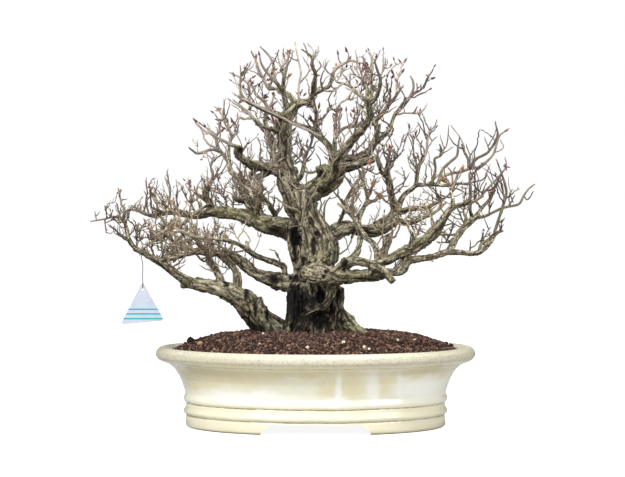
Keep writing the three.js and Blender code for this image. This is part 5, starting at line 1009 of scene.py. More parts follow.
def sweep(
    name: str, paths: Array, radii: Array, sides: int, lump: float = 0.0, tint: Array | None = None
) -> Piece:
    """Make one mesh of closed tubes along several paths, with the attributes that the bark reads.

    Args:
        name: Name of the piece.
        paths: Places in millimetres, as paths by rings by three.
        radii: Radii in millimetres, as paths by rings.
        sides: Corners of each ring.
        lump: How far the radius swells and shrinks, as a share.
        tint: One number between 0 and 1 for each path.

    Returns:
        The new object, in metres.
    """
    count, rings, _ = paths.shape
    template = unit_tube(sides, rings)
    corners = np.array([vert.co[:] for vert in template.verts])
    many(template, count)
    piece = to_object(template, name)
    ring = np.rint(corners[:, 2]).astype(int)
    angle = np.arctan2(corners[:, 1], corners[:, 0])
    _, normals, side = across_frames(paths)
    steps = np.linalg.norm(np.diff(paths, axis=1), axis=2)
    run = np.concatenate([np.zeros((count, 1)), np.cumsum(steps, axis=1)], axis=1)
    start = 37.0 * np.arange(count)[:, None]
    rounds = [1.2 * np.broadcast_to(turn, (count, len(angle))) for turn in (np.cos(angle), np.sin(angle))]
    swell = lattice_noise(np.stack([run[:, ring] / 9 + start, *rounds], axis=2).reshape(-1, 3))
    width = radii[:, ring] * (1 + lump * swell.reshape(count, -1))
    across, along = width * np.cos(angle), width * np.sin(angle)
    places = paths[:, ring] + across[..., None] * normals[:, ring] + along[..., None] * side[:, ring]
    set_places(piece.data, places.reshape(-1, 3) * MM)
    grain = np.stack([across, along, run[:, ring] + start], axis=2)
    set_attribute(piece.data, "grain", grain.reshape(-1, 3))
    set_attribute(piece.data, "thick", width.reshape(-1))
    tints = np.full(count, 0.5) if tint is None else tint
    set_attribute(piece.data, "tint", np.repeat(tints, len(corners)))
    return piece


def dress(piece: Piece, material: Material) -> None:
    """Give a piece its one material."""
    piece.data.materials.clear()
    piece.data.materials.append(material)


def finished(piece: Piece, material: Material, slot: Slot, *nodes: str) -> Piece:
    """Dress a piece, let it ride on the body and hide the solids that it stands for.

    Args:
        piece: The piece, in place.
        material: Its material.
        slot: The record's slot that the material belongs to; not used.
        nodes: Names of the solids that it replaces.

    Returns:
        The same piece.
    """
    dress(piece, material)
    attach(piece, "root")
    if nodes:
        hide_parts(*nodes)
    log.info("%s: %d faces", piece.name, len(piece.data.polygons) if piece.type == "MESH" else 0)
    return piece


@dataclass
class Wood:
    """The trunk, the stems and the thick part of every limb, grown together under one weathered bark."""

    skeleton: Skeleton
    voxel: float = 1.55
    thinnest: float = 3.1
    ring_step: float = 3.0
    cut_at: Pair = (-52.0, 46.0)
    hollow_depth: float = -14.0
    front_to: float = 14.0
    block: int = 8000
    # Depths of the relief in millimetres by the radius of the limb
    fold_depths: Steps = ((3, 0.4), (6, 1.0), (12, 1.8), (25, 2.8), (45, 4.0))
    valley_depths: Steps = ((3.5, 0.0), (6, 1.4), (12, 4.0), (25, 6.0))
    knob_depths: Steps = ((3, 0.6), (8, 1.6), (25, 2.6))
    grit_depths: Steps = ((3, 0.35), (10, 0.7))
    swell_depths: Steps = ((4, 0.0), (12, 2.0), (25, 3.4))
    # How far along a limb its valleys turn by one radian, by the girth of the limb
    valley_turns: Steps = ((5, 38), (25, 90))
    # Where the foot is damp and in painted shade: heights and places across, each from none to full
    damp_shade_high: Pair = (216.0, 190.0)
    damp_shade_right: Pair = (56.0, 38.0)
    damp_shade_left: Pair = (-68.0, -46.0)
    dark_foot_high: Pair = (212.0, 162.0)
    moss_foot_high: Pair = (154.0, 144.0)
    moss_thick: Pair = (2.8, 5.8)
    stations: list[tuple[Array, ...]] = field(default_factory=list)

    def build(self, bark: Material) -> list[Piece]:
        """Grow the wood, carve its bark and cut it in three closed pieces.

        Args:
            bark: Material of the old wood.

        Returns:
            The pieces.
        """
        parts = bmesh.new()
        for i, member in enumerate(self.skeleton.members.values()):
            self._add_tube(parts, i, member)
        whole = self._grown_together(parts)
        self._carve(whole)
        return [finished(piece, bark, Slot.BARK, "tree") for piece in self._cut(whole)]

    def thick_share(self, member: Member) -> float:
        """Return the share of a member, from its root, that is thick enough to be part of this wood.

        Args:
            member: A stem or limb.

        Returns:
            The share, or nought where all of it is thin.
        """
        shares = np.linspace(0, 1, 120)
        thick = np.nonzero(member.radius(shares) >= self.thinnest)[0]
        return float(shares[thick[-1]]) if len(thick) else 0.0

    def _add_tube(self, parts: BMesh, i: int, member: Member) -> None:
        """Add the closed tube of one member's thick part, and note its stations.

        Args:
            parts: Where the tube goes.
            i: Number of the member.
            member: The stem or limb.
        """
        share = self.thick_share(member)
        if share <= 0:
            return
        rings = max(4, int(member.length * share / self.ring_step))
        shares = np.linspace(0, share, rings)
        path = member.at(shares)
        radii = slimmed(member.radius(shares))
        tangents, normals, sides = (frame[0] for frame in across_frames(path[None]))
        tube = unit_tube(20 if radii.max() > 10 else 12, rings)
        lump = 0.09 if max(member.radii) > 6 else 0.04
        for vert in tube.verts:
            ring = round(vert.co.z)
            angle = math.atan2(vert.co.y, vert.co.x)
            start = 1.3 * i
            wave = math.sin(3 * angle + (11 * shares[ring] + start))
            wave += 0.6 * math.sin(2 * angle - 17 * shares[ring] + start)
            radius = radii[ring] * (1 + lump * wave)
            turn = math.cos(angle) * normals[ring] + math.sin(angle) * sides[ring]
            vert.co = Vector(path[ring] + radius * turn) * MM
        mesh = bpy.data.meshes.new("part")
        tube.to_mesh(mesh)
        tube.free()
        parts.from_mesh(mesh)
        bpy.data.meshes.remove(mesh)
        steps = np.linalg.norm(np.diff(path, axis=0), axis=1)
        run = np.concatenate([[0], np.cumsum(steps)]) + 17.0 * i
        self.stations.append((path, tangents, normals, sides, radii, run, np.full(rings, np.median(radii))))

    def _grown_together(self, parts: BMesh) -> Mesh:
        """Remesh all tubes to one skin and smooth it.

        Args:
            parts: All the tubes.

        Returns:
            The skin.
        """
        loose = to_object(parts, "wood_parts")
        remesh = loose.modifiers.new("skin", "REMESH")
        remesh.mode = "VOXEL"
        remesh.voxel_size = self.voxel * MM
        smooth = loose.modifiers.new("smooth", "SMOOTH")
        smooth.factor = 0.5
        smooth.iterations = 3
        graph = bpy.context.evaluated_depsgraph_get()
        whole = bpy.data.meshes.new_from_object(loose.evaluated_get(graph))
        bpy.data.objects.remove(loose)
        return whole

    def _nearest_stations(self, places: Array) -> list[Array]:
        """Find the stations whose tubes the skin lies on.

        Args:
            places: The skin in millimetres.

        Returns:
            For each place the station's point, direction, normal, side, radius, run and girth.
        """
        parts = [np.concatenate(column) for column in zip(*self.stations)]
        centres, radii = parts[0].astype(np.float32), parts[4].astype(np.float32)
        squares = (centres**2).sum(1)
        best = np.empty(len(places), int)
        for start in range(0, len(places), self.block):
            block = places[start : start + self.block].astype(np.float32)
            apart = (block**2).sum(1)[:, None] + squares - 2 * block @ centres.T
            best[start : start + self.block] = (np.sqrt(np.maximum(apart, 0)) - radii).argmin(1)
        return [part[best] for part in parts]

    def _carve(self, whole: Mesh) -> None:
        """Move the skin to the relief of old bark, and store what its material reads.

        Args:
            whole: The smooth skin, which is changed.
        """
        places = places_of(whole) / MM
        out = normals_of(whole)
        point, tangent, normal, side, radius, start, girth = self._nearest_stations(places)
        offset = places - point
        across, along = (offset * normal).sum(1), (offset * side).sum(1)
        grain = np.stack([across, along, start + (offset * tangent).sum(1)], axis=1)
        swells = lattice_noise(places / 34, 22)
        groove, fine, crest, valley = self._folds(grain, girth, swells)
        relief = (0.5 * crest - 0.8 * groove - 0.4 * fine) * stepped(radius, self.fold_depths)
        relief -= valley * stepped(radius, self.valley_depths)
        relief += layered_noise(grain / (8.0, 8.0, 22.0), 2, 21) * stepped(radius, self.knob_depths)
        relief += layered_noise(places / 4.2, 2, 61) * stepped(radius, self.grit_depths)
        relief += swells * stepped(radius, self.swell_depths)
        damp_and_shade = self._foot_damp_and_shade(places, crest)
        shade, push = self._hollows(places, out)
        moved = places + out * relief[:, None]
        moved[:, 1] += push
        set_places(whole, moved * MM)
        # Of what is stored, shade, groove, the foot's darkening and facing let the bark paint shade: in the
        # hollows, in the grooves, on the foot and in shaded patches, and on the undersides.
        stored = {
            "grain": grain,
            "thick": radius,
            "tint": 0.5 + 0.5 * lattice_noise(places / 26, 31),
            "groove": np.clip(groove + 0.3 * fine + 1.2 * valley, 0, 1),
            "shade": shade,
            "damp_and_shade": self._darkened(places, damp_and_shade),
            "moss": self._moss(places, out, radius, damp_and_shade),
            "crest": crest,
            "facing": out[:, 2],
        }
        for name, values in stored.items():
            set_attribute(whole, name, values)

    def _folds(self, grain: Array, girth: Array, swells: Array) -> tuple[Array, Array, Array, Array]:
        """Work out the folds of old bark, drawn out along the limbs.

        Args:
            grain: Places across, along the side and along the limb, in millimetres.
            girth: The limb's median radius.
            swells: Broad noise that makes the valleys come and go.

        Returns:
            The wide grooves, the fine ones, the crests between them and the valleys, each from 0 to 1.
        """
        drawn = grain / (11.0, 11.0, 38.0)
        warp = np.stack([layered_noise(drawn, 2, seed) for seed in (3, 4, 5)], axis=1)
        wide = np.clip(girth / 3.4, 1.4, 4.6)
        bent = grain / np.stack([wide, wide, 5.5 * wide], axis=1) + 0.8 * warp
        first = np.abs(lattice_noise(bent, 11))
        second = np.abs(lattice_noise(bent[:, [1, 0, 2]] * 1.83 + 3.1, 12))
        groove = np.clip(1 - first / 0.3, 0, 1) ** 1.3
        fine = np.clip(1 - second / 0.36, 0, 1)
        crest = np.clip((first + 0.5 * second - 0.45) / 0.4, 0, 1)
        angle = np.arctan2(grain[:, 1], grain[:, 0]) + grain[:, 2] / stepped(girth, self.valley_turns)
        angle += 1.2 * warp[:, 0]
        valley = 1 - np.abs(np.sin(1.5 * angle + 0.9 * lattice_noise(drawn / 2, 23)))
        valley = rising(valley, 0.55, 1.0) ** 1.5 * np.clip(0.9 + 1.2 * swells, 0.1, 1)
        return groove, fine, crest, valley

    def _foot_damp_and_shade(self, places: Array, crest: Array) -> Array:
        """Return how dark the foot of the trunk is, partly damp and partly painted shade, less on its crests.
        """
        damp_and_shade = rising(places[:, 2], *self.damp_shade_high) * (1 - 0.4 * crest)
        return damp_and_shade * rising(places[:, 0], *self.damp_shade_right) * rising(places[:, 0], *self.damp_shade_left)

    def _darkened(self, places: Array, damp_and_shade: Array) -> Array:
        """Add the dark left side of the foot and the patches of painted shade to the foot's damp and painted
        shade.

        Args:
            places: The skin in millimetres.
            damp_and_shade: How damp each place is, with the painted shade of the foot.

        Returns:
            How dark each place is.
        """
        dark_foot = rising(places[:, 2], *self.dark_foot_high) * (places[:, 0] < 0)
        damp_and_shade = np.maximum(damp_and_shade, 0.4 * dark_foot)
        # Painted shade: dark patches at crotches and under limbs.
        for *patch, strength in PAINTED_SHADE_PATCHES:
            damp_and_shade = np.maximum(damp_and_shade, strength * np.clip(1.8 - 1.5 * away_from(places, *patch), 0, 1))
        return damp_and_shade

    def _moss(self, places: Array, out: Array, radius: Array, damp_and_shade: Array) -> Array:
        """Return how mossy the wood is: on its upper sides, at the very foot and in the mossy stretches.

        Args:
            places: The skin in millimetres.
            out: Its normals.
            radius: Radius of the limb at each place.
            damp_and_shade: How damp each place is, with the painted shade of the foot and patches.

        Returns:
            The moss, from 0 to 1.
        """
        moss = -0.05 + 0.3 * out[:, 2] + 0.45 * layered_noise(places / 30, 2, 51) - 0.5 * damp_and_shade
        moss += 0.8 * rising(places[:, 2], *self.moss_foot_high)
        for *patch, strength in MOSSY:
            moss += strength * np.clip(1.4 - away_from(places, *patch), 0, 1) * (0.6 + 0.4 * out[:, 2])
        return np.clip(moss * rising(radius, *self.moss_thick), 0, 1)

    def _hollows(self, places: Array, out: Array) -> tuple[Array, Array]:
        """Work out the painted shade of the hollows and pits, the dark of the scars, and how they push the
        wood's front back.

        Args:
            places: The skin in millimetres.
            out: Its normals.

        Returns:
            The painted shade and the push for each place.
        """
        shade, push = np.zeros(len(places)), np.zeros(len(places))
        facing = np.clip(0.35 - out[:, 1], 0, 1) * (places[:, 1] < self.front_to)
        rough = 0.3 * layered_noise(places / (4.0, 4.0, 11.0), 2, 41) + 0.3 * lattice_noise(places / 16, 42)
        for across, high, half_wide, half_high, deep in HOLLOWS:
            across, _, high = placed(across, high, self.hollow_depth)
            away = away_from(places, across, high, half_wide, half_high) + rough
            inside = np.clip(1.15 - away, 0, 1) * np.clip(2.2 * facing, 0, 1)
            shade = np.maximum(shade, np.clip(2.2 * inside, 0, 1))
            push = np.maximum(push, deep * np.clip(1.5 * inside, 0, 1) ** 0.8)
        return shade, push

    def _cut(self, whole: Mesh) -> list[Piece]:
        """Cut the wood across its limbs in three pieces and close each, with sharp edges at the cuts.

        Args:
            whole: The carved skin, which is removed.

        Returns:
            The pieces from left to right.
        """
        low, high = (side * MM for side in self.cut_at)
        cuts = {
            "wood_left": [(low, 1)],
            "wood_middle": [(low, -1), (high, 1)],
            "wood_right": [(high, -1)],
        }
        pieces = []
        for name, planes in cuts.items():
            bm = bmesh.new()
            bm.from_mesh(whole)
            for x, way in planes:
                geom = bm.verts[:] + bm.edges[:] + bm.faces[:]
                cut = bmesh.ops.bisect_plane(
                    bm, geom=geom, plane_co=(x, 0, 0), plane_no=(way, 0, 0), clear_outer=True
                )["geom_cut"]
                edges = only(bmesh.types.BMEdge, cut)
                bmesh.ops.holes_fill(bm, edges=edges, sides=0)
                for edge in edges:
                    edge.smooth = False
            pieces.append(to_object(bm, name))
        bpy.data.meshes.remove(whole)
        return pieces


def paths_of(members: list[Member], rings: int, start: float = 0.0) -> tuple[Array, Array]:
    """Sample several members at evenly spread rings.

    Args:
        members: The members.
        rings: Rings for each.
        start: Share of the path where the first ring lies.

    Returns:
        Their places, as members by rings by three, and their radii.
    """
    shares = np.linspace(start, 1, rings)
    return np.array([m.at(shares) for m in members]), np.array([m.radius(shares) for m in members])


@dataclass
class Twigs:
    """Everything thinner than the old wood: limb tips, shoots, sprays, side twigs, spurs and their buds."""

    skeleton: Skeleton
    wood: Wood
    seed: int = 41
    # Limb tips start a little inside the old wood.
    tip_overlap: float = 7.0
    shortest_tip: float = 9.0
    tip_ring_step: float = 3.2
    thickest_budded: float = 2.8
    crooked: float = 0.5
    # Side twigs and spurs: mean distance, shortest and longest, root radius, thickest carrier
    side_twigs: tuple[float, Pair, float, float] = (22.0, (16.0, 44.0), 1.75, 6.5)
    spurs: tuple[float, Pair, float, float] = (19.0, (4.0, 12.0), 1.25, 4.0)
    tip_depths: Pair = (-158.0, 160.0)
    # Across from and to, and the height below which the trunk's heart bears no side twigs
    heart: tuple[float, float, float] = (-60.0, 70.0, 300.0)
    # How densely twigs stand as the front sees it: across, height, half width, half height, fullness
    zones: tuple[Patch, ...] = (
        (-250, 320, 90, 52, 1.5),
        (-165, 245, 85, 48, 1.6),
        (-105, 332, 70, 42, 2.3),
        (-23, 415, 50, 60, 1.1),
        (97, 415, 78, 60, 0.9),
        (105, 338, 70, 34, 1.2),
        (180, 312, 45, 44, 0.9),
        (247, 405, 76, 50, 0.15),
        (0, 530, 180, 56, 0.5),
        (-84, 270, 38, 32, 0.08),
        (86, 272, 46, 36, 0.1),
    )
    elsewhere: float = 0.5
    # Dense patches as the front sees them: across, height, half width, half height, number of twigs
    thickets: tuple[Patch, ...] = (
        (-228, 286, 62, 34, 80),
        (-168, 276, 44, 22, 30),
        (-110, 318, 50, 34, 22),
        (-20, 392, 56, 44, 14),
        (185, 305, 60, 40, 8),
        (152, 320, 44, 32, 16),
        (205, 378, 50, 24, 8),
        (70, 400, 44, 40, 14),
        (-85, 500, 44, 40, 6),
    )
    thicket_depths: Pair = (-45.0, 70.0)
    thicket_reach: Pair = (12.0, 62.0)
    thicket_roots: Pair = (1.5, 2.2)
    thickest_bearer: float = 9.0
    rosette_scales: int = 8
    bud_length: Pair = (3.6, 7.0)
    bud_width: float = 0.21
    crown_from: float = 440.0
    # Share of the tips with a bud and its size, in the crown and below it
    crown_buds: Pair = (0.24, 1.35)
    low_buds: Pair = (0.1, 0.8)
    paired_buds: float = 0.3
    paired_size: float = 0.62
    tips: list[tuple[Array, Array]] = field(default_factory=list)

    def build(self, young: Material, bud: Material) -> None:
        """Grow the twigs from the thickest to the thinnest, then their buds.

        Args:
            young: Material of young bark.
            bud: Material of the buds.
        """
        self.rng = np.random.default_rng(self.seed)
        self._limb_tips(young)
        shoots, sprays = self.skeleton.shoots, self.skeleton.sprays
        self._grown("shoots", shoots, 12, 7, young)
        self._grown("sprays", sprays, 9, 6, young)
        self._grown("front_twigs", self.skeleton.front_twigs, 12, 6, young)
        carriers = list(self.skeleton.members.values()) + shoots + sprays
        twigs = self._side_twigs(carriers, *self.side_twigs)
        self._grown("twigs", twigs, 8, 5, young)
        thicket = self._thicket_twigs(carriers)
        self._grown("thicket", thicket, 12, 6, young)
        spurs = self._side_twigs(shoots + sprays + twigs + thicket, *self.spurs)
        self._grown("spurs", spurs, 4, 4, young)
        log.info("%d twigs, %d in thickets and %d spurs", len(twigs), len(thicket), len(spurs))
        self._buds(bud)
        self._rosettes(carriers + twigs, bud)

    def _limb_tips(self, young: Material) -> None:
        """Sweep the thin outer part of every limb, from a little inside the old wood.

        Args:
            young: Material of young bark.
        """
        for name, member in list(self.skeleton.members.items())[self.skeleton.stems :]:
            start = max(0.0, self.wood.thick_share(member) - self.tip_overlap / member.length)
            run = member.length * (1 - start)
            if run < self.shortest_tip:
                continue
            rings = max(6, int(run / self.tip_ring_step))
            paths, radii = paths_of([member], rings, start)
            radii = slimmed(radii) * np.linspace(0.96, 1.0, rings)
            tint = self.rng.uniform(0.2, 0.8, 1)
            finished(sweep(f"limb_{name}", paths, radii, 9, 0.2, tint), young, Slot.BARK, "tree")
            if member.radii[-1] < self.thickest_budded:
                self._note_tip(member)

    def _note_tip(self, member: Member) -> None:
        """Remember a member's tip as a place for a bud."""
        self.tips.append((member.at(1.0)[0], member.direction(1.0)[0]))

    def _grown(self, name: str, members: list[Member], rings: int, sides: int, young: Material) -> None:
        """Sweep many members as one piece, a little crooked and with swollen nodes, and note their tips.

        Args:
            name: Name of the piece.
            members: The members to sweep.
            rings: Rings of each.
            sides: Corners of a ring.
            young: Material of young bark.
        """
        paths, radii = paths_of(members, rings)
        radii = slimmed(radii)
        spacing = np.linalg.norm(paths[:, -1] - paths[:, 0], axis=1)[:, None, None] / (rings - 1)
        bends = self.crooked * np.minimum(0.22 * spacing, 1.1)
        bent = paths + self.rng.normal(0, 1, paths.shape) * bends * (np.arange(rings) > 0)[None, :, None]
        swelling = 1 + 0.3 * self.rng.uniform(-0.5, 1, radii.shape) * (np.arange(rings) % 3 == 1)
        swelling[:, -1] *= 0.45
        tints = self.rng.uniform(0, 1, len(members))
        finished(sweep(name, bent, radii * swelling, sides, 0.22, tints), young, Slot.BARK, "tree")
        for member in members:
            self._note_tip(member)

    def _side_twigs(
        self, carriers: list[Member], step: float, reach: Pair, thickest: float, fattest: float
    ) -> list[Member]:
        """Grow side twigs from the thinner stretches of their carriers.

        Args:
            carriers: Members that bear the twigs.
            step: Mean distance between two twigs, in millimetres.
            reach: Shortest and longest twig.
            thickest: Radius of a twig at its root.
            fattest: Radius of a carrier beyond which it bears none.

        Returns:
            The twigs that stay inside the canopy.
        """
        grown = []
        fullest = max(zone[4] for zone in self.zones)
        for carrier in carriers:
            count = self.rng.poisson(carrier.length / step * fullest)
            for t in self.rng.uniform(0.12, 0.97, count):
                radius = float(carrier.radius(t))
                share = self._fullness(carrier.at(float(t))[0]) / fullest
                if radius > fattest or self.rng.random() > share:
                    continue
                twig = self._side_twig(carrier, float(t), radius, reach, thickest)
                if twig is not None:
                    grown.append(twig)
        return grown

    def _fullness(self, place: Array) -> float:
        """Return how densely twigs stand at a place: that of the last zone that holds it.

        Args:
            place: The place in millimetres.

        Returns:
            Its fullness.
        """
        found = self.elsewhere
        for across, high, half_wide, half_high, fullness in self.zones:
            if abs(place[0] - across) < half_wide and abs(place[2] - high) < half_high:
                found = fullness
        return found

    def _side_twig(
        self, carrier: Member, t: float, radius: float, reach: Pair, thickest: float
    ) -> Member | None:
        """Grow one side twig, or none where it would leave the canopy.

        Args:
            carrier: What it grows on.
            t: Share of the carrier where it starts.
            radius: Radius of the carrier there.
            reach: Shortest and longest twig.
            thickest: Most radius at its root.

        Returns:
            The twig or none.
        """
        start = carrier.at(t)[0]
        left, right, top = self.heart
        if start[2] < CANOPY_LOW + 12 or (left < start[0] < right and start[2] < top):
            return None
        tangent = carrier.direction(t)[0]
        out = self.rng.normal(size=3)
        out = unit(out - (out @ tangent) * tangent)
        out = unit(out * (1.0, 1.2, 1.0) + 0.55 * UP + self.rng.uniform(0.1, 0.8) * tangent)
        length = self.rng.uniform(*reach) * (1 - 0.25 * t)
        root = min(thickest, 0.75 * radius + 0.15)
        bend = self.rng.normal(0, 0.16, (4, 3)) * length
        shares = np.array([0.0, 0.3, 0.62, 1.0])
        points = start + np.outer(shares * length + 0.4 * radius, out)
        points[0] = start
        points += bend * (shares * (1.2 - shares))[:, None] + np.outer(0.2 * length * shares**2, UP)
        tip = points[-1]
        front, back = self.tip_depths
        if not (front < tip[1] < back and CANOPY_LOW < tip[2] < CANOPY_TOP):
            return None
        if not inside_canopy(tip) or not clear_of_tag(tip):
            return None
        return Member(points, root * (1 - 0.4 * shares))

    def _thicket_twigs(self, carriers: list[Member]) -> list[Member]:
        """Fill the dense patches: from the nearest limb, a bent twig reaches up to a random place.

        Args:
            carriers: Members that may bear the twigs.

        Returns:
            The twigs.
        """
        shares = np.linspace(0.15, 0.95, 9)
        starts = np.vstack([carrier.at(shares) for carrier in carriers])
        thick = np.concatenate([carrier.radius(shares) for carrier in carriers])
        thin = thick < self.thickest_bearer
        starts, thick = starts[thin], thick[thin]
        shortest, longest = self.thicket_reach
        grown = []
        for across, high, half_wide, half_high, count in self.thickets:
            for _ in range(count):
                angle, away = self.rng.uniform(0, 2 * np.pi), np.sqrt(self.rng.random())
                seen = (across + half_wide * away * np.cos(angle), high + half_high * away * np.sin(angle))
                target = placed(*seen, self.rng.uniform(*self.thicket_depths))
                if not inside_canopy(target) or not clear_of_tag(target):
                    continue
                # A limb that lies above its target counts as farther off, so that the twigs rise.
                above = np.maximum(starts[:, 2] - target[2] + 6, 0)
                near = (np.linalg.norm(starts - target, axis=1) + 1.3 * above).argmin()
                start = starts[near]
                reach = np.linalg.norm(start - target)
                if not shortest < reach < longest:
                    continue
                bend = self.rng.normal(0, 0.13 * reach, (2, 3)) + (0, 0, -0.1 * reach)
                low = 0.65 * start + 0.35 * target + bend[0]
                far = 0.3 * start + 0.7 * target + bend[1]
                root = min(self.rng.uniform(*self.thicket_roots), 0.8 * thick[near] + 0.2)
                grown.append(Member(np.array([start, low, far, target]), shoot_radii(root, 4)))
        return grown

    def _rosettes(self, bearers: list[Member], bud: Material) -> None:
        """Set rosettes of old bud scales on the twigs nearest to where the front shows them.

        Args:
            bearers: Members and twigs that may bear one.
            bud: Material of the buds.
        """
        shares = np.linspace(0.1, 1.0, 13)
        thin = [bearer for bearer in bearers if bearer.radii[0] < self.thickest_bearer]
        places = np.vstack([bearer.at(shares) for bearer in thin])
        scale = VIEW_DISTANCE / (VIEW_DISTANCE + places[:, 1])
        seen = np.stack([places[:, 0] * scale, VIEW_HEIGHT + (places[:, 2] - VIEW_HEIGHT) * scale], axis=1)
        paths, radii, tint = [], [], []
        for across, high, tone, spread in ROSETTES:
            apart = np.linalg.norm(seen - (across, high), axis=1) + 0.03 * places[:, 1]
            place = places[apart.argmin()]
            for _ in range(self.rosette_scales):
                way = unit(self.rng.normal(size=3) + 0.5 * UP)
                length = spread * self.rng.uniform(0.6, 1.0)
                foot = place + 0.2 * spread * self.rng.normal(size=3)
                paths.append(foot + np.outer([0.0, 0.35, 0.7, 1.0], length * way))
                radii.append(length * np.array([0.12, 0.22, 0.16, 0.04]))
                tint.append(tone + self.rng.uniform(-0.14, 0.14))
        tint = np.clip(tint, 0, 1)
        finished(sweep("rosettes", np.array(paths), np.array(radii), 5, 0.0, tint), bud, Slot.BARK, "tree")

    def _buds(self, bud: Material) -> None:
        """Set a pointed bud on some of the tips, most in the crown, and a pair of small ones below a few.

        Args:
            bud: Material of the buds.
        """
        places, ways, sizes = [], [], []
        for tip, way in self.tips:
            share, scale = self.crown_buds if tip[2] > self.crown_from else self.low_buds
            if self.rng.random() > share:
                continue
            size = self.rng.uniform(*self.bud_length) * scale
            end = tip + size * way
            if abs(end[0]) > CANOPY_X + 4 or end[2] > CANOPY_TOP + 16:
                continue
            places.append(tip)
            ways.append(unit(way + self.rng.normal(0, 0.15, 3)))
            sizes.append(size)
            if self.rng.random() < self.paired_buds:
                for turn in (-1, 1):
                    places.append(tip - 1.5 * way)
                    ways.append(unit(np.cross(way, (0.3, 1.0, 0.2)) * turn + 0.7 * way))
                    sizes.append(self.paired_size * self.rng.uniform(*self.bud_length))
        size = np.array(sizes)[:, None]
        shape = np.array([[-0.18, 0.45], [0.16, 1.0], [0.48, 0.92], [0.8, 0.45], [1.0, 0.08]])
        paths = np.array(places)[:, None] + (size * shape[:, 0])[..., None] * np.array(ways)[:, None]
        radii = size * self.bud_width * shape[:, 1]
        tint = np.clip(self.rng.normal(0.36, 0.26, len(places)), 0, 1)
        finished(sweep("buds", paths, radii, 5, 0.0, tint), bud, Slot.BARK, "tree")
        log.info("%d buds", len(places))


@dataclass
class Soil:
    """The bed of baked clay grains. The solid mound stays, and loose grains cover it."""

    rng_seed: int = 7
    spacing: float = 3.2
    half_long: float = 211.5
    half_deep: float = 161.5
    lowest: float = 108.0
    grain_sizes: Pair = (1.1, 2.5)
    batches: int = 2
    jag: float = 0.3
    shake: float = 1.5
    row_share: float = 0.87
    edge_share: float = 0.995
    plain_tints: float = 0.993
    above: float = 0.2
    # Large grains that stand out: across, back, radius and tint
    lumps: tuple[Quad, ...] = (
        (-186, -14, 5.6, 0.02),
        (-178, -22, 4.0, 0.3),
        (203, -6, 5.0, 0.04),
        (196, 8, 4.2, 0.3),
        (140, 40, 4.2, 0.02),
        (-171, -52, 4.6, 0.987),
        (-77, -62, 3.4, 0.998),
        (70, -128, 3.2, 0.996),
        (77, -132, 2.8, 0.999),
        (120, -84, 3.0, 0.996),
        (-12, -140, 2.8, 0.997),
        (146, -60, 3.2, 0.995),
        (40, -118, 3.0, 0.999),
    )

    def build(self, bed: Material, grains: Material) -> None:
        """Dress the solid mound and scatter the grains on it.

        Args:
            bed: Material of the mound below.
            grains: Material of the grains.
        """
        mound = FRAME["nodes"]["soil"]
        dress(mound, bed)
        spots = self._spots(mound)
        for i, part in enumerate(np.array_split(spots, self.batches)):
            self._grains(f"grains_{i + 1}", part, grains)
        log.info("%d grains", len(spots))

    def _spots(self, mound: Piece) -> Array:
        """Drop grains on the mound: on a shaken grid, then the lumps.

        Args:
            mound: The solid mound.

        Returns:
            For each grain its place, its radius and its tint.
        """
        rng = np.random.default_rng(self.rng_seed)
        corners = [vert.co[:] for vert in mound.data.vertices]
        tree = BVHTree.FromPolygons(corners, [face.vertices[:] for face in mound.data.polygons])
        spots = []
        for k, y in enumerate(np.arange(-self.half_deep, self.half_deep, self.row_share * self.spacing)):
            for x in np.arange(-self.half_long, self.half_long, self.spacing) + self.spacing * (k % 2) / 2:
                ax, ay = x + rng.uniform(-self.shake, self.shake), y + rng.uniform(-self.shake, self.shake)
                if math.hypot(ax / self.half_long, ay / self.half_deep) > self.edge_share:
                    continue
                high = self._height(tree, ax, ay)
                if high > self.lowest:
                    size = rng.uniform(*self.grain_sizes)
                    spots.append((ax, ay, high, size, self.plain_tints * rng.random()))
        for x, y, size, tint in self.lumps:
            spots.append((x, y, self._height(tree, x, y) + 0.3 * size, size, tint))
        return np.array(spots)[rng.permutation(len(spots))]

    def _height(self, tree: BVHTree, x: float, y: float) -> float:
        """Return the mound's height at a place in millimetres, or nought where there is none."""
        hit = tree.ray_cast(Vector((x * MM, y * MM, self.above)), Vector((0, 0, -1)))[0]
        return 0.0 if hit is None else hit.z / MM

    def _grains(self, name: str, spots: Array, material: Material) -> None:
        """Make one piece of many small angular grains.

        Args:
            name: Name of the piece.
            spots: Place, radius and tint of each grain.
            material: Material of the grains.
        """
        rng = np.random.default_rng(len(name) + len(spots))
        bm = bmesh.new()
        bmesh.ops.create_icosphere(bm, subdivisions=1, radius=1.0)
        shape = np.array([vert.co[:] for vert in bm.verts])
        many(bm, len(spots))
        piece = to_object(bm, name, smooth=False)
        size = spots[:, 3, None, None] * rng.uniform(0.72, 1.25, (len(spots), 1, 3))
        turns = np.linalg.qr(rng.normal(size=(len(spots), 3, 3)))[0]
        turns[:, :, 0] *= np.sign(np.linalg.det(turns))[:, None]
        jagged = shape[None] * rng.uniform(1 - self.jag, 1 + self.jag, (len(spots), len(shape), 1)) * size
        places = jagged @ turns + spots[:, None, :3]
        places[..., 2] += rng.uniform(-0.3, 1.5, (len(spots), 1))
        set_places(piece.data, places.reshape(-1, 3) * MM)
        set_attribute(piece.data, "tint", np.repeat(spots[:, 4], len(shape)))
        finished(piece, material, Slot.SOIL)


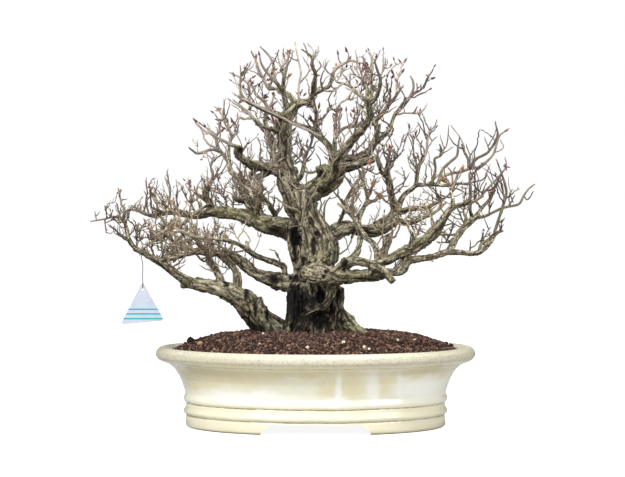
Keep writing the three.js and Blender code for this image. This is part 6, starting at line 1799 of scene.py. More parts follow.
@dataclass
class Pot:
    """The oval pot: thrown outline, two C-shaped feet, two drain holes and an ivory glaze."""

    long: float = 480.0
    deep: float = 380.0
    foot_high: float = 15.8
    foot_inside: float = 179.0
    floor_top: float = 28.0
    floor_half: float = 172.0
    gap_low: float = 80.0
    gap_high: float = 67.0
    drain_apart: float = 70.0
    drain_radius: float = 13.0
    fade_half: float = 100.0
    steps: int = 160
    roundings: tuple[float, ...] = (1.1, 0.45)
    waver: float = 0.55

    def build(self, glaze: Material) -> Piece:
        """Turn the pot, cut its feet and holes and dress it.

        Args:
            glaze: Material of the pot.

        Returns:
            The piece.
        """
        body = self._turned()
        cutters = [self._foot_gap()] + [self._drain(x) for x in (-self.drain_apart, self.drain_apart)]
        for cutter in cutters:
            self._cut(body, cutter)
        self._waver(body.data)
        body.data.shade_smooth()
        body.data.set_sharp_from_angle(angle=math.radians(48))
        return finished(body, glaze, Slot.GLAZE, "pot")

    def _outline(self) -> list[Pair]:
        """Return the closed outline from the middle of the underside round to the middle of the floor.

        Returns:
            Half lengths and heights.
        """
        below = [(0.0, self.foot_high), (self.foot_inside, self.foot_high), (self.foot_inside + 0.6, 0.0)]
        within = [(0.0, self.floor_top), (self.floor_half, self.floor_top), *POT_INSIDE]
        return below + POT_OUTSIDE + within[::-1]

    def _rounded(self, outline: list[Pair]) -> list[Pair]:
        """Round an open outline by cutting its corners several times, each time a little less.

        Args:
            outline: Half lengths and heights.

        Returns:
            The rounded outline.
        """
        for most in self.roundings:
            cut = [outline[0]]
            for (ax, az), (bx, bz) in zip(outline, outline[1:]):
                share = min(0.25, most / math.hypot(bx - ax, bz - az))
                cut.append((ax + (bx - ax) * share, az + (bz - az) * share))
                cut.append((bx + (ax - bx) * share, bz + (az - bz) * share))
            outline = cut + [outline[-1]]
        return outline

    def half_deep(self, half_long: Array) -> Array:
        """Return the half width for a half length: a step less, which fades towards the middle."""
        step = (self.long - self.deep) / 2
        return half_long - step * np.minimum(1, half_long / self.fade_half)

    def _turned(self) -> Piece:
        """Spin the outline and squeeze the round to an oval.

        Returns:
            The body, still without feet and holes.
        """
        bm = bmesh.new()
        verts = [bm.verts.new((long * MM, 0, high * MM)) for long, high in self._rounded(self._outline())]
        edges = [bm.edges.new(pair) for pair in zip(verts, verts[1:])]
        bmesh.ops.spin(
            bm,
            geom=verts + edges,
            cent=(0, 0, 0),
            axis=(0, 0, 1),
            angle=2 * math.pi,
            steps=self.steps,
            use_merge=True,
        )
        bmesh.ops.remove_doubles(bm, verts=bm.verts[:], dist=1e-5)
        bmesh.ops.recalc_face_normals(bm, faces=bm.faces[:])
        body = to_object(bm, "pot_body")
        places = places_of(body.data) / MM
        radius = np.hypot(places[:, 0], places[:, 1])
        places[:, 1] *= self.half_deep(radius) / np.maximum(radius, 1e-6)
        set_places(body.data, places * MM)
        return body

    def _foot_gap(self) -> Piece:
        """Make the block that parts the two feet, with ends that curve in like an ogee.

        Returns:
            The cutter.
        """
        low, high = self.gap_low, self.gap_high
        half = [(low, -2), (low, 0), (low - 1.5, 4.5), (low - 5, 8)]
        half += [(high + 4, 9.8), (high + 1, 11.6), (high - 1, self.foot_high)]
        bm = bmesh.new()
        right = [bm.verts.new((x * MM, -self.deep / 2 * MM, z * MM)) for x, z in half]
        left = [bm.verts.new((-x * MM, -self.deep / 2 * MM, z * MM)) for x, z in reversed(half)]
        face = bm.faces.new(right + left)
        grown = bmesh.ops.extrude_face_region(bm, geom=[face])["geom"]
        bmesh.ops.translate(bm, verts=only(bmesh.types.BMVert, grown), vec=(0, self.deep * MM, 0))
        bmesh.ops.recalc_face_normals(bm, faces=bm.faces[:])
        return to_object(bm, "foot_gap")

    def _drain(self, x: float) -> Piece:
        """Make the plug that cuts one drain hole.

        Args:
            x: Place of the hole to the right of the middle.

        Returns:
            The cutter.
        """
        bm = bmesh.new()
        middle = (self.foot_high + self.floor_top) / 2
        bmesh.ops.create_cone(
            bm,
            cap_ends=True,
            segments=40,
            radius1=self.drain_radius * MM,
            radius2=self.drain_radius * MM,
            depth=(self.floor_top - self.foot_high + 4) * MM,
            matrix=Matrix.Translation((x * MM, 0, middle * MM)),
        )
        return to_object(bm, "drain")

    @staticmethod
    def _cut(body: Piece, cutter: Piece) -> None:
        """Take a cutter's shape out of the body and remove the cutter.

        Args:
            body: The body, which is changed.
            cutter: The shape to take out.
        """
        cut = body.modifiers.new("cut", "BOOLEAN")
        cut.operation = "DIFFERENCE"
        cut.solver = "EXACT"
        cut.object = cutter
        graph = bpy.context.evaluated_depsgraph_get()
        mesh = bpy.data.meshes.new_from_object(body.evaluated_get(graph))
        body.modifiers.clear()
        body.data = mesh
        bpy.data.objects.remove(cutter)

    def _waver(self, mesh: Mesh) -> None:
        """Give the wall the slight unevenness of a hand-pressed pot, but leave the feet flat.

        Args:
            mesh: Mesh of the pot, which is changed.
        """
        places = places_of(mesh) / MM
        lift = self.waver * layered_noise(places / (42, 42, 60), 2, 61)
        swell = 1 + 0.0022 * layered_noise(places / (36, 36, 30), 2, 62)
        steady = rising(places[:, 2], 3, 15) * rising(places[:, 2], 118, 98)
        places[:, 2] += lift * steady
        places[:, :2] *= 1 + (swell[:, None] - 1) * np.clip(places[:, 2:] / 20, 0, 1)
        set_places(mesh, places * MM)


@dataclass
class DrainNets:
    """The fine plastic nets over the drain holes. Their staples are the solids."""

    side: float = 36.0
    thick: float = 1.2
    low: float = 28.3
    apart: float = 70.0
    meshes: int = 12
    bar: float = 0.8

    def build(self, net: Material, wire: Material) -> None:
        """Weave both nets and dress the staples.

        Args:
            net: Material of the nets.
            wire: Material of the staples.
        """
        for x, side in ((-self.apart, "left"), (self.apart, "right")):
            finished(self._net(x, f"net_{side}"), net, Slot.SCREEN, f"drainage_screen_{side}")
            dress(FRAME["nodes"][f"screen_wire_{side}"], wire)

    def _net(self, x: float, name: str) -> Piece:
        """Make one square net with square holes.

        Args:
            x: Place of the net to the right of the middle.
            name: Name of the piece.

        Returns:
            The net.
        """
        bm = bmesh.new()
        middle = Matrix.Translation((x * MM, 0, (self.low + self.thick / 2) * MM))
        half = self.side / 2 * MM
        bmesh.ops.create_grid(bm, x_segments=self.meshes, y_segments=self.meshes, size=half, matrix=middle)
        openings = bm.faces[:]
        bmesh.ops.inset_individual(bm, faces=openings, thickness=self.bar / 2 * MM)
        bmesh.ops.delete(bm, geom=openings, context="FACES_ONLY")
        bmesh.ops.solidify(bm, geom=bm.faces[:], thickness=self.thick / 2 * MM)
        bmesh.ops.recalc_face_normals(bm, faces=bm.faces[:])
        return to_object(bm, name, smooth=False)


@dataclass
class PlantTag:
    """The thin clear tag with ruled write-on lines, hung by a thread from the low left branch."""

    skeleton: Skeleton
    across: float = -257.0
    top: float = 216.0
    corners: tuple[Pair, ...] = ((0, 1.5), (-33, -61.5), (32, -56))
    corner_run: float = 6.0
    hole_down: float = 9.0
    hole_radius: float = 2.4
    thick: float = 1.0
    thread_radius: float = 0.6
    loop_points: int = 9
    loop_clear: float = 1.3
    slide: float = 1.6
    gap: float = 0.3

    def build(self, film: Material, cotton: Material) -> None:
        """Tie the thread and hang the tag on it.

        Args:
            film: Material of the tag.
            cotton: Material of the thread.
        """
        route = self._route()
        smooth = Member(route, np.full(len(route), self.thread_radius))
        path = smooth.at(np.linspace(0, 1, 120))
        thread = sweep("thread", path[None], np.full((1, len(path)), self.thread_radius), 8, 0.05)
        finished(thread, cotton, Slot.THREAD, "tag_thread")
        plate = finished(self._plate(), film, Slot.TAG, "tag")

    def _tied(self) -> tuple[float, Array, Array]:
        """Return the branch's share, place and direction where the thread is tied.

        Returns:
            The share, the place in millimetres and the direction.
        """
        branch = self.skeleton.members["low_tip"]
        shares = np.linspace(0, 1, 401)
        t = float(shares[np.abs(branch.at(shares)[:, 0] - self.across).argmin()])
        return t, branch.at(t)[0], branch.direction(t)[0]

    def _route(self) -> Array:
        """Return the thread's route: a loop round the branch, down through the tag's hole and up again.

        Returns:
            Its points in millimetres.
        """
        t, point, tangent = self._tied()
        loop = float(self.skeleton.members["low_tip"].radius(t)) + self.loop_clear + self.thread_radius
        front = unit(np.array([0, -1, 0]) + tangent * tangent[1])
        up = unit(np.cross(tangent, front))
        up = -up if up[2] < 0 else up
        route = []
        for i in range(self.loop_points + 1):
            share = i / self.loop_points
            angle = -math.pi / 2 + 0.5 + (2 * math.pi - 0.6) * share
            turn = loop * (math.cos(angle) * front + math.sin(angle) * up)
            route.append(point + turn + tangent * (self.slide - 2 * self.slide * share))
        x, y = point[0], point[1]
        hole = self.top - self.hole_down
        eye = hole + self.hole_radius - self.gap - self.thread_radius
        route += [np.array([x, y - 1, z]) for z in (point[2] - loop - 9, point[2] - loop - 24, hole + 9)]
        through = [(0, -2.6, hole + 4), (0, -2.2, eye + 0.2), (0, 0, eye - 0.9), (0, 2.2, eye + 0.2)]
        through += [(0, 2.6, hole + 4), (0.4, 2.2, hole + 9)]
        route += [np.array([x + aside, y + back, high]) for aside, back, high in through]
        return np.array(route)

    def _plate(self) -> Piece:
        """Cut the tag: a triangle with rounded corners and a round hole.

        Returns:
            The plate.
        """
        _, point, _ = self._tied()
        bm = bmesh.new()
        outer = [bm.verts.new((u * MM, 0, v * MM)) for u, v in self.corners]
        face = bm.faces.new(outer)
        bmesh.ops.bevel(
            bm,
            geom=outer,
            offset=self.corner_run * MM,
            offset_type="OFFSET",
            segments=8,
            profile=0.5,
            affect="VERTICES",
            material=-1,
        )
        edges = bm.edges[:]
        bmesh.ops.delete(bm, geom=[face] if face.is_valid else bm.faces[:], context="FACES_ONLY")
        ring = bmesh.ops.create_circle(
            bm, segments=28, radius=self.hole_radius * MM,
            matrix=Matrix.Translation((0, 0, -self.hole_down * MM)) @ Matrix.Rotation(math.pi / 2, 4, "X"),
        )["verts"]
        edges += list({edge for vert in ring for edge in vert.link_edges})
        made = bmesh.ops.triangle_fill(bm, use_beauty=True, edges=edges)["geom"]
        grown = bmesh.ops.extrude_face_region(bm, geom=only(bmesh.types.BMFace, made))["geom"]
        bmesh.ops.translate(bm, verts=only(bmesh.types.BMVert, grown), vec=(0, self.thick * MM, 0))
        spot = (point[0] * MM, (point[1] - self.thick / 2) * MM, self.top * MM)
        bmesh.ops.translate(bm, verts=bm.verts[:], vec=spot)
        bmesh.ops.recalc_face_normals(bm, faces=bm.faces[:])
        return to_object(bm, "tag_plate", smooth=False)


class Wiring:
    """Adds nodes to one node tree and joins them."""

    def __init__(self, tree: bpy.types.NodeTree, patterns: Patterns | None = None) -> None:
        """Start wiring.

        Args:
            tree: The tree of a material or a group.
            patterns: The shared groups, for a material.
        """
        self.tree = tree
        self.patterns = patterns

    def add(self, kind: str, inputs: dict | None = None, **settings) -> Node:
        """Add a node, set its options and fill its sockets.

        Args:
            kind: Type of the node without its ShaderNode prefix.
            inputs: Sockets by name or number, with a value or an output to link.
            settings: Options of the node.

        Returns:
            The node.
        """
        node = self.tree.nodes.new(f"ShaderNode{kind}")
        for key, value in settings.items():
            setattr(node, key, value)
        for key, value in (inputs or {}).items():
            self.fill(node.inputs[key], value)
        return node

    def fill(self, socket: Socket, value: Socket | float | tuple) -> None:
        """Link an output to a socket or set its value, with a colour's fourth number.

        Args:
            socket: The socket to fill.
            value: An output, a number or a row of numbers.
        """
        if isinstance(value, Socket):
            self.tree.links.new(value, socket)
        elif socket.type == "RGBA" and len(value) == 3:
            socket.default_value = (*value, 1.0)
        else:
            socket.default_value = value

    def join(self, shader: Node, **sockets: Socket | float | tuple) -> None:
        """Fill sockets of the shader, named with underscores for spaces."""
        for key, value in sockets.items():
            self.fill(shader.inputs[key.replace("_", " ")], value)

    def attribute(self, name: str) -> Socket:
        """Read a stored attribute as a number."""
        return self.add("Attribute", attribute_name=name).outputs["Fac"]

    def grain(self) -> Socket:
        """Read the place along a tube or limb: across, along its side and along its length."""
        return self.add("Attribute", attribute_name="grain").outputs["Vector"]

    def place(self) -> Socket:
        """Return the place on the object, in metres."""
        return self.add("TexCoord").outputs["Object"]

    def coordinate(self, axis: int) -> Socket:
        """Return one coordinate of the place: 0 across, 1 to the back or 2 up."""
        return self.add("SeparateXYZ", {0: self.place()}).outputs[axis]

    def stretched(self, scale: tuple[float, float, float]) -> Socket:
        """Return the place multiplied by a scale for each axis."""
        return self.add("VectorMath", {0: self.place(), 1: scale}, operation="MULTIPLY").outputs[0]

    def streaks(self, across: float, along: float) -> Socket:
        """Draw fibres along the grain, so many to a millimetre across and along it."""
        inputs = {"Vector": self.grain(), "Across": across, "Along": along}
        return self.add("Group", inputs, node_tree=self.patterns.streaks).outputs[0]

    def mottle(self, size: float, low: float, high: float, at: Socket | None = None) -> Socket:
        """Lay soft patches.

        Args:
            size: Their size in metres.
            low: Noise below which there is none.
            high: Noise above which they are full.
            at: The vector that they follow, by default the place on the object.

        Returns:
            A mask that is one inside the patches.
        """
        inputs = {"Vector": self.place() if at is None else at, "Size": size, "Low": low, "High": high}
        return self.add("Group", inputs, node_tree=self.patterns.mottle).outputs[0]

    def noise(self, scale: float, detail: float, **inputs: float) -> Socket:
        """Return plain noise on the object."""
        inputs |= {"Vector": self.place(), "Scale": scale, "Detail": detail}
        return self.add("TexNoise", inputs).outputs[0]

    def ramp(self, value: Socket, stops: Stops) -> Socket:
        """Turn a number into a colour along a ramp.

        Args:
            value: The number.
            stops: Places on the ramp with their colours.

        Returns:
            The colour.
        """
        node = self.add("ValToRGB", {0: value})
        band = node.color_ramp
        for place, colour in stops[1:-1]:
            band.elements.new(place).color = (*colour, 1)
        for element, (place, colour) in ((band.elements[0], stops[0]), (band.elements[-1], stops[-1])):
            element.position = place
            element.color = (*colour, 1)
        return node.outputs["Color"]

    def between(self, value: Socket, low: float, high: float, start: float = 0.0, end: float = 1.0) -> Socket:
        """Map a number from one range to another, and keep it there."""
        inputs = {0: value, 1: low, 2: high, 3: start, 4: end}
        return self.add("MapRange", inputs, interpolation_type="SMOOTHSTEP").outputs[0]

    def eased(self, mask: Socket, least: float, most: float) -> Socket:
        """Map a mask so that it goes from the least to the most."""
        return self.between(mask, 0.0, 1.0, least, most)

    def band(self, value: Socket, limits: Quad) -> Socket:
        """Return a mask that rises between the first two limits and falls between the last two."""
        first, full, fading, last = limits
        return self.times(self.between(value, first, full), self.between(value, last, fading))

    def laid(
        self,
        colour: Socket | Colour,
        mask: Socket,
        tone: Socket | Colour,
        strength: float | Socket | None = None,
        blend: str = "MIX",
    ) -> Socket:
        """Lay a tone over a colour.

        Args:
            colour: Colour below.
            mask: Where the tone lies.
            tone: Colour on top.
            strength: How much of it shows at most, where not all.
            blend: How it is laid on.

        Returns:
            The mixed colour.
        """
        share = mask if strength is None else self.times(mask, strength)
        inputs = {0: share, 6: colour, 7: tone}
        return self.add("Mix", inputs, data_type="RGBA", blend_type=blend).outputs[2]

    def math(self, operation: str, first: Socket | float, second: Socket | float) -> Socket:
        """Join two numbers by an operation."""
        return self.add("Math", {0: first, 1: second}, operation=operation).outputs[0]

    def times(self, first: Socket, second: Socket | float) -> Socket:
        """Multiply two numbers."""
        return self.math("MULTIPLY", first, second)

    def plus(self, first: Socket, second: Socket | float) -> Socket:
        """Add two numbers."""
        return self.math("ADD", first, second)

    def bump(self, height: Socket, distance: float, strength: float = 1.0) -> Socket:
        """Return a normal bumped by a height, with the distance in metres."""
        return self.add("Bump", {"Height": height, "Distance": distance, "Strength": strength}).outputs[0]


class Patterns:
    """Shader groups that several materials share."""

    def __init__(self) -> None:
        """Build every group once."""
        self.streaks = self._streaks()
        self.mottle = self._mottle()

    @staticmethod
    def _group(name: str, **inputs: float) -> tuple[Wiring, list[Socket], Socket]:
        """Start a group that reads a vector and named numbers and puts out one mask.

        Args:
            name: Name of the group.
            inputs: The numbers with their usual values.

        Returns:
            Its wiring, its inputs and the socket of its output.
        """
        tree = bpy.data.node_groups.new(name, "ShaderNodeTree")
        tree.interface.new_socket("Mask", in_out="OUTPUT", socket_type="NodeSocketFloat")
        tree.interface.new_socket("Vector", in_out="INPUT", socket_type="NodeSocketVector")
        for label, value in inputs.items():
            socket = tree.interface.new_socket(label, in_out="INPUT", socket_type="NodeSocketFloat")
            socket.default_value = value
        come, go = tree.nodes.new("NodeGroupInput"), tree.nodes.new("NodeGroupOutput")
        return Wiring(tree), list(come.outputs), go.inputs[0]

    def _streaks(self) -> bpy.types.NodeTree:
        """Noise drawn out along the third axis of a vector, as bark fibres are.

        Returns:
            The group.
        """
        wiring, (vector, across, along, *_), mask = self._group("streaks", Across=1.0, Along=0.1)
        scale = wiring.add("CombineXYZ", {0: across, 1: across, 2: along}).outputs[0]
        drawn = wiring.add("VectorMath", {0: vector, 1: scale}, operation="MULTIPLY").outputs[0]
        inputs = {"Vector": drawn, "Scale": 1.0, "Detail": 4.0, "Roughness": 0.62}
        wiring.fill(mask, wiring.add("TexNoise", inputs).outputs[0])
        return wiring.tree

    def _mottle(self) -> bpy.types.NodeTree:
        """Soft patches of a given size in metres, with a given contrast.

        Returns:
            The group.
        """
        wiring, (vector, size, low, high, *_), mask = self._group("mottle", Size=0.01, Low=0.35, High=0.65)
        scale = wiring.math("DIVIDE", 1.0, size)
        inputs = {"Vector": vector, "Scale": scale, "Detail": 5.0, "Roughness": 0.6}
        noise = wiring.add("TexNoise", inputs).outputs[0]
        ranged = wiring.add("MapRange", {0: noise, 1: low, 2: high}, interpolation_type="SMOOTHSTEP")
        wiring.fill(mask, ranged.outputs[0])
        return wiring.tree


class Finish:
    """Base of the finishes: makes a material with one Principled shader for the finish to wire."""

    name = "finish"

    def material(self, patterns: Patterns) -> Material:
        """Make the material.

        Args:
            patterns: The shared groups.

        Returns:
            The material.
        """
        made = bpy.data.materials.new(self.name)
        made.use_nodes = True
        made.node_tree.nodes.clear()
        wiring = Wiring(made.node_tree, patterns)
        shader = wiring.add("BsdfPrincipled")
        wiring.add("OutputMaterial", {0: shader.outputs[0]})
        self.wire(wiring, shader)
        return made

    def wire(self, wiring: Wiring, shader: Node) -> None:
        """Wire the shader's sockets. Each finish does it in its own way.

        Args:
            wiring: Where the nodes go.
            shader: The Principled shader.
        """
        raise NotImplementedError


@dataclass(frozen=True)
class OldBark(Finish):
    """Weathered bark: pale ridges over brown-grey, olive moss, a damp foot, painted shade in grooves,
    hollows, patches, foot and undersides.
    """

    name: str = "old_bark"
    dark: Colour = (0.022, 0.017, 0.011)
    brown: Colour = (0.115, 0.09, 0.06)
    grey: Colour = (0.3, 0.274, 0.18)
    pale: Colour = (0.76, 0.715, 0.53)
    tan: Colour = (0.4, 0.33, 0.22)
    moss: Colour = (0.14, 0.14, 0.04)
    black: Colour = (0.005, 0.004, 0.004)
    # Painted shade, multiplied on the undersides
    underside_shade: Colour = (0.3, 0.27, 0.22)
    # Multiplied on the damp foot and in painted shade
    damp_and_shade: Colour = (0.12, 0.092, 0.075)

    def wire(self, wiring: Wiring, shader: Node) -> None:
        """Wire fibres, moss, and painted shade in the grooves, hollows, patches, foot and undersides.

        Args:
            wiring: Where the nodes go.
            shader: The Principled shader.
        """
        fibres, fine = wiring.streaks(0.5, 0.06), wiring.streaks(1.5, 0.13)
        both = wiring.plus(wiring.times(fibres, 0.5), wiring.times(fine, 0.5))
        stops = [(0.32, self.dark), (0.43, self.brown), (0.52, self.grey), (0.67, self.pale)]
        wood = wiring.ramp(both, stops)
        wood = wiring.laid(wood, wiring.between(wiring.attribute("tint"), 0.45, 0.85, 0.0, 0.45), self.tan)
        ridge = wiring.times(wiring.attribute("crest"), wiring.between(fine, 0.38, 0.6))
        wood = wiring.laid(wood, ridge, self.pale, 0.55)
        wood = wiring.laid(wood, wiring.mottle(0.024, 0.42, 0.6), self.brown, 0.35)
        wood = wiring.laid(wood, wiring.mottle(0.004, 0.48, 0.66), self.dark, 0.5)
        wood = wiring.laid(wood, wiring.mottle(0.0031, 0.53, 0.66), self.pale, 0.6)
        # Painted shade: the carved grooves and valleys are laid nearly black.
        groove = wiring.between(wiring.attribute("groove"), 0.1, 0.8)
        wood = wiring.laid(wood, groove, self.dark, 0.86)
        tufts = wiring.mottle(0.006, 0.34, 0.62)
        mossy = wiring.times(wiring.eased(tufts, 0.25, 1.0), wiring.attribute("moss"))
        wood = wiring.laid(wood, mossy, self.moss, 0.7)
        # Painted shade, with the damp of the foot: the dark foot and the shaded patches are multiplied
        # darker.
        wood = wiring.laid(wood, wiring.attribute("damp_and_shade"), self.damp_and_shade, blend="MULTIPLY")
        # Painted shade: the undersides of the limbs, read from facing, are multiplied darker.
        underside_shade = wiring.between(wiring.attribute("facing"), 0.2, -0.65, 0.0, 0.85)
        wood = wiring.laid(wood, underside_shade, self.underside_shade, blend="MULTIPLY")
        # Painted shade: the hollows and pits are laid nearly black, and the scars with them.
        wood = wiring.laid(wood, wiring.attribute("shade"), self.black, 0.95)
        relief = wiring.bump(wiring.plus(both, wiring.times(tufts, 0.3)), 0.0014, 0.8)
        wiring.join(shader, Base_Color=wood, Roughness=0.88, Normal=relief, Specular_IOR_Level=0.25)


@dataclass(frozen=True)
class YoungBark(Finish):
    """Bark of shoots and twigs: tan and mauve-grey, paler where it peels, with painted shade on the canopy's
    outer ends.
    """

    name: str = "young_bark"
    dark: Colour = (0.06, 0.043, 0.037)
    mauve: Colour = (0.17, 0.133, 0.118)
    tan: Colour = (0.32, 0.265, 0.21)
    pale: Colour = (0.58, 0.53, 0.45)
    olive: Colour = (1.0, 0.96, 0.8)
    outer: Colour = (0.58, 0.56, 0.58)
    moss: Colour = (0.16, 0.155, 0.07)
    # Places in metres, each from none to full: the olive lower canopy and the outer ends darkened with
    # painted shade
    olive_high: Pair = (0.42, 0.33)
    outer_right: Pair = (0.15, 0.24)
    outer_left: Pair = (-0.22, -0.28)

    def wire(self, wiring: Wiring, shader: Node) -> None:
        """Wire fibres, the change from twig to twig, and a little green.

        Args:
            wiring: Where the nodes go.
            shader: The Principled shader.
        """
        fibres = wiring.streaks(1.1, 0.11)
        mixed = wiring.plus(wiring.times(fibres, 0.75), wiring.times(wiring.attribute("tint"), 0.25))
        wood = wiring.ramp(mixed, [(0.32, self.dark), (0.46, self.mauve), (0.56, self.tan), (0.7, self.pale)])
        low = wiring.between(wiring.coordinate(2), *self.olive_high)
        wood = wiring.laid(wood, low, self.olive, blend="MULTIPLY")
        # Painted shade: the twigs at the canopy's outer ends are multiplied darker.
        aside = wiring.coordinate(0)
        outer = wiring.plus(wiring.between(aside, *self.outer_right), wiring.between(aside, *self.outer_left))
        wood = wiring.laid(wood, outer, self.outer, blend="MULTIPLY")
        thick = wiring.between(wiring.attribute("thick"), 0.8, 2.6, 0.0, 0.55)
        wood = wiring.laid(wood, wiring.mottle(0.03, 0.45, 0.6), self.moss, thick)
        relief = wiring.bump(fibres, 0.0005, 0.7)
        wiring.join(shader, Base_Color=wood, Roughness=0.8, Normal=relief, Specular_IOR_Level=0.3)


@dataclass(frozen=True)
class BudScales(Finish):
    """Small winter buds, from dark red-brown to orange-brown."""

    name: str = "bud_scales"
    dark: Colour = (0.055, 0.035, 0.033)
    red: Colour = (0.13, 0.04, 0.042)
    orange: Colour = (0.33, 0.165, 0.07)

    def wire(self, wiring: Wiring, shader: Node) -> None:
        """Wire the colour of each bud and the edges of its scales.

        Args:
            wiring: Where the nodes go.
            shader: The Principled shader.
        """
        scales = wiring.streaks(0.8, 0.9)
        mixed = wiring.plus(wiring.times(wiring.attribute("tint"), 0.7), wiring.times(scales, 0.3))
        colour = wiring.ramp(mixed, [(0.1, self.dark), (0.45, self.red), (0.85, self.orange)])
        wiring.join(shader, Base_Color=colour, Roughness=0.5, Normal=wiring.bump(scales, 0.0004, 0.6))


@dataclass(frozen=True)
class IvoryGlaze(Finish):
    """Thick ivory glaze: yellow upper belly, milk-white runs, a painted highlight on the beads, thin lines of
    painted shade below the beads and under the rim, the top one partly brown glaze, specked rim.
    """

    name: str = "ivory_glaze"
    cream: Colour = (0.77, 0.73, 0.55)
    yellow: Colour = (0.69, 0.615, 0.37)
    white: Colour = (0.84, 0.845, 0.79)
    blue: Colour = (0.7, 0.745, 0.72)
    brown: Colour = (0.26, 0.2, 0.1)
    grey: Colour = (0.37, 0.35, 0.265)
    specks: Colour = (0.2, 0.16, 0.1)
    clay: Colour = (0.42, 0.36, 0.27)
    # Heights in metres between which each band of the glaze rises and falls again
    upper_belly: Quad = (0.056, 0.084, 0.092, 0.106)
    lower_belly: Quad = (0.044, 0.054, 0.066, 0.09)
    bead_highlight: Quad = (0.0385, 0.041, 0.051, 0.0545)
    lip: Quad = (0.0965, 0.099, 0.101, 0.1035)
    rim_from: Pair = (0.101, 0.104)
    foot_from: Pair = (0.01, -0.002)
    bare_from: Pair = (0.0022, 0.0006)
    line_half: float = 0.0013
    # Yellow pools and white drips: middle across and up, half width and half height, in metres
    pools: tuple[Quad, ...] = (
        (-0.135, 0.088, 0.085, 0.017),
        (-0.175, 0.068, 0.04, 0.02),
        (0.018, 0.069, 0.016, 0.017),
        (0.052, 0.071, 0.02, 0.022),
        (0.097, 0.073, 0.021, 0.017),
        (0.16, 0.09, 0.05, 0.009),
        (-0.03, 0.093, 0.07, 0.007),
    )
    drips: tuple[Quad, ...] = (
        (0.032, 0.066, 0.005, 0.026),
        (0.026, 0.05, 0.018, 0.006),
        (0.083, 0.067, 0.009, 0.026),
        (0.122, 0.069, 0.006, 0.022),
        (-0.115, 0.056, 0.07, 0.009),
        (0.15, 0.066, 0.04, 0.018),
    )

    def wire(self, wiring: Wiring, shader: Node) -> None:
        """Wire the belly, the beads with their painted highlight and lines of painted shade, the specked rim
        and the bare foot ring.

        Args:
            wiring: Where the nodes go.
            shader: The Principled shader.
        """
        high = wiring.coordinate(2)
        sway = wiring.plus(wiring.noise(26.0, 3.0, Roughness=0.6), -0.5)
        wavy = wiring.plus(high, wiring.times(sway, 0.03))
        colour = self._belly(wiring, wavy, sway)
        # Painted highlight: a white band along the beads.
        colour = wiring.laid(colour, wiring.band(high, self.bead_highlight), self.white, 0.3)
        colour = wiring.laid(colour, wiring.band(high, self.lip), self.yellow, 0.55)
        rim = wiring.between(high, *self.rim_from)
        dusty = wiring.mottle(0.0034, 0.46, 0.68)
        colour = wiring.laid(colour, rim, self.grey, wiring.eased(dusty, 0.62, 1.0))
        colour = self._shade_lines(wiring, colour, wiring.plus(high, wiring.times(sway, 0.004)))
        specks = wiring.mottle(0.0022, 0.66, 0.72)
        colour = wiring.laid(colour, specks, self.specks, wiring.eased(rim, 0.15, 0.6))
        colour = wiring.laid(colour, wiring.between(wavy, *self.foot_from), self.yellow, 0.5)
        bare = wiring.between(high, *self.bare_from)
        colour = wiring.laid(colour, bare, self.clay)
        rough = wiring.eased(wiring.plus(bare, wiring.times(rim, 0.5)), 0.2, 0.8)
        waves = wiring.bump(wiring.noise(45.0, 2.0), 0.0011, 0.5)
        coat = wiring.eased(rim, 0.5, 0.1)
        wiring.join(
            shader, Base_Color=colour, Roughness=rough, Coat_Weight=coat, Coat_Roughness=0.08, Normal=waves
        )

    def _belly(self, wiring: Wiring, wavy: Socket, sway: Socket) -> Socket:
        """Lay the pools, runs and drips of the belly on the cream.

        Args:
            wiring: Where the nodes go.
            wavy: The height, made wavy.
            sway: Broad noise around nought.

        Returns:
            The colour.
        """
        drawn = wiring.stretched((1.0, 1.0, 0.16))
        pools = wiring.mottle(0.05, 0.34, 0.62, wiring.stretched((0.55, 0.55, 1.0)))
        runs = wiring.mottle(0.022, 0.5, 0.62, drawn)
        thin = wiring.mottle(0.007, 0.5, 0.68, drawn)
        upper, lower = wiring.band(wavy, self.upper_belly), wiring.band(wavy, self.lower_belly)
        across = wiring.plus(wiring.coordinate(0), wiring.times(sway, 0.016))
        share = wiring.plus(wiring.times(upper, 0.25), 0.08)
        colour = wiring.laid(self.cream, pools, self.yellow, share)
        colour = wiring.laid(colour, lower, self.blue, wiring.eased(thin, 0.3, 0.6))
        colour = wiring.laid(colour, self._zones(wiring, across, wavy, self.pools), self.yellow, 0.75)
        colour = wiring.laid(colour, thin, self.blue, wiring.times(upper, 0.2))
        colour = wiring.laid(colour, self._zones(wiring, across, wavy, self.drips), self.white, 0.75)
        return wiring.laid(colour, runs, self.white, wiring.times(upper, 0.15))

    def _shade_lines(self, wiring: Wiring, colour: Socket, waved: Socket) -> Socket:
        """Draw the thin broken lines of painted shade in the undercuts below the beads and under the rim; the
        one below the upper bead is partly the glaze's own brown.

        Args:
            wiring: Where the nodes go.
            colour: Colour below.
            waved: The height, made slightly wavy.

        Returns:
            The colour with its lines.
        """
        breaks = wiring.mottle(0.008, 0.36, 0.6)
        # Painted shade: dark lines where the wall tucks in below each bead and under the rim.
        for middle, tone in ((0.0372, self.brown), (0.0187, self.grey), (0.0985, self.grey)):
            line = wiring.band(waved, (middle - self.line_half, middle, middle, middle + self.line_half))
            colour = wiring.laid(colour, line, tone, wiring.eased(breaks, 0.3, 1.0))
        return colour

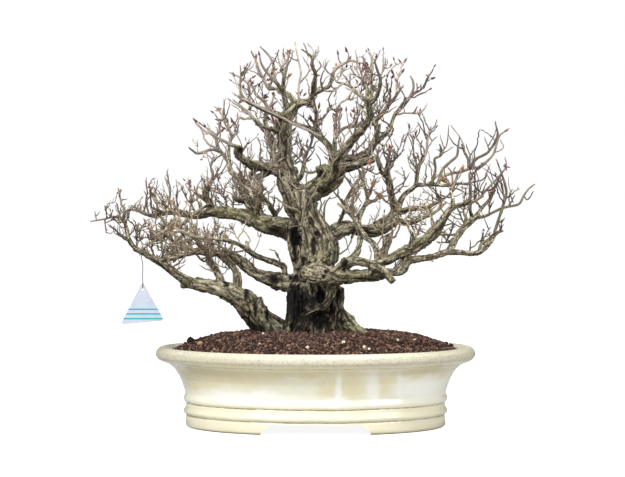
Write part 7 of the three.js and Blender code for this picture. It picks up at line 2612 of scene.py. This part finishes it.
    @staticmethod
    def _zones(
        wiring: Wiring, across: Socket, high: Socket, zones: tuple[Quad, ...]
    ) -> Socket:
        """Lay soft oval patches on the glaze.

        Args:
            wiring: Where the nodes go.
            across: Place to the right of the middle, in metres.
            high: Height in metres.
            zones: For each patch its middle, half width and half height.

        Returns:
            A mask that is one inside the patches.
        """
        masks = []
        for x, z, half_wide, half_high in zones:
            ends = {1: x - half_wide, 2: x + half_wide, 3: -1.0, 4: 1.0}
            aside = wiring.add("MapRange", {0: across, **ends}, clamp=False).outputs[0]
            ends = {1: z - half_high, 2: z + half_high, 3: -1.0, 4: 1.0}
            above = wiring.add("MapRange", {0: high, **ends}, clamp=False).outputs[0]
            parts = wiring.add("CombineXYZ", {0: aside, 1: above}).outputs[0]
            away = wiring.add("VectorMath", {0: parts}, operation="LENGTH").outputs["Value"]
            masks.append(wiring.between(away, 1.45, 0.45))
        return reduce(lambda first, second: wiring.math("MAXIMUM", first, second), masks)


@dataclass(frozen=True)
class ClayGrains(Finish):
    """Baked clay grains: dark red-brown, some dull orange, a few pale ones."""

    name: str = "clay_grains"
    tones: Stops = (
        (0.0, (0.006, 0.004, 0.003)),
        (0.3, (0.024, 0.014, 0.011)),
        (0.6, (0.085, 0.045, 0.032)),
        (0.9, (0.19, 0.105, 0.075)),
        (0.978, (0.27, 0.165, 0.12)),
        (0.987, (0.42, 0.22, 0.1)),
        (0.9935, (0.56, 0.46, 0.36)),
        (1.0, (0.75, 0.7, 0.6)),
    )
    dust: Colour = (0.14, 0.085, 0.065)

    def wire(self, wiring: Wiring, shader: Node) -> None:
        """Wire one colour for each grain with a dusty break-up.

        Args:
            wiring: Where the nodes go.
            shader: The Principled shader.
        """
        dust = wiring.mottle(0.0012, 0.35, 0.7)
        colour = wiring.laid(wiring.ramp(wiring.attribute("tint"), self.tones), dust, self.dust, 0.2)
        relief = wiring.bump(dust, 0.0005, 0.7)
        wiring.join(shader, Base_Color=colour, Roughness=0.92, Normal=relief, Specular_IOR_Level=0.2)


@dataclass(frozen=True)
class ClayBed(Finish):
    """The bed below the grains: dark, damp and crumbly."""

    name: str = "clay_bed"
    tones: Stops = ((0.1, (0.06, 0.034, 0.024)), (0.5, (0.02, 0.011, 0.008)), (0.9, (0.004, 0.003, 0.002)))

    def wire(self, wiring: Wiring, shader: Node) -> None:
        """Wire crumbs of the grains' size.

        Args:
            wiring: Where the nodes go.
            shader: The Principled shader.
        """
        crumbs = wiring.add("TexVoronoi", {"Vector": wiring.place(), "Scale": 330.0}).outputs["Distance"]
        colour, relief = wiring.ramp(crumbs, self.tones), wiring.bump(crumbs, 0.0015)
        wiring.join(shader, Base_Color=colour, Roughness=0.95, Normal=relief, Specular_IOR_Level=0.2)


@dataclass(frozen=True)
class TagFilm(Finish):
    """Clear milky plastic with ruled turquoise lines to write on."""

    name: str = "tag_film"
    milk: Colour = (0.47, 0.475, 0.61)
    clear: Colour = (0.5, 0.55, 0.62)
    ink: Colour = (0.01, 0.33, 0.4)
    line_tops: tuple[float, float, float] = (0.178, 0.171, 0.164)
    line_thick: float = 0.0022

    def wire(self, wiring: Wiring, shader: Node) -> None:
        """Wire the ruled lines on the milky film.

        Args:
            wiring: Where the nodes go.
            shader: The Principled shader.
        """
        high = wiring.coordinate(2)
        lines = []
        for top in self.line_tops:
            below = wiring.math("LESS_THAN", high, top)
            above = wiring.math("GREATER_THAN", high, top - self.line_thick)
            lines.append(wiring.times(below, above))
        cloudy = wiring.mottle(0.02, 0.3, 0.7)
        film = wiring.laid(self.milk, cloudy, self.clear)
        colour = wiring.laid(film, reduce(wiring.plus, lines), self.ink)
        relief = wiring.bump(cloudy, 0.0008, 0.4)
        wiring.join(shader, Base_Color=colour, Roughness=0.22, Alpha=0.93, Coat_Weight=0.3, Normal=relief)


@dataclass(frozen=True)
class Cotton(Finish):
    """Grey twisted thread."""

    name: str = "cotton"
    tones: Stops = ((0.2, (0.07, 0.07, 0.08)), (0.8, (0.2, 0.2, 0.2)))

    def wire(self, wiring: Wiring, shader: Node) -> None:
        """Wire the twist of its strands.

        Args:
            wiring: Where the nodes go.
            shader: The Principled shader.
        """
        inputs = {"Vector": wiring.grain(), "Scale": 0.9, "Distortion": 1.5}
        twist = wiring.add("TexWave", inputs, bands_direction="DIAGONAL").outputs["Fac"]
        colour, relief = wiring.ramp(twist, self.tones), wiring.bump(twist, 0.0002, 0.8)
        wiring.join(shader, Base_Color=colour, Roughness=0.9, Normal=relief)


@dataclass(frozen=True)
class BlackNet(Finish):
    """Dull black plastic net."""

    name: str = "black_net"
    black: Colour = (0.014, 0.016, 0.015)
    dust: Colour = (0.07, 0.055, 0.045)

    def wire(self, wiring: Wiring, shader: Node) -> None:
        """Wire a dusty black.

        Args:
            wiring: Where the nodes go.
            shader: The Principled shader.
        """
        dust = wiring.mottle(0.004, 0.4, 0.7)
        colour, relief = wiring.laid(self.black, dust, self.dust, 0.3), wiring.bump(dust, 0.0003, 0.5)
        wiring.join(shader, Base_Color=colour, Roughness=0.6, Normal=relief)


@dataclass(frozen=True)
class DullWire(Finish):
    """Dull drawn aluminium wire."""

    name: str = "dull_wire"
    bright: Colour = (0.5, 0.5, 0.51)
    dull: Colour = (0.33, 0.33, 0.34)

    def wire(self, wiring: Wiring, shader: Node) -> None:
        """Wire oxide patches on the metal.

        Args:
            wiring: Where the nodes go.
            shader: The Principled shader.
        """
        oxide = wiring.mottle(0.003, 0.35, 0.7)
        colour, relief = wiring.laid(self.bright, oxide, self.dull), wiring.bump(oxide, 0.0002, 0.5)
        rough = wiring.eased(oxide, 0.35, 0.6)
        wiring.join(shader, Base_Color=colour, Roughness=rough, Metallic=0.9, Normal=relief)


@dataclass(frozen=True)
class PaleFloor(Finish):
    """Plain pale paper for the floor."""

    name: str = "pale_floor"
    shade: Colour = (0.4, 0.4, 0.4)
    white: Colour = (1.0, 1.0, 1.0)
    glow: float = 0.92

    def wire(self, wiring: Wiring, shader: Node) -> None:
        """Wire a paper that looks white but throws little light back up.

        Args:
            wiring: Where the nodes go.
            shader: The Principled shader.
        """
        seen = wiring.add("LightPath").outputs["Is Camera Ray"]
        glow = wiring.times(seen, self.glow)
        wiring.join(shader, Base_Color=self.shade, Roughness=0.9, Specular_IOR_Level=0.1)
        wiring.join(shader, Emission_Color=self.white, Emission_Strength=glow)


@dataclass
class Studio:
    """Camera, pale floor and soft light."""

    camera_x: float = -0.0045
    camera_distance: float = 3.3
    camera_height: float = 0.35
    tilt_deg: float = 1.19
    lens: float = 126.72
    floor_size: float = 12.0
    sky: float = 0.24
    looked_at: tuple[float, float, float] = (0.0, 0.0, 0.28)

    def build(self, floor: Material) -> None:
        """Set up the camera, the floor and the lights.

        Args:
            floor: Material of the floor.
        """
        self._camera()
        self._floor(floor)
        self._sky()
        self._lamp("key", (-1.7, -2.1, 2.1), (0.9, 0.9), 90)
        self._lamp("front", (0.0, -2.9, 1.5), (2.6, 0.7), 40)
        self._lamp("fill", (2.1, -1.6, 1.3), (1.2, 1.2), 30)
        self._lamp("top", (0.3, 0.1, 2.3), (0.9, 0.9), 54)

    def _camera(self) -> None:
        """Stand the camera where the photographer stood."""
        data = bpy.data.cameras.new("camera")
        data.lens = self.lens
        data.sensor_width = 36
        data.clip_end = 50
        camera = bpy.data.objects.new("camera", data)
        camera.location = (self.camera_x, -self.camera_distance, self.camera_height)
        camera.rotation_euler = (math.radians(90 - self.tilt_deg), 0, 0)
        bpy.context.collection.objects.link(camera)
        bpy.context.scene.camera = camera

    def _floor(self, material: Material) -> None:
        """Lay the floor under the pot's feet.

        Args:
            material: Material of the floor.
        """
        bm = bmesh.new()
        bmesh.ops.create_grid(bm, x_segments=2, y_segments=2, size=self.floor_size)
        floor = to_object(bm, "floor")
        floor.data.materials.append(material)

    def _sky(self) -> None:
        """Light the scene from all round with plain white that looks brighter than it shines."""
        world = bpy.data.worlds.new("sky")
        world.use_nodes = True
        back = world.node_tree.nodes["Background"]
        back.inputs[0].default_value = (1, 1, 1, 1)
        wiring = Wiring(world.node_tree)
        seen = wiring.add("LightPath").outputs["Is Camera Ray"]
        strength = wiring.plus(wiring.times(seen, 1 - self.sky), self.sky)
        world.node_tree.links.new(strength, back.inputs[1])
        bpy.context.scene.world = world

    def _lamp(self, name: str, place: tuple[float, float, float], size: Pair, power: float) -> None:
        """Hang one soft lamp, so wide and so high in metres, that looks at the tree.

        Args:
            name: Name of the lamp.
            place: Where it hangs, in metres.
            size: Width and height in metres.
            power: Power in watts.
        """
        data = bpy.data.lights.new(name, "AREA")
        data.shape = "RECTANGLE"
        data.size, data.size_y = size
        data.energy = power
        lamp = bpy.data.objects.new(name, data)
        lamp.location = place
        way = Vector(self.looked_at) - Vector(place)
        lamp.rotation_euler = way.to_track_quat("-Z", "Y").to_euler()
        bpy.context.collection.objects.link(lamp)


def main() -> None:
    """Build the bonsai piece by piece."""
    logging.basicConfig(level=logging.INFO, format="%(message)s")
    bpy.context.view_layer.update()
    bpy.context.scene.view_settings.view_transform = "Standard"
    patterns = Patterns()
    Studio().build(PaleFloor().material(patterns))
    skeleton = Skeleton()
    PlantTag(skeleton).build(TagFilm().material(patterns), Cotton().material(patterns))
    Pot().build(IvoryGlaze().material(patterns))
    DrainNets().build(BlackNet().material(patterns), DullWire().material(patterns))
    Soil().build(ClayBed().material(patterns), ClayGrains().material(patterns))
    wood = Wood(skeleton)
    wood.build(OldBark().material(patterns))
    Twigs(skeleton, wood).build(YoungBark().material(patterns), BudScales().material(patterns))


if __name__ == "__main__":
    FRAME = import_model()
    main()
